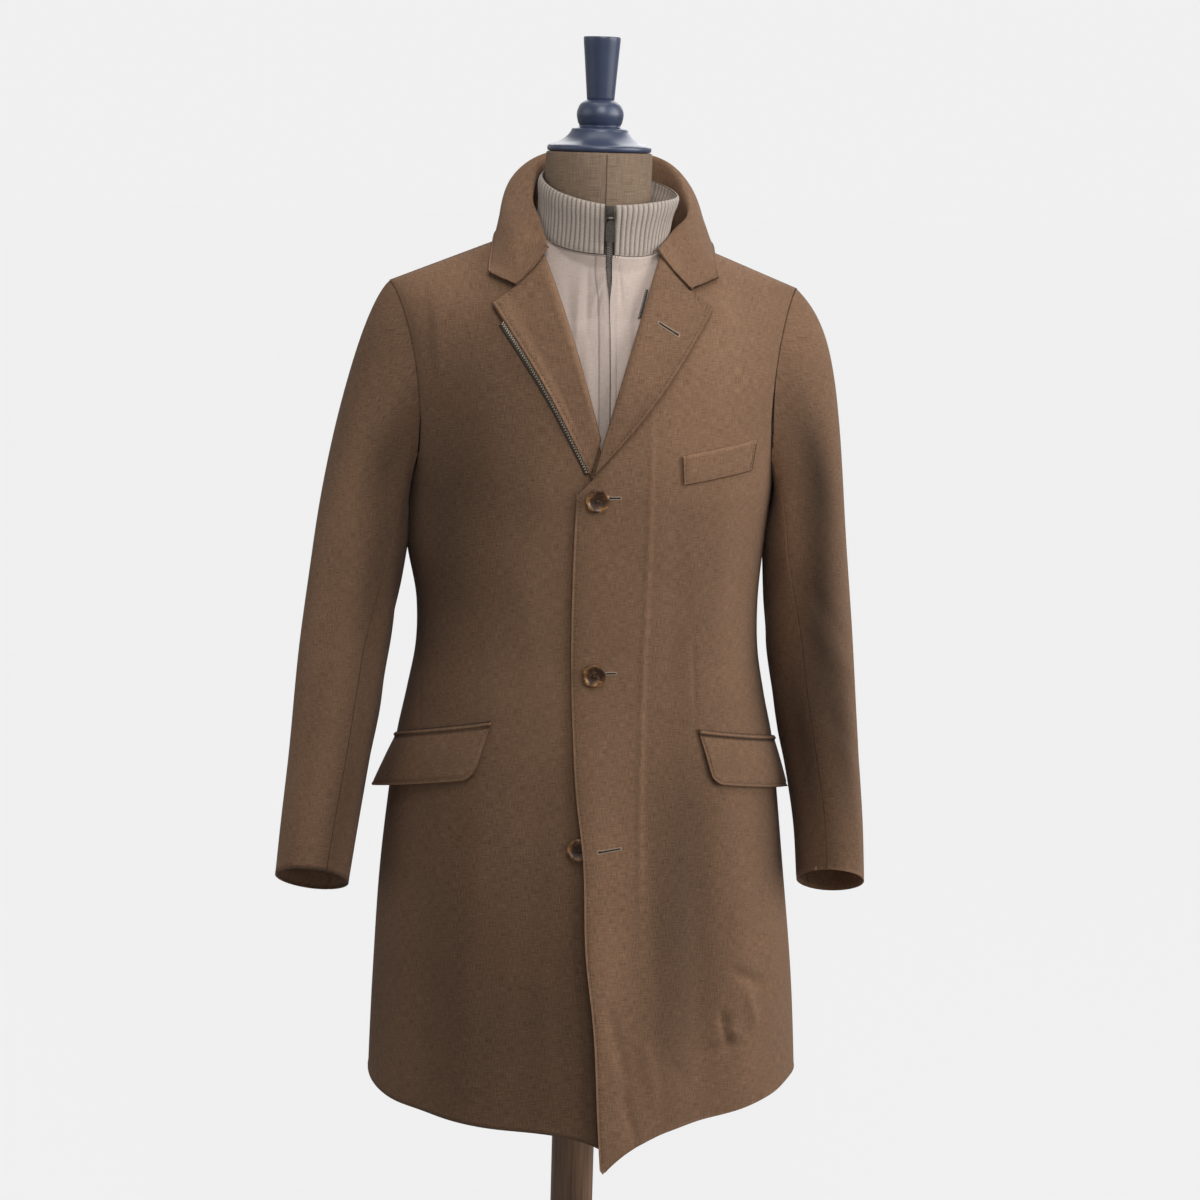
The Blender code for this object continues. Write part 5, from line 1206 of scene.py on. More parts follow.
def collar_place(u, v, layer):
    row = np.rint(u * (COLLAR_STATIONS - 1)).astype(int)
    step = np.rint(v * (len(COLLAR_STEPS) - 1)).astype(int)
    from_edge = collar_fall[-1] - collar_fall[step]
    groove = bell(from_edge - EDGE_STITCH_IN, COLLAR_GROOVE_WIDTH) * EDGE_GROOVE
    out = np.where(layer < 0.5, COLLAR_WALL / 2 - groove, -COLLAR_WALL / 2)
    points = collar_middle[row, step] + collar_normal[row, step] * out[:, None]
    # Painted light and shade: the collar is drawn lighter towards the wearer's right and darker towards the left,
    # with a painted highlight along its fall's edge.
    painted_shading = COLLAR_PAINTED_LIGHT - COLLAR_PAINTED_LIGHT_SLOPE * points[:, 0] + COLLAR_EDGE_PAINTED_HIGHLIGHT * bell(from_edge, EDGE_HIGHLIGHT_WIDTH)
    return points, np.stack([collar_run[row], collar_fall[step]], axis=-1), painted_shading


mesh = cloth_wall("collar_cloth", COLLAR_STATIONS - 1, len(COLLAR_STEPS) - 1, collar_place, FOLDED_RIM)
collar = piece_of(mesh, coat_wool, "coat_cloth", "collar")


# The hip pockets: a flap with a rounded front corner hangs from the pocket's mouth.
# A narrow jetting strip of the same wool edges the mouth above it.
Pocket = namedtuple("Pocket", "front_turn back_turn front_height back_height depth flare")
LEFT_POCKET = Pocket(31.5, 82, 0.9905, 0.9550, 0.053, 0.008)
RIGHT_POCKET = Pocket(-32.5, -86, 0.9985, 0.9560, 0.055, 0.016)
FLAP_FRONT_SLANT = math.radians(3)
FLAP_LIFT = 0.0022
FLAP_CORNER = 0.012
JET_HEIGHT = 0.0052
POCKET_CLOTH = 0.0018
POCKET_LAID_ON = 0.0008
FLAP_RADIUS = 0.19
FLAP_CROWDING = 1.25
FLAP_GROOVE = 1.3 * EDGE_GROOVE
FLAP_BELLY = 0.0012
FLAP_SHADOW = 0.60
FLAP_SHADOW_END = (0.0012, 0.0030)
JET_SWELL = 0.0012
JET_LENGTH = 0.17
JET_RIM = 0.0005
JET_PAINTED_HIGHLIGHT = 0.10
JET_SHADOW = 0.80
JET_SHADOW_END = (0.05, 0.30)
POCKETS = {1: LEFT_POCKET, -1: RIGHT_POCKET}


def pocket_point(pocket, share, drop, out):
    side = math.copysign(1, pocket.front_turn)
    turn = np.radians(pocket.front_turn + (pocket.back_turn - pocket.front_turn) * share)
    z = pocket.front_height + (pocket.back_height - pocket.front_height) * share - drop
    lift = (z - CHEST_HEIGHT) / (CHEST_HEIGHT - hem_height(turn))
    plain = body_point(turn, lift)
    base = overlap_out(plain[..., 0], plain[..., 2]) if side > 0 else 0.0
    base = base + np.maximum(front_relief(plain[..., 0], plain[..., 2], side), 0.0)
    return body_point(turn, lift, base + out)


def flap_place(pocket):
    reach = math.radians(abs(pocket.back_turn - pocket.front_turn))
    slant = FLAP_FRONT_SLANT / reach

    def place(u, v, layer):
        share = u**FLAP_CROWDING
        from_front = share * reach * FLAP_RADIUS
        corner = np.clip(FLAP_CORNER - from_front, 0, FLAP_CORNER)
        deep = pocket.depth - FLAP_CORNER + np.sqrt(FLAP_CORNER**2 - corner**2)
        drop = deep * v
        down = drop / pocket.depth
        turned = share + slant * down * (1 - share)
        in_edge = np.minimum((1 - v) * deep, from_front + 0.2 * corner)
        groove = bell(in_edge - EDGE_STITCH_IN, PICK_GROOVE_WIDTH) * FLAP_GROOVE
        stand = POCKET_LAID_ON + FLAP_LIFT * down + pocket.flare * down * share**3
        belly = FLAP_BELLY * np.sin(math.pi * v) * np.sin(math.pi * u)
        out = stand + belly + (POCKET_CLOTH - groove) * (1 - layer)
        painted_shading = -FLAP_SHADOW * (1 - smooth_step(*FLAP_SHADOW_END, drop))
        return pocket_point(pocket, turned, drop, out), np.stack([from_front, drop], axis=-1), painted_shading

    return place


def jet_place(pocket):
    def place(u, v, layer):
        up = SEAM + (JET_HEIGHT - SEAM) * v
        swell = JET_SWELL * np.sin(math.pi * v)
        out = POCKET_LAID_ON + (POCKET_CLOTH + swell) * (1 - layer)
        # Painted light and shade: the jet is drawn a little lighter as a painted highlight, with painted shadow
        # along both its long edges.
        painted_shading = JET_PAINTED_HIGHLIGHT - JET_SHADOW * (1 - smooth_step(*JET_SHADOW_END, np.minimum(v, 1 - v)))
        return pocket_point(pocket, u, -up, out), np.stack([u * JET_LENGTH, up], axis=-1), painted_shading

    return place


for side, label in SIDES:
    mesh = cloth_wall(f"flap_{label}_cloth", 84, 34, flap_place(POCKETS[side]))
    flap = piece_of(mesh, coat_wool, "coat_cloth", f"flap_{label}")
    mesh = cloth_wall(f"jet_{label}_cloth", 84, 6, jet_place(POCKETS[side]), JET_RIM)
    jet = piece_of(mesh, coat_wool, "coat_cloth", f"jet_{label}")


# The chest pocket's welt: a slanted strip of wool, folded double and sewn down at both ends.
# It stands a little proud of the chest and its ends are topstitched.
WELT_TOP = np.array(((0.0825, 1.2898), (0.1670, 1.3023)))
WELT_BOTTOM = np.array(((0.0843, 1.2609), (0.1617, 1.2714)))
WELT_LENGTH = 0.085
WELT_HEIGHT = 0.029
WELT_STITCH_IN = 0.003
WELT_RISE = 0.0005
WELT_TOP_PAINTED_HIGHLIGHT = 0.45
WELT_TOP_PAINTED_HIGHLIGHT_FROM = (0.88, 0.97)
WELT_SHADOW = 0.35
WELT_SHADOW_END = (0.0, 0.08)


def welt_place(u, v, layer):
    low, high = (ends[0] + (ends[1] - ends[0]) * u[:, None] for ends in (WELT_BOTTOM, WELT_TOP))
    x, z = (low + (high - low) * v[:, None]).T
    in_edge = np.minimum(np.minimum(u, 1 - u) * WELT_LENGTH, v * WELT_HEIGHT)
    groove = bell(in_edge - WELT_STITCH_IN, EDGE_GROOVE_WIDTH) * EDGE_GROOVE
    relief = np.maximum(front_relief(x, z, 1), 0.0)
    out = POCKET_LAID_ON + relief + (POCKET_CLOTH - groove + WELT_RISE * v) * (1 - layer)
    # Painted light and shade: a painted highlight along the welt's top fold and painted shadow along its foot.
    painted_shading = WELT_TOP_PAINTED_HIGHLIGHT * smooth_step(*WELT_TOP_PAINTED_HIGHLIGHT_FROM, v) - WELT_SHADOW * (1 - smooth_step(*WELT_SHADOW_END, v))
    return on_front(x, z, 1, out), np.stack([x, z], axis=-1), painted_shading


mesh = cloth_wall("chest_welt_cloth", 56, 22, welt_place)
welt = piece_of(mesh, coat_wool, "coat_cloth", "chest_welt")


# The pick stitching: short hand stitches of brown silk, sunk a little into the cloth.
# They run beside the edges of the lapels, collar, left front, flaps and chest welt.
STITCH_LENGTH = 0.0023
STITCH_STEP = 0.0046
STITCH_RADIUS = 0.00040
STITCH_PROUD = 0.0003
STITCH_SUNK = 0.0003
LAPEL_STITCH_SUNK = 0.0004
WELT_STITCH_STEP = 0.0040
NOTCH_STITCH_ALONG = 0.965
FRONT_LENGTH_ROUND = 0.30
stitch_silk = plain_material("pick_stitch_silk", (0.062, 0.036, 0.022), 0.8, 0.25, 700)


def walked(points, step):
    """Places at even steps along a line of points, with the line's direction there."""
    points = np.asarray(points, float)
    run = run_of(points)
    at = np.arange(step / 2, run[-1], step)
    way = along_line(at + step / 4, run, points) - along_line(at - step / 4, run, points)
    return along_line(at, run, points), way / np.maximum(np.linalg.norm(way, axis=-1, keepdims=True), 1e-9)


def laid_frame(spot, way, outward):
    """A matrix with X along way, Z outward and its origin at spot."""
    x_axis = Vector(way).normalized()
    z_axis = (Vector(outward) - x_axis * Vector(outward).dot(x_axis)).normalized()
    turn = Matrix((x_axis, z_axis.cross(x_axis), z_axis)).transposed()
    return Matrix.Translation(Vector(spot)) @ turn.to_4x4()


def add_stitches(shape, points, outward, step=STITCH_STEP, length=STITCH_LENGTH, radius=STITCH_RADIUS):
    """Adds a row of short rounded stitches; outward(spot) gives the way out of the cloth."""
    for spot, way in zip(*walked(points, step)):
        place = laid_frame(spot, way, outward(spot))
        size = Matrix.Translation((0, 0, STITCH_PROUD)) @ Matrix.Diagonal((length / 2, radius, radius * 0.8, 1.0))
        bmesh.ops.create_uvsphere(shape, u_segments=6, v_segments=4, radius=1.0, matrix=place @ size)


def from_axis(spot):
    return (spot[0], spot[1] * 1.6, 0.25 * max(spot[2] - 1.3, 0.0))


stitches = bmesh.new()
for side, lapel in LAPELS.items():
    edge_along = np.linspace(0.10, 0.985, 120)
    edge_share = 1 - EDGE_STITCH_IN / lapel_width(lapel, side, edge_along)
    notch_share = np.linspace(NOTCH_SHARE + 0.08, 0.95, 30)
    for share, along, sunk in (
        (edge_share, edge_along, LAPEL_STITCH_SUNK),
        (notch_share, np.full(len(notch_share), NOTCH_STITCH_ALONG), STITCH_SUNK),
    ):
        x, z = lapel_place(lapel, side, share, along)
        add_stitches(stitches, on_front(x, z, side, lapel_rise(share, along) + LAPEL_WALL - sunk), from_axis)
lift = np.linspace(-0.985, BREAK_LIFT * 0.4, 240)
turn = turn_of(front_edge_x(lift, flat_height(lift), 1) + EDGE_STITCH_IN, lift)
plain = body_point(turn, lift, 0.0, LEFT_CORNER_DROP)
lip = front_relief(plain[:, 0], plain[:, 2], 1) * smooth_step(*EDGE_HOLD, EDGE_STITCH_IN / FRONT_LENGTH_ROUND)
out = overlap_out(plain[:, 0], plain[:, 2]) + lip
add_stitches(stitches, body_point(turn, lift, out - STITCH_SUNK, LEFT_CORNER_DROP), from_axis)
collar_step = int(np.argmin(np.abs(collar_fall[-1] - collar_fall - EDGE_STITCH_IN)))
line = collar_middle[:, collar_step] + collar_normal[:, collar_step] * (COLLAR_WALL / 2 - STITCH_SUNK)
add_stitches(stitches, line[3:-3], from_axis)
for pocket in POCKETS.values():
    place = flap_place(pocket)
    across = np.linspace(0.12, 0.985, 80)
    line = place(across, np.full(80, 1 - EDGE_STITCH_IN / pocket.depth), np.zeros(80))[0]
    add_stitches(stitches, line, from_axis)
    line = place(np.full(30, 0.045), np.linspace(0.05, 0.80, 30), np.zeros(30))[0]
    add_stitches(stitches, line, from_axis)
for end in (0.034, 0.966):
    line = welt_place(np.full(20, end), np.linspace(0.06, 0.94, 20), np.zeros(20))[0]
    add_stitches(stitches, line, from_axis, WELT_STITCH_STEP)
piece_of(mesh_from("pick_stitches", stitches), stitch_silk, "coat_cloth")


# The buttonholes: slits in the left front and the left lapel, worked round with beige-brown silk.
# Each has a round eye at the end near the edge, where the button sits.
HOLE_SILK = plain_material("buttonhole_silk", (0.330, 0.245, 0.175), 0.7, 0.25, 900)
SLIT_PAINTED_SHADOW = plain_material("buttonhole_slit_painted_shadow", (0.012, 0.009, 0.007), 0.95, 0.2, 300)
Hole = namedtuple("Hole", "x z to_x to_z on_lapel")
HOLES = [
    Hole(0.0045, 1.2483, 0.0172, 1.2484, False),
    Hole(0.0060, 1.0606, 0.0186, 1.0607, False),
    Hole(0.0044, 0.8694, 0.0277, 0.8727, False),
    Hole(0.0768, 1.4089, 0.0558, 1.4194, True),
]
HOLE_HALF = 0.0017
HOLE_EYE = 1.25 * HOLE_HALF
HOLE_SIDE = 0.75 * HOLE_HALF
HOLE_END = 0.5 * HOLE_HALF
HOLE_SILK_RADIUS = 0.00062
SLIT_RADIUS = 0.00080


def lapel_out_at(x, z):
    """How far the left lapel's outer face stands off the front at this x and z."""
    share, along = np.meshgrid(np.linspace(0, 1, 81), np.linspace(0, 1, 121))
    px, pz = lapel_place(LEFT_LAPEL, 1, share, along)
    near = np.argmin((px - x) ** 2 + (pz - z) ** 2)
    return float((lapel_rise(share, along) + LAPEL_WALL).ravel()[near])


def worked_line(hole, places):
    """Points on the left front or its lapel, from places along a buttonhole and beside it."""
    way = np.array((hole.to_x - hole.x, hole.to_z - hole.z))
    east, north = way / np.hypot(*way)
    x = np.array([hole.x + along * east - beside * north for along, beside in places])
    z = np.array([hole.z + along * north + beside * east for along, beside in places])
    if hole.on_lapel:
        return on_front(x, z, 1, np.array([lapel_out_at(*spot) for spot in zip(x, z)]))
    return on_front(x, z, 1, front_relief(x, z, 1))


for number, hole in enumerate(HOLES, 1):
    length = np.hypot(hole.to_x - hole.x, hole.to_z - hole.z)
    eye_turns = np.linspace(math.pi / 2, 3 * math.pi / 2, 9)
    end_turns = np.linspace(0, math.pi, 5)[1:-1]
    ring = [(HOLE_EYE * np.cos(turn), HOLE_EYE * np.sin(turn)) for turn in eye_turns]
    ring += [(share * length, -HOLE_SIDE) for share in np.linspace(0.15, 0.97, 10)]
    ring += [(length + HOLE_END * np.sin(turn), -HOLE_SIDE * np.cos(turn)) for turn in end_turns]
    ring += [(share * length, HOLE_SIDE) for share in np.linspace(0.97, 0.15, 10)]
    worked = tube_mesh(f"buttonhole_{number}_silk", worked_line(hole, ring), HOLE_SILK_RADIUS, True)
    piece_of(worked, HOLE_SILK, "coat_cloth")
    # The slit is a near-black tube: painted shadow where the cut shows only shade.
    slit = [(share * length, 0.0) for share in np.linspace(0.0, 0.98, 14)]
    slit_mesh = tube_mesh(f"buttonhole_{number}_slit", worked_line(hole, slit), SLIT_RADIUS)
    piece_of(slit_mesh, SLIT_PAINTED_SHADOW, "coat_cloth")


# The buttons: polished tortoiseshell, turned with a raised rim and a dished middle.
# Each has four drilled holes and is sewn on with crossed brown thread.
BUTTON_RADIUS = 0.0125
BUTTON_THICKNESS = 0.0040
Button = namedtuple("Button", "x z on_left_front shank")
BUTTONS = [
    Button(-0.0066, 1.2455, True, 0.0006),
    Button(-0.0043, 1.0585, True, 0.0011),
    Button(-0.0162, 0.8694, False, 0.0006),
]
BUTTON_PROFILE = [
    (0.0, 0.0022), (0.0052, 0.0023), (0.0078, 0.0027), (0.0091, 0.0033), (0.0098, 0.0038), (0.0107, 0.0040),
    (0.0117, 0.0039), (0.0123, 0.0034), (0.0125, 0.0026), (0.0124, 0.0014), (0.0116, 0.0006), (0.0078, 0.0),
    (0.0, 0.0),
]
BUTTON_HOLE_RADIUS = 0.0011
BUTTON_HOLE_OUT = 0.0021
BUTTON_HOLE_SPREAD = 0.72 * BUTTON_HOLE_OUT
DISH_PAINTED_SHADE = 0.17
DISH_EDGE = (0.45, 0.80)
THREAD_OFFSET = 0.00025
THREAD_HEIGHT = 0.0026
THREAD_SIZE = (0.0025, 0.0004, 0.0005, 1.0)


def horn_material():
    """Tortoiseshell: amber with dark brown clouds, under a clear polish, with painted shade in the dished middle."""
    material, tree, shader, place = new_material("button_tortoiseshell")
    feeds = {"Vector": place, "Scale": 150, "Detail": 4.0, "Distortion": 0.8}
    clouds = add_node(tree, "ShaderNodeTexNoise", feeds).outputs["Fac"]
    dished = add_node(tree, "ShaderNodeAttribute", attribute_name="dished").outputs["Fac"]
    shade = math_node(tree, "SUBTRACT", clouds, dished)
    ramp = ramp_of(tree, shade, 0.38, (0.042, 0.017, 0.007), 0.72, (0.420, 0.215, 0.070))
    amber = ramp.color_ramp.elements.new(0.55)
    amber.color = (0.170, 0.075, 0.024, 1.0)
    feed(tree, shader, {
        "Base Color": ramp.outputs[0],
        "Roughness": 0.28,
        "Specular IOR Level": 0.35,
        "Coat Weight": 0.18,
        "Coat Roughness": 0.12,
    })
    return material


def drilled_button():
    """The mesh of a turned button with its four holes, with painted shade in its dished middle."""
    blank = put("button_blank", turned_mesh("button_blank", BUTTON_PROFILE, 48))
    drills = bmesh.new()
    for i, j in ((1, 1), (1, -1), (-1, 1), (-1, -1)):
        spot = Matrix.Translation((i * BUTTON_HOLE_SPREAD, j * BUTTON_HOLE_SPREAD, 0.002))
        bmesh.ops.create_cone(
            drills, cap_ends=True, segments=14, radius1=BUTTON_HOLE_RADIUS, radius2=BUTTON_HOLE_RADIUS, depth=0.01,
            matrix=spot,
        )
    cutter = put("button_drills", mesh_from("button_drills", drills))
    drilled = blank.modifiers.new("drilled", "BOOLEAN")
    drilled.operation = "DIFFERENCE"
    drilled.object = cutter
    mesh = evaluated_mesh(blank)
    bpy.data.objects.remove(cutter, do_unlink=True)
    dished = mesh.attributes.new("dished", "FLOAT", "POINT")
    for vert in mesh.vertices:
        dished.data[vert.index].value = DISH_PAINTED_SHADE * (1 - smooth_step(*DISH_EDGE, vert.co.xy.length / BUTTON_RADIUS))
    return mesh


tortoiseshell = horn_material()
button_thread = plain_material("button_thread", (0.060, 0.038, 0.026), 0.75, 0.25, 800)
for number, button in enumerate(BUTTONS, 1):
    side = 1 if button.on_left_front else -1
    seat = Vector(on_front(button.x, button.z, side, button.shank))
    right = Vector(on_front(button.x + BUTTON_THICKNESS, button.z, side, button.shank)) - seat
    up = Vector(on_front(button.x, button.z + BUTTON_THICKNESS, side, button.shank)) - seat
    stand = laid_frame(seat, right, right.cross(up))
    mesh = drilled_button()
    mesh.name = f"button_{number}_turned"
    mesh.transform(stand)
    mesh.shade_smooth()
    mesh.set_sharp_from_angle(angle=math.radians(40))
    piece_of(mesh, tortoiseshell, "button_horn", f"button_{number}")
    threads = bmesh.new()
    for turn in (math.pi / 4, 3 * math.pi / 4):
        way = Vector((math.cos(turn), math.sin(turn), 0.0))
        for offset in (-THREAD_OFFSET, THREAD_OFFSET):
            middle = way.cross(Vector((0, 0, 1))) * offset + Vector((0, 0, THREAD_HEIGHT))
            place = stand @ laid_frame(middle, way, (0, 0, 1)) @ Matrix.Diagonal(THREAD_SIZE)
            bmesh.ops.create_uvsphere(threads, u_segments=8, v_segments=6, radius=1.0, matrix=place)
    piece_of(mesh_from(f"button_{number}_thread", threads), button_thread, "coat_cloth")


# The bib: two smooth cotton panels that zip in behind the lapels and meet at the centre zip.
# Each is hemmed beside the zip, with a row of stitches, and gathers slightly under the knitted collar.
ZIP_X = 0.0055
BIB_TOP = 1.4880
BIB_TOP_GAP = 0.0009
BIB_BOTTOM = 1.2300
BIB_INSET = 0.0055
BIB_CLEAR = 0.0045
BIB_UNDER_LAPEL = 0.021
BIB_LEAST_HALF = 0.016
BIB_HANG = 0.075
BIB_TOP_EASE = 0.060
BIB_PROBE_X = 0.030
BIB_OPEN_GAP = 0.0034
BIB_CLOSED_GAP = 0.0006
BIB_OPEN_FROM = 1.4470
BIB_HEMS = {1: 0.0060, -1: 0.0108}
Rim = namedtuple("Rim", "turn height")
RIB_BASE = [
    Rim(-180, 1.5360), Rim(-135, 1.5300), Rim(-90, 1.5190), Rim(-60, 1.5035), Rim(-30, 1.4950), Rim(0, 1.4920),
    Rim(30, 1.4905), Rim(60, 1.4982), Rim(90, 1.5185), Rim(135, 1.5300), Rim(180, 1.5360),
]
Band = namedtuple("Band", "share half_left half_right half_y centre_y")
RIB_BANDS = [
    Band(0.00, 0.0706, 0.0705, 0.0750, -0.0055),
    Band(0.50, 0.0742, 0.0685, 0.0745, -0.0040),
    Band(1.00, 0.0800, 0.0675, 0.0740, -0.0025),
]
BIB_CREASES = [
    Crease(0.016, 1.478, 0.019, 1.440, 0.0025, -0.0012),
    Crease(-0.001, 1.470, -0.016, 1.455, 0.0018, -0.0013),
    Crease(-0.001, 1.464, -0.012, 1.444, 0.0018, 0.0013),
    Crease(-0.003, 1.456, -0.008, 1.436, 0.0016, -0.0012),
    Crease(-0.016, 1.476, -0.018, 1.420, 0.0030, -0.0013),
    Crease(-0.024, 1.470, -0.030, 1.400, 0.0040, 0.0010),
    Crease(-0.036, 1.465, -0.034, 1.390, 0.0050, -0.0010),
    Crease(-0.020, 1.400, -0.012, 1.320, 0.0050, 0.0010),
    Crease(0.028, 1.460, 0.024, 1.380, 0.0045, 0.0009),
    Crease(0.034, 1.440, 0.030, 1.390, 0.0030, -0.0008),
]
BIB_OPENS = (BIB_OPEN_FROM - 0.006, BIB_OPEN_FROM + 0.022)
BIB_RIM = 0.0005
BIB_HEM_STEP = 0.0009
BIB_HEM_HALF = 0.0006
BIB_SEWN_DEPTH = 0.0003
BIB_SEWN_WIDTH = 0.0010
BIB_STITCH_IN = 0.0018
BIB_TOP_SHARE = 0.65
BIB_TOP_HOLD = (0.97, 1.0)
BIB_SIDE_PAINTED_LIGHT = 0.07
BIB_SEWN_SHADE = 0.14
BIB_HEM_SHADE = 0.07
BIB_STITCH_OUT = 0.0004
BIB_STITCH = (0.0030, 0.0019, 0.00022)
BIB_DARK = (0.455, 0.360, 0.310)
BIB_LIGHT = (0.650, 0.535, 0.470)
bib_cotton = cloth_material("bib_beige_cotton", BIB_DARK, BIB_LIGHT, 2600, 0.010, 0.15, fade=0.05)


def rib_level(table, turn):
    return column(table, "height", np.degrees((turn + math.pi) % (2 * math.pi) - math.pi), "turn")


def rib_base(turn):
    return rib_level(RIB_BASE, turn)


def bib_point(x, z, out=0.0):
    """A point on the bib: it hangs from the knitted collar's base and lies behind the fronts lower down."""
    lift = lift_of(x, z)
    low = body_point(turn_of(x, lift, -BIB_INSET), lift, -BIB_INSET, folded=False)[..., 1]
    band = RIB_BANDS[0]
    round_x = (x - ZIP_X) / np.where(x > ZIP_X, band.half_left, band.half_right)
    high = band.centre_y - band.half_y * np.sqrt(np.clip(1 - round_x**2, BIB_CLEAR, 1))
    hung = smooth_step(BIB_TOP - BIB_HANG, BIB_TOP, z)
    inset = form_inset(lift)
    form = body_point(turn_of(x, lift, -inset), lift, -inset, folded=False)[..., 1]
    y = np.minimum(low + (high - low) * hung, form - BIB_CLEAR) - out
    return np.stack(np.broadcast_arrays(x, y, z), axis=-1)


def bib_edge(z, side):
    return ZIP_X + side * (BIB_CLOSED_GAP + (BIB_OPEN_GAP - BIB_CLOSED_GAP) * smooth_step(*BIB_OPENS, z))


def bib_place(side):
    hem_at = BIB_HEMS[side]

    def place(u, v, layer):
        z = BIB_BOTTOM + (BIB_TOP - BIB_BOTTOM) * v
        start = bib_edge(z, side)
        lift = np.clip(lift_of(BIB_PROBE_X, z), BREAK_LIFT, GORGE_LIFT)
        eased = smooth_step(BIB_TOP - BIB_TOP_EASE, BIB_TOP, z)
        reach = BIB_UNDER_LAPEL * (1 - BIB_TOP_SHARE * eased)
        end = side * (np.maximum(np.abs(roll_x(lift, side)), BIB_LEAST_HALF) + reach)
        x = start + (end - start) * u
        half = np.where(x > ZIP_X, RIB_BANDS[0].half_left, RIB_BANDS[0].half_right)
        top = rib_base(np.arcsin(np.clip((x - ZIP_X) / half, -1, 1))) - BIB_TOP_GAP
        z = z + (top - BIB_TOP) * eased
        from_zip = np.abs(x - start)
        sewn = bell(from_zip - hem_at, BIB_SEWN_WIDTH)
        hem = BIB_HEM_STEP * (1 - smooth_step(hem_at - BIB_HEM_HALF, hem_at + BIB_HEM_HALF, from_zip))
        hold = smooth_step(*EDGE_HOLD, u) * (1 - smooth_step(*BIB_TOP_HOLD, v))
        out = hem - BIB_SEWN_DEPTH * sewn + crease_depth(BIB_CREASES, x, z) * hold - CLOTH_WALL * layer
        # Painted light and shade: the wearer's left panel is drawn lighter and the right darker, with painted shade
        # along the sewn line and on the hem strip.
        painted_shading = BIB_SIDE_PAINTED_LIGHT * side - BIB_SEWN_SHADE * sewn - BIB_HEM_SHADE * (from_zip < hem_at)
        return bib_point(x, z, out), np.stack([x, z], axis=-1), painted_shading

    return place


bib_stitches = bmesh.new()
for side, label in SIDES:
    mesh = cloth_wall(f"bib_{label}_cotton", 110, 110, bib_place(side), BIB_RIM)
    bib = piece_of(mesh, bib_cotton, "bib_cloth", f"bib_{label}")
    z = np.linspace(1.26, 1.482, 90)
    for inward in (BIB_STITCH_IN, BIB_HEMS[side] - BIB_STITCH_IN):
        line = bib_point(bib_edge(z, side) + side * inward, z, BIB_STITCH_OUT)
        add_stitches(bib_stitches, line, from_axis, *BIB_STITCH)
bib_thread = plain_material("bib_stitch_thread", (0.330, 0.255, 0.210), 0.7, 0.1, 700)
piece_of(mesh_from("bib_stitches", bib_stitches), bib_thread, "bib_cloth")


# The bib's stand collar: a stone rib knit, doubled, sewn to the bib's top and open at the zip.
# Its ribs rise from rows of knit stitches, and its top edge dips at the front and leans out on the left.
RIB_COUNT = 80
RIB_HEIGHT = 0.0012
RIB_WALL = 0.0030
RIB_OPENING = 0.0052
RIB_RIM = [
    Rim(-180, 1.578), Rim(-135, 1.578), Rim(-90, 1.568), Rim(-45, 1.552), Rim(0, 1.5425), Rim(45, 1.5465),
    Rim(90, 1.5530), Rim(135, 1.566), Rim(180, 1.578),
]
RIB_SWAYS = ((0.28, 23, 2.6, 0.0), (0.17, 61, -3.4, 1.0), (0.10, 139, 5.0, 0.0))
RIB_PINCH_AT = 0.62
RIB_ROLL_FROM = 0.90
RIB_PINCH = 0.0010
RIB_WAIST = 0.0006
RIB_TOP_IN = 0.0012
RIB_TOP_INNER = 0.0006
RIB_STARTS = (0.0, 0.06)
RIB_FLAT_HEIGHT = 0.056
RIB_RIM_ROUND = 0.0005
KNIT_ROWS = 620
KNIT_DARK = (0.200, 0.165, 0.138)
KNIT_LIGHT = (0.520, 0.442, 0.382)


def rib_point(turn, share, out):
    """A point of the knitted collar's plain face: share goes up its height, turn from centre front."""
    left = column(RIB_BANDS, "half_left", share, "share")
    right = column(RIB_BANDS, "half_right", share, "share")
    x = ZIP_X + (np.where(np.sin(turn) > 0, left, right) + out) * np.sin(turn)
    y = column(RIB_BANDS, "centre_y", share, "share")
    y = y - (column(RIB_BANDS, "half_y", share, "share") + out) * np.cos(turn)
    base = rib_base(turn)
    z = base + (rib_level(RIB_RIM, turn) - base) * share
    return np.stack([x, y, z + np.zeros(x.shape)], axis=-1)


def rib_place(u, v, layer):
    opening = RIB_OPENING / RIB_BANDS[-1].half_right
    turn = opening + (2 * math.pi - 2 * opening) * u
    sway = sum(size * np.sin(round_it * u + up * v + start) for size, round_it, up, start in RIB_SWAYS)
    rib = RIB_COUNT * u + sway * np.sin(math.pi * u)
    uneven = 0.85 + 0.25 * np.sin(1.9 * np.floor(rib)) * np.sin(0.7 * np.floor(rib) + 1.0)
    ribs = RIB_HEIGHT * (1.15 * np.abs(np.sin(math.pi * rib)) ** 0.8 - 0.1) * uneven
    rolled = np.sqrt(np.clip(1 - np.clip((v - RIB_ROLL_FROM) / (1 - RIB_ROLL_FROM), 0, 1) ** 2, 0, 1))
    pinched = RIB_PINCH * np.sin(math.pi * np.clip((v - RIB_PINCH_AT) / (1 - RIB_PINCH_AT), 0, 1))
    pinched = pinched - RIB_WAIST * np.sin(math.pi * np.clip(v / RIB_PINCH_AT, 0, 1))
    ribs = ribs * rolled * smooth_step(*RIB_STARTS, v) + pinched - RIB_TOP_IN * (1 - rolled)
    out = np.where(layer < 0.5, ribs, pinched - RIB_WALL + RIB_TOP_INNER * (1 - rolled))
    return rib_point(turn, v, out), np.stack([rib, v * RIB_FLAT_HEIGHT], axis=-1)


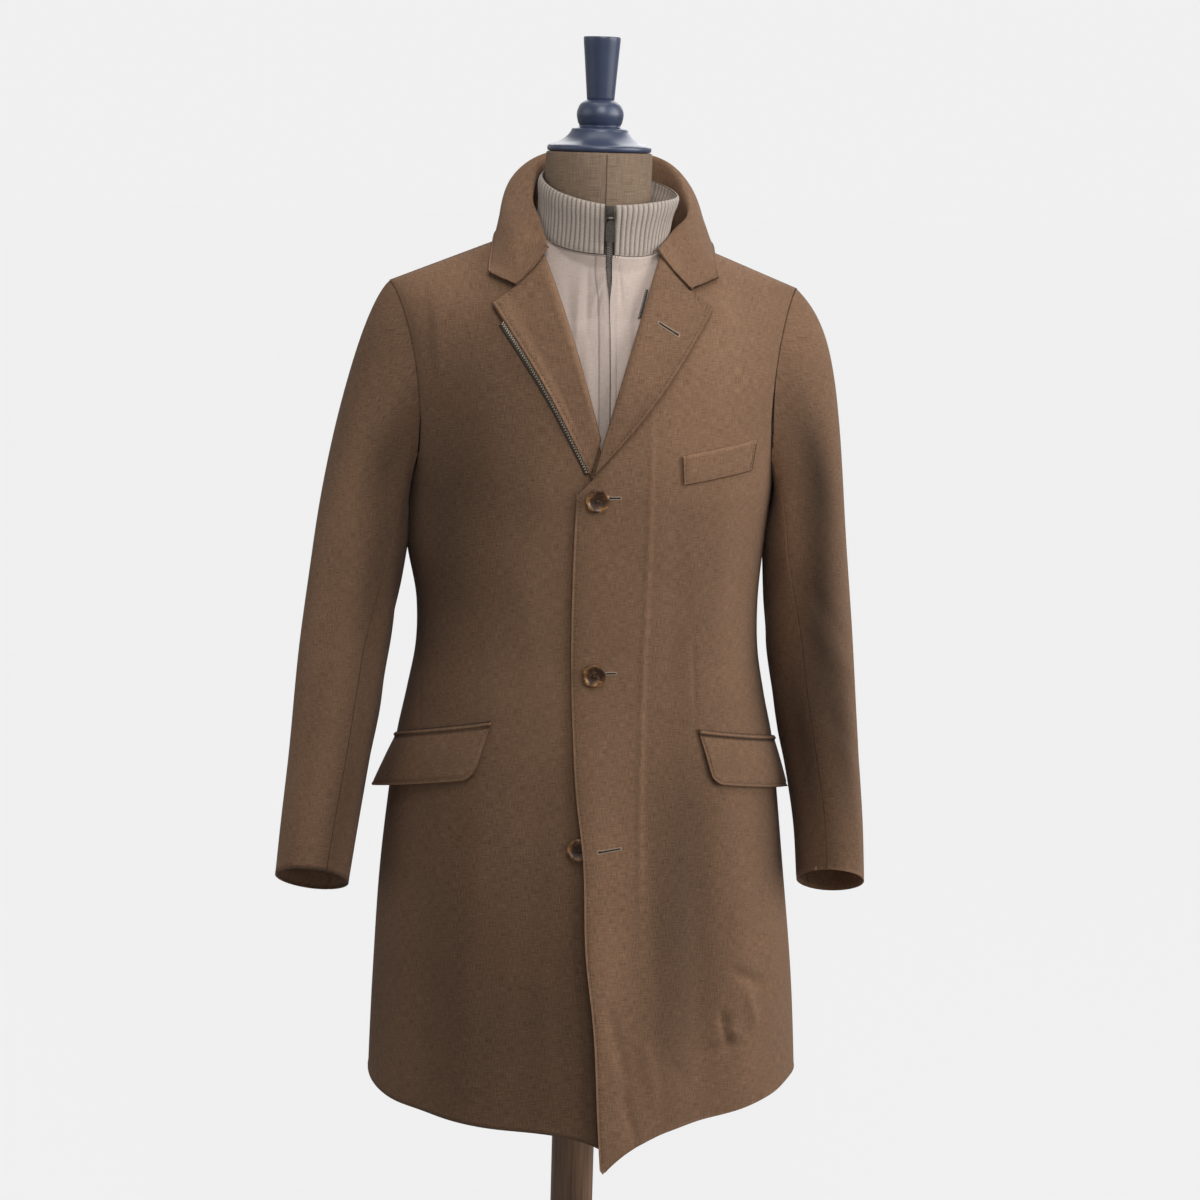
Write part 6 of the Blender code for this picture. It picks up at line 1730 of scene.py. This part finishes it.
def knit_material():
    """Rib knit: wool stitches in chevrons along each rib, with painted shade in the furrows and painted light on the
    raised loops.
    """
    material, tree, shader, place = new_material("rib_stone_knit")
    weave = add_node(tree, "ShaderNodeUVMap", uv_map="weave").outputs[0]
    ribs, up = add_node(tree, "ShaderNodeSeparateXYZ", {0: weave}).outputs[:2]
    beside = math_node(tree, "ABSOLUTE", math_node(tree, "SUBTRACT", math_node(tree, "FRACT", ribs), 0.5))
    slant = math_node(tree, "MULTIPLY", beside, 1.5)
    climb = math_node(tree, "ADD", math_node(tree, "MULTIPLY", up, KNIT_ROWS), slant)
    loops = math_node(tree, "SINE", math_node(tree, "MULTIPLY", climb, 2 * math.pi))
    fluff = add_node(tree, "ShaderNodeTexNoise", {"Vector": place, "Scale": 500, "Detail": 4.0}).outputs["Fac"]
    height = math_node(tree, "ADD", math_node(tree, "MULTIPLY", loops, 0.25), fluff)
    # Painted light and shade: darker in the furrows between ribs and lighter on raised loops; the fluff noise adds
    # uneven tone.
    furrow = math_node(tree, "POWER", math_node(tree, "MULTIPLY", beside, 2.0), 3.0)
    painted_furrow_shade = math_node(tree, "SUBTRACT", 0.88, math_node(tree, "MULTIPLY", furrow, 0.80))
    painted_loop_light_and_fluff = math_node(tree, "ADD", 0.55, math_node(tree, "MULTIPLY", height, 0.5))
    knit_tone_and_painted_shading = math_node(tree, "MULTIPLY", painted_furrow_shade, painted_loop_light_and_fluff)
    feed(tree, shader, {
        "Base Color": ramp_of(tree, knit_tone_and_painted_shading, 0.15, KNIT_DARK, 0.85, KNIT_LIGHT).outputs[0],
        "Normal": relief_of(tree, height, 0.5, CLOTH_RELIEF),
        "Roughness": 0.95,
        "Specular IOR Level": 0.15,
        "Sheen Weight": 0.15,
    })
    return material


mesh = cloth_wall("rib_collar_knit", RIB_COUNT * 10, 22, rib_place, RIB_RIM_ROUND)
rib = piece_of(mesh, knit_material(), "rib_knit", "rib_collar")


# The bib's centre zip: two rows of dark metal teeth on a woven tape, meshed up to its slider.
# The bib's edges part in a narrow V above, where the teeth show up to the slider.
ZIP_BOTTOM = 1.2500
BIB_ZIP_HALF = 0.0042
TOOTH_STEP = 0.0021
gunmetal = plain_material("zip_gunmetal", (0.250, 0.222, 0.200), 0.42, 0.30, 500, metallic=0.7)
zip_tape_dark = plain_material("bib_zip_tape", (0.090, 0.070, 0.058), 0.9, 0.2, 900)
SLIDER_TOP = 1.5420
SLIDER_LENGTH = 0.0165
TOOTH_CHAMFER = 0.2
TOOTH_SHARP = math.radians(30)
BIB_TOOTH = (0.0027, 0.0012, 0.0012)
BIB_TOOTH_OUT = 0.0011
BIB_TOOTH_PROUD = 0.0006
ZIP_BEHIND = 0.0012
ZIP_COMES_OUT = 0.024
ZIP_BLEND = 0.006
TAPE_BEHIND = 0.0004
TAPE_THICK = 0.0008


def zip_depth(z):
    """Depth of the centre zip's front face: behind the bib's edges, then inside the knitted collar."""
    opened = smooth_step(BIB_OPEN_FROM, BIB_OPEN_FROM + ZIP_COMES_OUT, z)
    behind = CLOTH_WALL + ZIP_BEHIND - CLOTH_WALL * opened
    low = bib_point(np.full(len(z), ZIP_X), np.minimum(z, BIB_TOP), -behind)[:, 1]
    base = rib_base(0.0)
    share = np.clip((z - base) / (SLIDER_TOP - base), 0, 1)
    collar_face = rib_point(np.zeros(len(z)), share, 0.0)[:, 1] + RIB_WALL / 2
    blend = smooth_step(BIB_TOP - ZIP_BLEND, BIB_TOP + ZIP_BLEND, z)
    return low + (collar_face - low) * blend


def add_block(shape, place, size, offset, segments=1, taper=1.0):
    """Adds a block with its edges taken off; taper narrows its foot."""
    made = bmesh.ops.create_cube(shape, size=1.0, matrix=place @ Matrix.Diagonal((*size, 1.0)))
    middle = place.translation
    for vert in made["verts"]:
        if taper != 1.0 and vert.co.z < middle.z:
            vert.co.x = middle.x + (vert.co.x - middle.x) * taper
    edges = list({edge for vert in made["verts"] for edge in vert.link_edges})
    bmesh.ops.bevel(shape, geom=edges, offset=offset, segments=segments, profile=0.5, affect="EDGES", material=-1)


def add_tooth(shape, spot, way, outward, size):
    """Adds one zip tooth: a small block with its corners taken off."""
    add_block(shape, laid_frame(spot, way, outward), size, min(size) * TOOTH_CHAMFER)


teeth = bmesh.new()
row_z = np.arange(ZIP_BOTTOM + 0.01, SLIDER_TOP - SLIDER_LENGTH - 0.0012, TOOTH_STEP)
for z, y in zip(row_z, zip_depth(row_z) - BIB_TOOTH_PROUD):
    for sign, rise in ((-1, 0.0), (1, TOOTH_STEP / 2)):
        add_tooth(teeth, (ZIP_X + sign * BIB_TOOTH_OUT, y, z + rise), (1, 0, 0), (0, -1, 0), BIB_TOOTH)
piece_of(mesh_from("bib_zip_teeth", teeth, TOOTH_SHARP), gunmetal, "dark_zip", "bib_zip")


def zip_tape_place(u, v, layer):
    z = ZIP_BOTTOM + (SLIDER_TOP - SLIDER_LENGTH - 0.001 - ZIP_BOTTOM) * v
    x = ZIP_X + BIB_ZIP_HALF * (2 * u - 1)
    y = zip_depth(z) + TAPE_BEHIND + TAPE_THICK * layer
    return np.stack([x, y, z], axis=-1), np.stack([x, z], axis=-1)


tape = piece_of(cloth_wall("bib_zip_tape", 6, 60, zip_tape_place, 0.0002), zip_tape_dark, "dark_zip")


# The slider: a cast gunmetal body that straddles the teeth, with two lugs that hold a pin.
# It is parked at the collar's top, where the knit is left open.
SLIDER_WIDTH = 0.0096
SLIDER_THICKNESS = 0.0042
SLIDER_FRONT = -0.0812
PIN = Vector((ZIP_X, SLIDER_FRONT - 0.0034, 1.5290))
PIN_RADIUS = 0.0007
LUG_INNER = 0.0026
LUG_THICKNESS = 0.0011
LUG_RADIUS = 0.0017
SLIDER_ROUND = 0.0005
SLIDER_TAPER = 0.72
SLIDER_PLATES = ((0.0015, 0.00075), (0.0013, SLIDER_THICKNESS - 0.00065))
SLIDER_POST = (0.0030, SLIDER_THICKNESS - 0.0006, 0.0060)
POST_BELOW_TOP = 0.0035
LUG_DEPTH = 0.0060
LUG_OUT = 0.0021
slider = bmesh.new()
slider_middle = SLIDER_TOP - SLIDER_LENGTH / 2
for thick, from_front in SLIDER_PLATES:
    place = Matrix.Translation((ZIP_X, SLIDER_FRONT + from_front, slider_middle))
    add_block(slider, place, (SLIDER_WIDTH, thick, SLIDER_LENGTH), SLIDER_ROUND, 3, SLIDER_TAPER)
place = Matrix.Translation((ZIP_X, SLIDER_FRONT + SLIDER_THICKNESS / 2, SLIDER_TOP - POST_BELOW_TOP))
add_block(slider, place, SLIDER_POST, SLIDER_ROUND, 2)
for sign in (-1, 1):
    place = Matrix.Translation((ZIP_X + sign * (LUG_INNER + LUG_THICKNESS / 2), SLIDER_FRONT - LUG_OUT, PIN.z))
    add_block(slider, place, (LUG_THICKNESS, LUG_DEPTH, 2 * LUG_RADIUS), SLIDER_ROUND, 2)
bmesh.ops.create_cone(
    slider, cap_ends=True, segments=16, radius1=PIN_RADIUS, radius2=PIN_RADIUS, depth=2 * LUG_INNER + LUG_THICKNESS,
    matrix=Matrix.Translation(PIN) @ Matrix.Rotation(math.pi / 2, 4, "Y"),
)
slider_metal = plain_material("slider_gunmetal", (0.062, 0.053, 0.046), 0.30, 0.25, 500, metallic=0.8)
piece_of(mesh_from("slider_cast", slider, math.radians(40)), slider_metal, "dark_zip", "zip_slider")


# The pull tab: a flat gunmetal tag on an eye that swings on the slider's pin.
# Its blade widens below the neck and has a sunk panel with a raised border.
PULL_THICKNESS = 0.0014
PULL_NECK = 0.0044
PULL_EYE_RADIUS = 0.0011
PULL_EYE_WALL = 0.0009
PULL_BORDER = 0.0009
PULL_BEVEL = 0.0002
PULL_SUNK = 0.0003
PULL_BLADE = [
    (0.0016, 0.0021), (0.0035, 0.0022), (0.0052, 0.0038), (0.0068, 0.0046), (0.0215, 0.0048), (0.0230, 0.0043),
    (0.0237, 0.0032),
]
pull = bmesh.new()
outline = [(half, -drop) for drop, half in PULL_BLADE] + [(-half, -drop) for drop, half in reversed(PULL_BLADE)]
ring = [pull.verts.new((x, -PULL_THICKNESS / 2, z)) for x, z in outline]
face = pull.faces.new(ring)
extruded(pull, [face], (0, PULL_THICKNESS, 0))
bmesh.ops.recalc_face_normals(pull, faces=pull.faces)
front_face = min(pull.faces, key=lambda found: found.calc_center_median().y)
bmesh.ops.inset_region(pull, faces=[front_face], thickness=PULL_BORDER, depth=0.0)
bmesh.ops.inset_region(pull, faces=[front_face], thickness=PULL_BEVEL, depth=-PULL_SUNK)
eye_outer = PULL_EYE_RADIUS + PULL_EYE_WALL
eye_half = PULL_NECK / 2
eye_corners = (
    (-eye_half, PULL_EYE_RADIUS), (eye_half, PULL_EYE_RADIUS), (eye_half, eye_outer), (-eye_half, eye_outer)
)
eye = bmesh.new()
section = [eye.verts.new((x, 0.0, z)) for x, z in eye_corners]
around = [eye.edges.new(pair) for pair in zip(section, section[1:] + section[:1])]
bmesh.ops.spin(
    eye, geom=section + around, cent=(0, 0, 0), axis=(1, 0, 0), angle=2 * math.pi, steps=24, use_merge=True
)
bmesh.ops.remove_doubles(eye, verts=eye.verts, dist=1e-6)
eye_mesh = mesh_from("pull_eye", eye)
pull.from_mesh(eye_mesh)
bpy.data.meshes.remove(eye_mesh)
bmesh.ops.translate(pull, verts=pull.verts, vec=PIN)
pull_mesh = bpy.data.meshes.new("pull_tab_cast")
pull.to_mesh(pull_mesh)
pull.free()
pull_mesh.shade_smooth()
pull_mesh.set_sharp_from_angle(angle=math.radians(35))
pull_metal = plain_material("pull_gunmetal", (0.090, 0.078, 0.068), 0.34, 0.2, 400, metallic=0.8)
piece_of(pull_mesh, pull_metal, "dark_zip", "zip_pull", body=PULL_BODY)


# The zip along the right lapel: silver teeth on a brown tape, sewn under the lapel's outer edge.
# It takes the bib's other half; only one row of teeth stands out beside the lapel.
ZIP_CHAIN_WIDTH = 0.0042
LAPEL_TOOTH_STEP = 0.0030
LAPEL_TOOTH = (0.0024, 0.0016, 0.0014)
LAPEL_TOOTH_PROUD = 0.0015
LAPEL_ZIP_SPREAD = 0.0008
LAPEL_TAPE_FROM = -0.0040
LAPEL_TAPE_OUT = 0.0002
LAPEL_TAPE_THICK = 0.0005
LAPEL_TAPE_WIDTH = ZIP_CHAIN_WIDTH + 0.0050
silver = plain_material("zip_silver", (0.470, 0.395, 0.310), 0.34, 0.30, 600, metallic=0.8)
lapel_tape = plain_material("lapel_zip_tape", (0.060, 0.043, 0.032), 0.9, 0.2, 900)
along = np.linspace(0.012, 0.90, 120)
edge = np.stack(lapel_place(RIGHT_LAPEL, -1, np.ones(along.shape), along), axis=-1)
step = np.gradient(edge, axis=0)
step /= np.linalg.norm(step, axis=-1, keepdims=True)
away = np.stack([-step[:, 1], step[:, 0]], axis=-1)
away *= np.sign(-away[:, :1])


def beside_lapel(offset, share):
    """x and z beside the right lapel's edge; share goes up along it."""
    even = np.linspace(0, 1, len(edge))
    return (along_line(share, even, edge) + along_line(share, even, away) * offset[:, None]).T


teeth = bmesh.new()
share = np.linspace(0, 1, 400)
for offset, lag in ((-0.0004, 0), (0.0014, 3)):
    line = on_front(*beside_lapel(offset + LAPEL_ZIP_SPREAD * (1 - share), share), -1, LAPEL_TOOTH_PROUD)
    for spot, way in zip(*walked(line[lag:], LAPEL_TOOTH_STEP)):
        sideways = Vector(way).cross(Vector(from_axis(spot)))
        add_tooth(teeth, spot, sideways, from_axis(spot), LAPEL_TOOTH)
piece_of(mesh_from("lapel_zip_teeth", teeth, TOOTH_SHARP), silver, "silver_zip", "lapel_zip")


def lapel_tape_place(u, v, layer):
    x, z = beside_lapel(LAPEL_TAPE_FROM + LAPEL_TAPE_WIDTH * u, v)
    return on_front(x, z, -1, LAPEL_TAPE_OUT + LAPEL_TAPE_THICK * (1 - layer)), np.stack([x, z], axis=-1)


tape = piece_of(cloth_wall("lapel_zip_tape", 6, 80, lapel_tape_place, 0.0001), lapel_tape, "coat_cloth")


# The end of the bib's side zip: a short run of dark teeth that shows beside the left lapel.
# The rest of it runs on under the lapel, where it fixes the bib to the coat.
SIDE_ZIP_TOP = 1.4570
SIDE_ZIP_BOTTOM = 1.4290
SIDE_ZIP_OUT = 0.0012
SIDE_TOOTH = (0.0016, 0.0010, 0.0009)
SIDE_TOOTH_STEP = 0.0018
SIDE_TOOTH_IN = 0.0014
SIDE_TOOTH_PROUD = 0.0006
SIDE_TAPE_FROM = 0.0012
SIDE_TAPE_WIDTH = 0.0032
SIDE_TAPE_BACK = 0.0003
SIDE_TAPE_THICK = 0.0006
side_zip = bmesh.new()
side_z = np.arange(SIDE_ZIP_BOTTOM + 0.001, SIDE_ZIP_TOP, SIDE_TOOTH_STEP)
side_x = roll_x(lift_of(BIB_PROBE_X, side_z), 1) - SIDE_TOOTH_IN
for spot in bib_point(side_x, side_z, SIDE_ZIP_OUT + SIDE_TOOTH_PROUD):
    add_tooth(side_zip, spot, (1, 0, 0), (0, -1, 0.3), SIDE_TOOTH)
piece_of(mesh_from("side_zip_teeth", side_zip, TOOTH_SHARP), gunmetal, "dark_zip", "bib_side_zip")


def side_tape_place(u, v, layer):
    z = SIDE_ZIP_BOTTOM + (SIDE_ZIP_TOP - SIDE_ZIP_BOTTOM) * v
    x = roll_x(lift_of(BIB_PROBE_X, z), 1) + SIDE_TAPE_FROM - SIDE_TAPE_WIDTH * u
    out = SIDE_ZIP_OUT - SIDE_TAPE_BACK + SIDE_TAPE_THICK * (1 - layer)
    return bib_point(x, z, out), np.stack([x, z], axis=-1)


tape = piece_of(cloth_wall("side_zip_tape", 5, 24, side_tape_place, 0.0001), zip_tape_dark, "dark_zip")


# The stage: a plain pale floor and backdrop, lit softly from the wearer's left, with weaker lights round it.
# The camera stands where the photograph was taken from.
BACKDROP = 0.871
FLOOR_GLOW = 0.905
FLOOR_HALF = 40.0
FLOOR_BELOW = 0.0005
FLOOR_LIT_SHARE = 0.15
FLOOR_BOUNCE = 0.30
SKY_DIFFUSE = 0.03
SKY_GLOSSY = 0.55
Lamp = namedtuple("Lamp", "name azimuth elevation strength")
LAMPS = [
    Lamp("key_side", 70, 10, 2.90),
    Lamp("top", 0, 86, 0.95),
    Lamp("rim", -75, 8, 0.50),
    Lamp("front_fill", 10, 8, 0.30),
    Lamp("back_fill", 165, 30, 1.20),
]
LAMP_SPREAD = math.radians(50)
SOFTBOX_PLACE = Vector((0.05, -0.95, 2.30))
SOFTBOX_AIM = Vector((0.0, 0.0, 1.45))
SOFTBOX_SIZE = 0.60
SOFTBOX_POWER = 6.5


def grey_node(tree, kind, level):
    """The output of a shader of one even grey."""
    return add_node(tree, kind, {"Color": (level, level, level, 1.0)}).outputs[0]


def mixed_shader(tree, share, first, second):
    """A mix of two shaders by a number or another node's output."""
    return add_node(tree, "ShaderNodeMixShader", {0: share, 1: first, 2: second}).outputs[0]


floor_shape = bmesh.new()
bmesh.ops.create_grid(floor_shape, x_segments=4, y_segments=4, size=FLOOR_HALF)
floor_mesh = bpy.data.meshes.new("studio_floor")
floor_shape.to_mesh(floor_mesh)
floor_shape.free()
floor_paint = bpy.data.materials.new("studio_floor_paint")
floor_paint.use_nodes = True
tree = floor_paint.node_tree
tree.nodes.clear()
glow = grey_node(tree, "ShaderNodeEmission", FLOOR_GLOW)
pale = mixed_shader(tree, FLOOR_LIT_SHARE, glow, grey_node(tree, "ShaderNodeBsdfDiffuse", BACKDROP))
bounce = grey_node(tree, "ShaderNodeBsdfDiffuse", FLOOR_BOUNCE)
seen = add_node(tree, "ShaderNodeLightPath").outputs["Is Camera Ray"]
add_node(tree, "ShaderNodeOutputMaterial", {"Surface": mixed_shader(tree, seen, bounce, pale)})
floor_mesh.materials.append(floor_paint)
floor = put("studio_floor", floor_mesh)
floor.location = (0.0, 0.0, -FLOOR_BELOW)

world = bpy.data.worlds.new("studio_backdrop")
bpy.context.scene.world = world
world.use_nodes = True
sky = world.node_tree
sky.nodes.clear()
path = add_node(sky, "ShaderNodeLightPath").outputs
skies = [grey_node(sky, "ShaderNodeBackground", level) for level in (SKY_DIFFUSE, SKY_GLOSSY, BACKDROP)]
by_gloss = mixed_shader(sky, path["Is Glossy Ray"], skies[0], skies[1])
by_camera = mixed_shader(sky, path["Is Camera Ray"], by_gloss, skies[2])
add_node(sky, "ShaderNodeOutputWorld", {"Surface": by_camera})
bpy.context.scene.view_settings.view_transform = "Standard"

for lamp in LAMPS:
    light = bpy.data.lights.new(lamp.name, "SUN")
    light.energy = lamp.strength
    light.angle = LAMP_SPREAD
    azimuth, elevation = math.radians(lamp.azimuth), math.radians(lamp.elevation)
    level = math.cos(elevation)
    from_where = Vector((math.sin(azimuth) * level, -math.cos(azimuth) * level, math.sin(elevation)))
    put(lamp.name, light).rotation_euler = from_where.to_track_quat("Z", "Y").to_euler()
softbox = bpy.data.lights.new("softbox", "AREA")
softbox.energy = SOFTBOX_POWER
softbox.size = SOFTBOX_SIZE
softbox_object = put("softbox", softbox)
softbox_object.location = SOFTBOX_PLACE
softbox_object.rotation_euler = (SOFTBOX_PLACE - SOFTBOX_AIM).to_track_quat("Z", "Y").to_euler()

CAMERA_PLACE = Vector((-0.2300, -2.3889, 1.6200))
HEADING = math.radians(5.835)
PITCH = math.radians(12.0)
ROLL = math.radians(1.6)
SENSOR = 36.0
LENS = 66.6
forward = Vector((math.sin(HEADING) * math.cos(PITCH), math.cos(HEADING) * math.cos(PITCH), -math.sin(PITCH)))
right = Vector((math.cos(HEADING), -math.sin(HEADING), 0.0))
up = right.cross(forward)
right_rolled = right * math.cos(ROLL) + up * math.sin(ROLL)
up_rolled = up * math.cos(ROLL) - right * math.sin(ROLL)
camera_data = bpy.data.cameras.new("photo_camera")
camera_data.sensor_width = SENSOR
camera_data.lens = LENS
camera = put("photo_camera", camera_data)
turned = Matrix((right_rolled, up_rolled, -forward)).transposed()
camera.matrix_world = Matrix.Translation(CAMERA_PLACE) @ turned.to_4x4()
bpy.context.scene.camera = camera
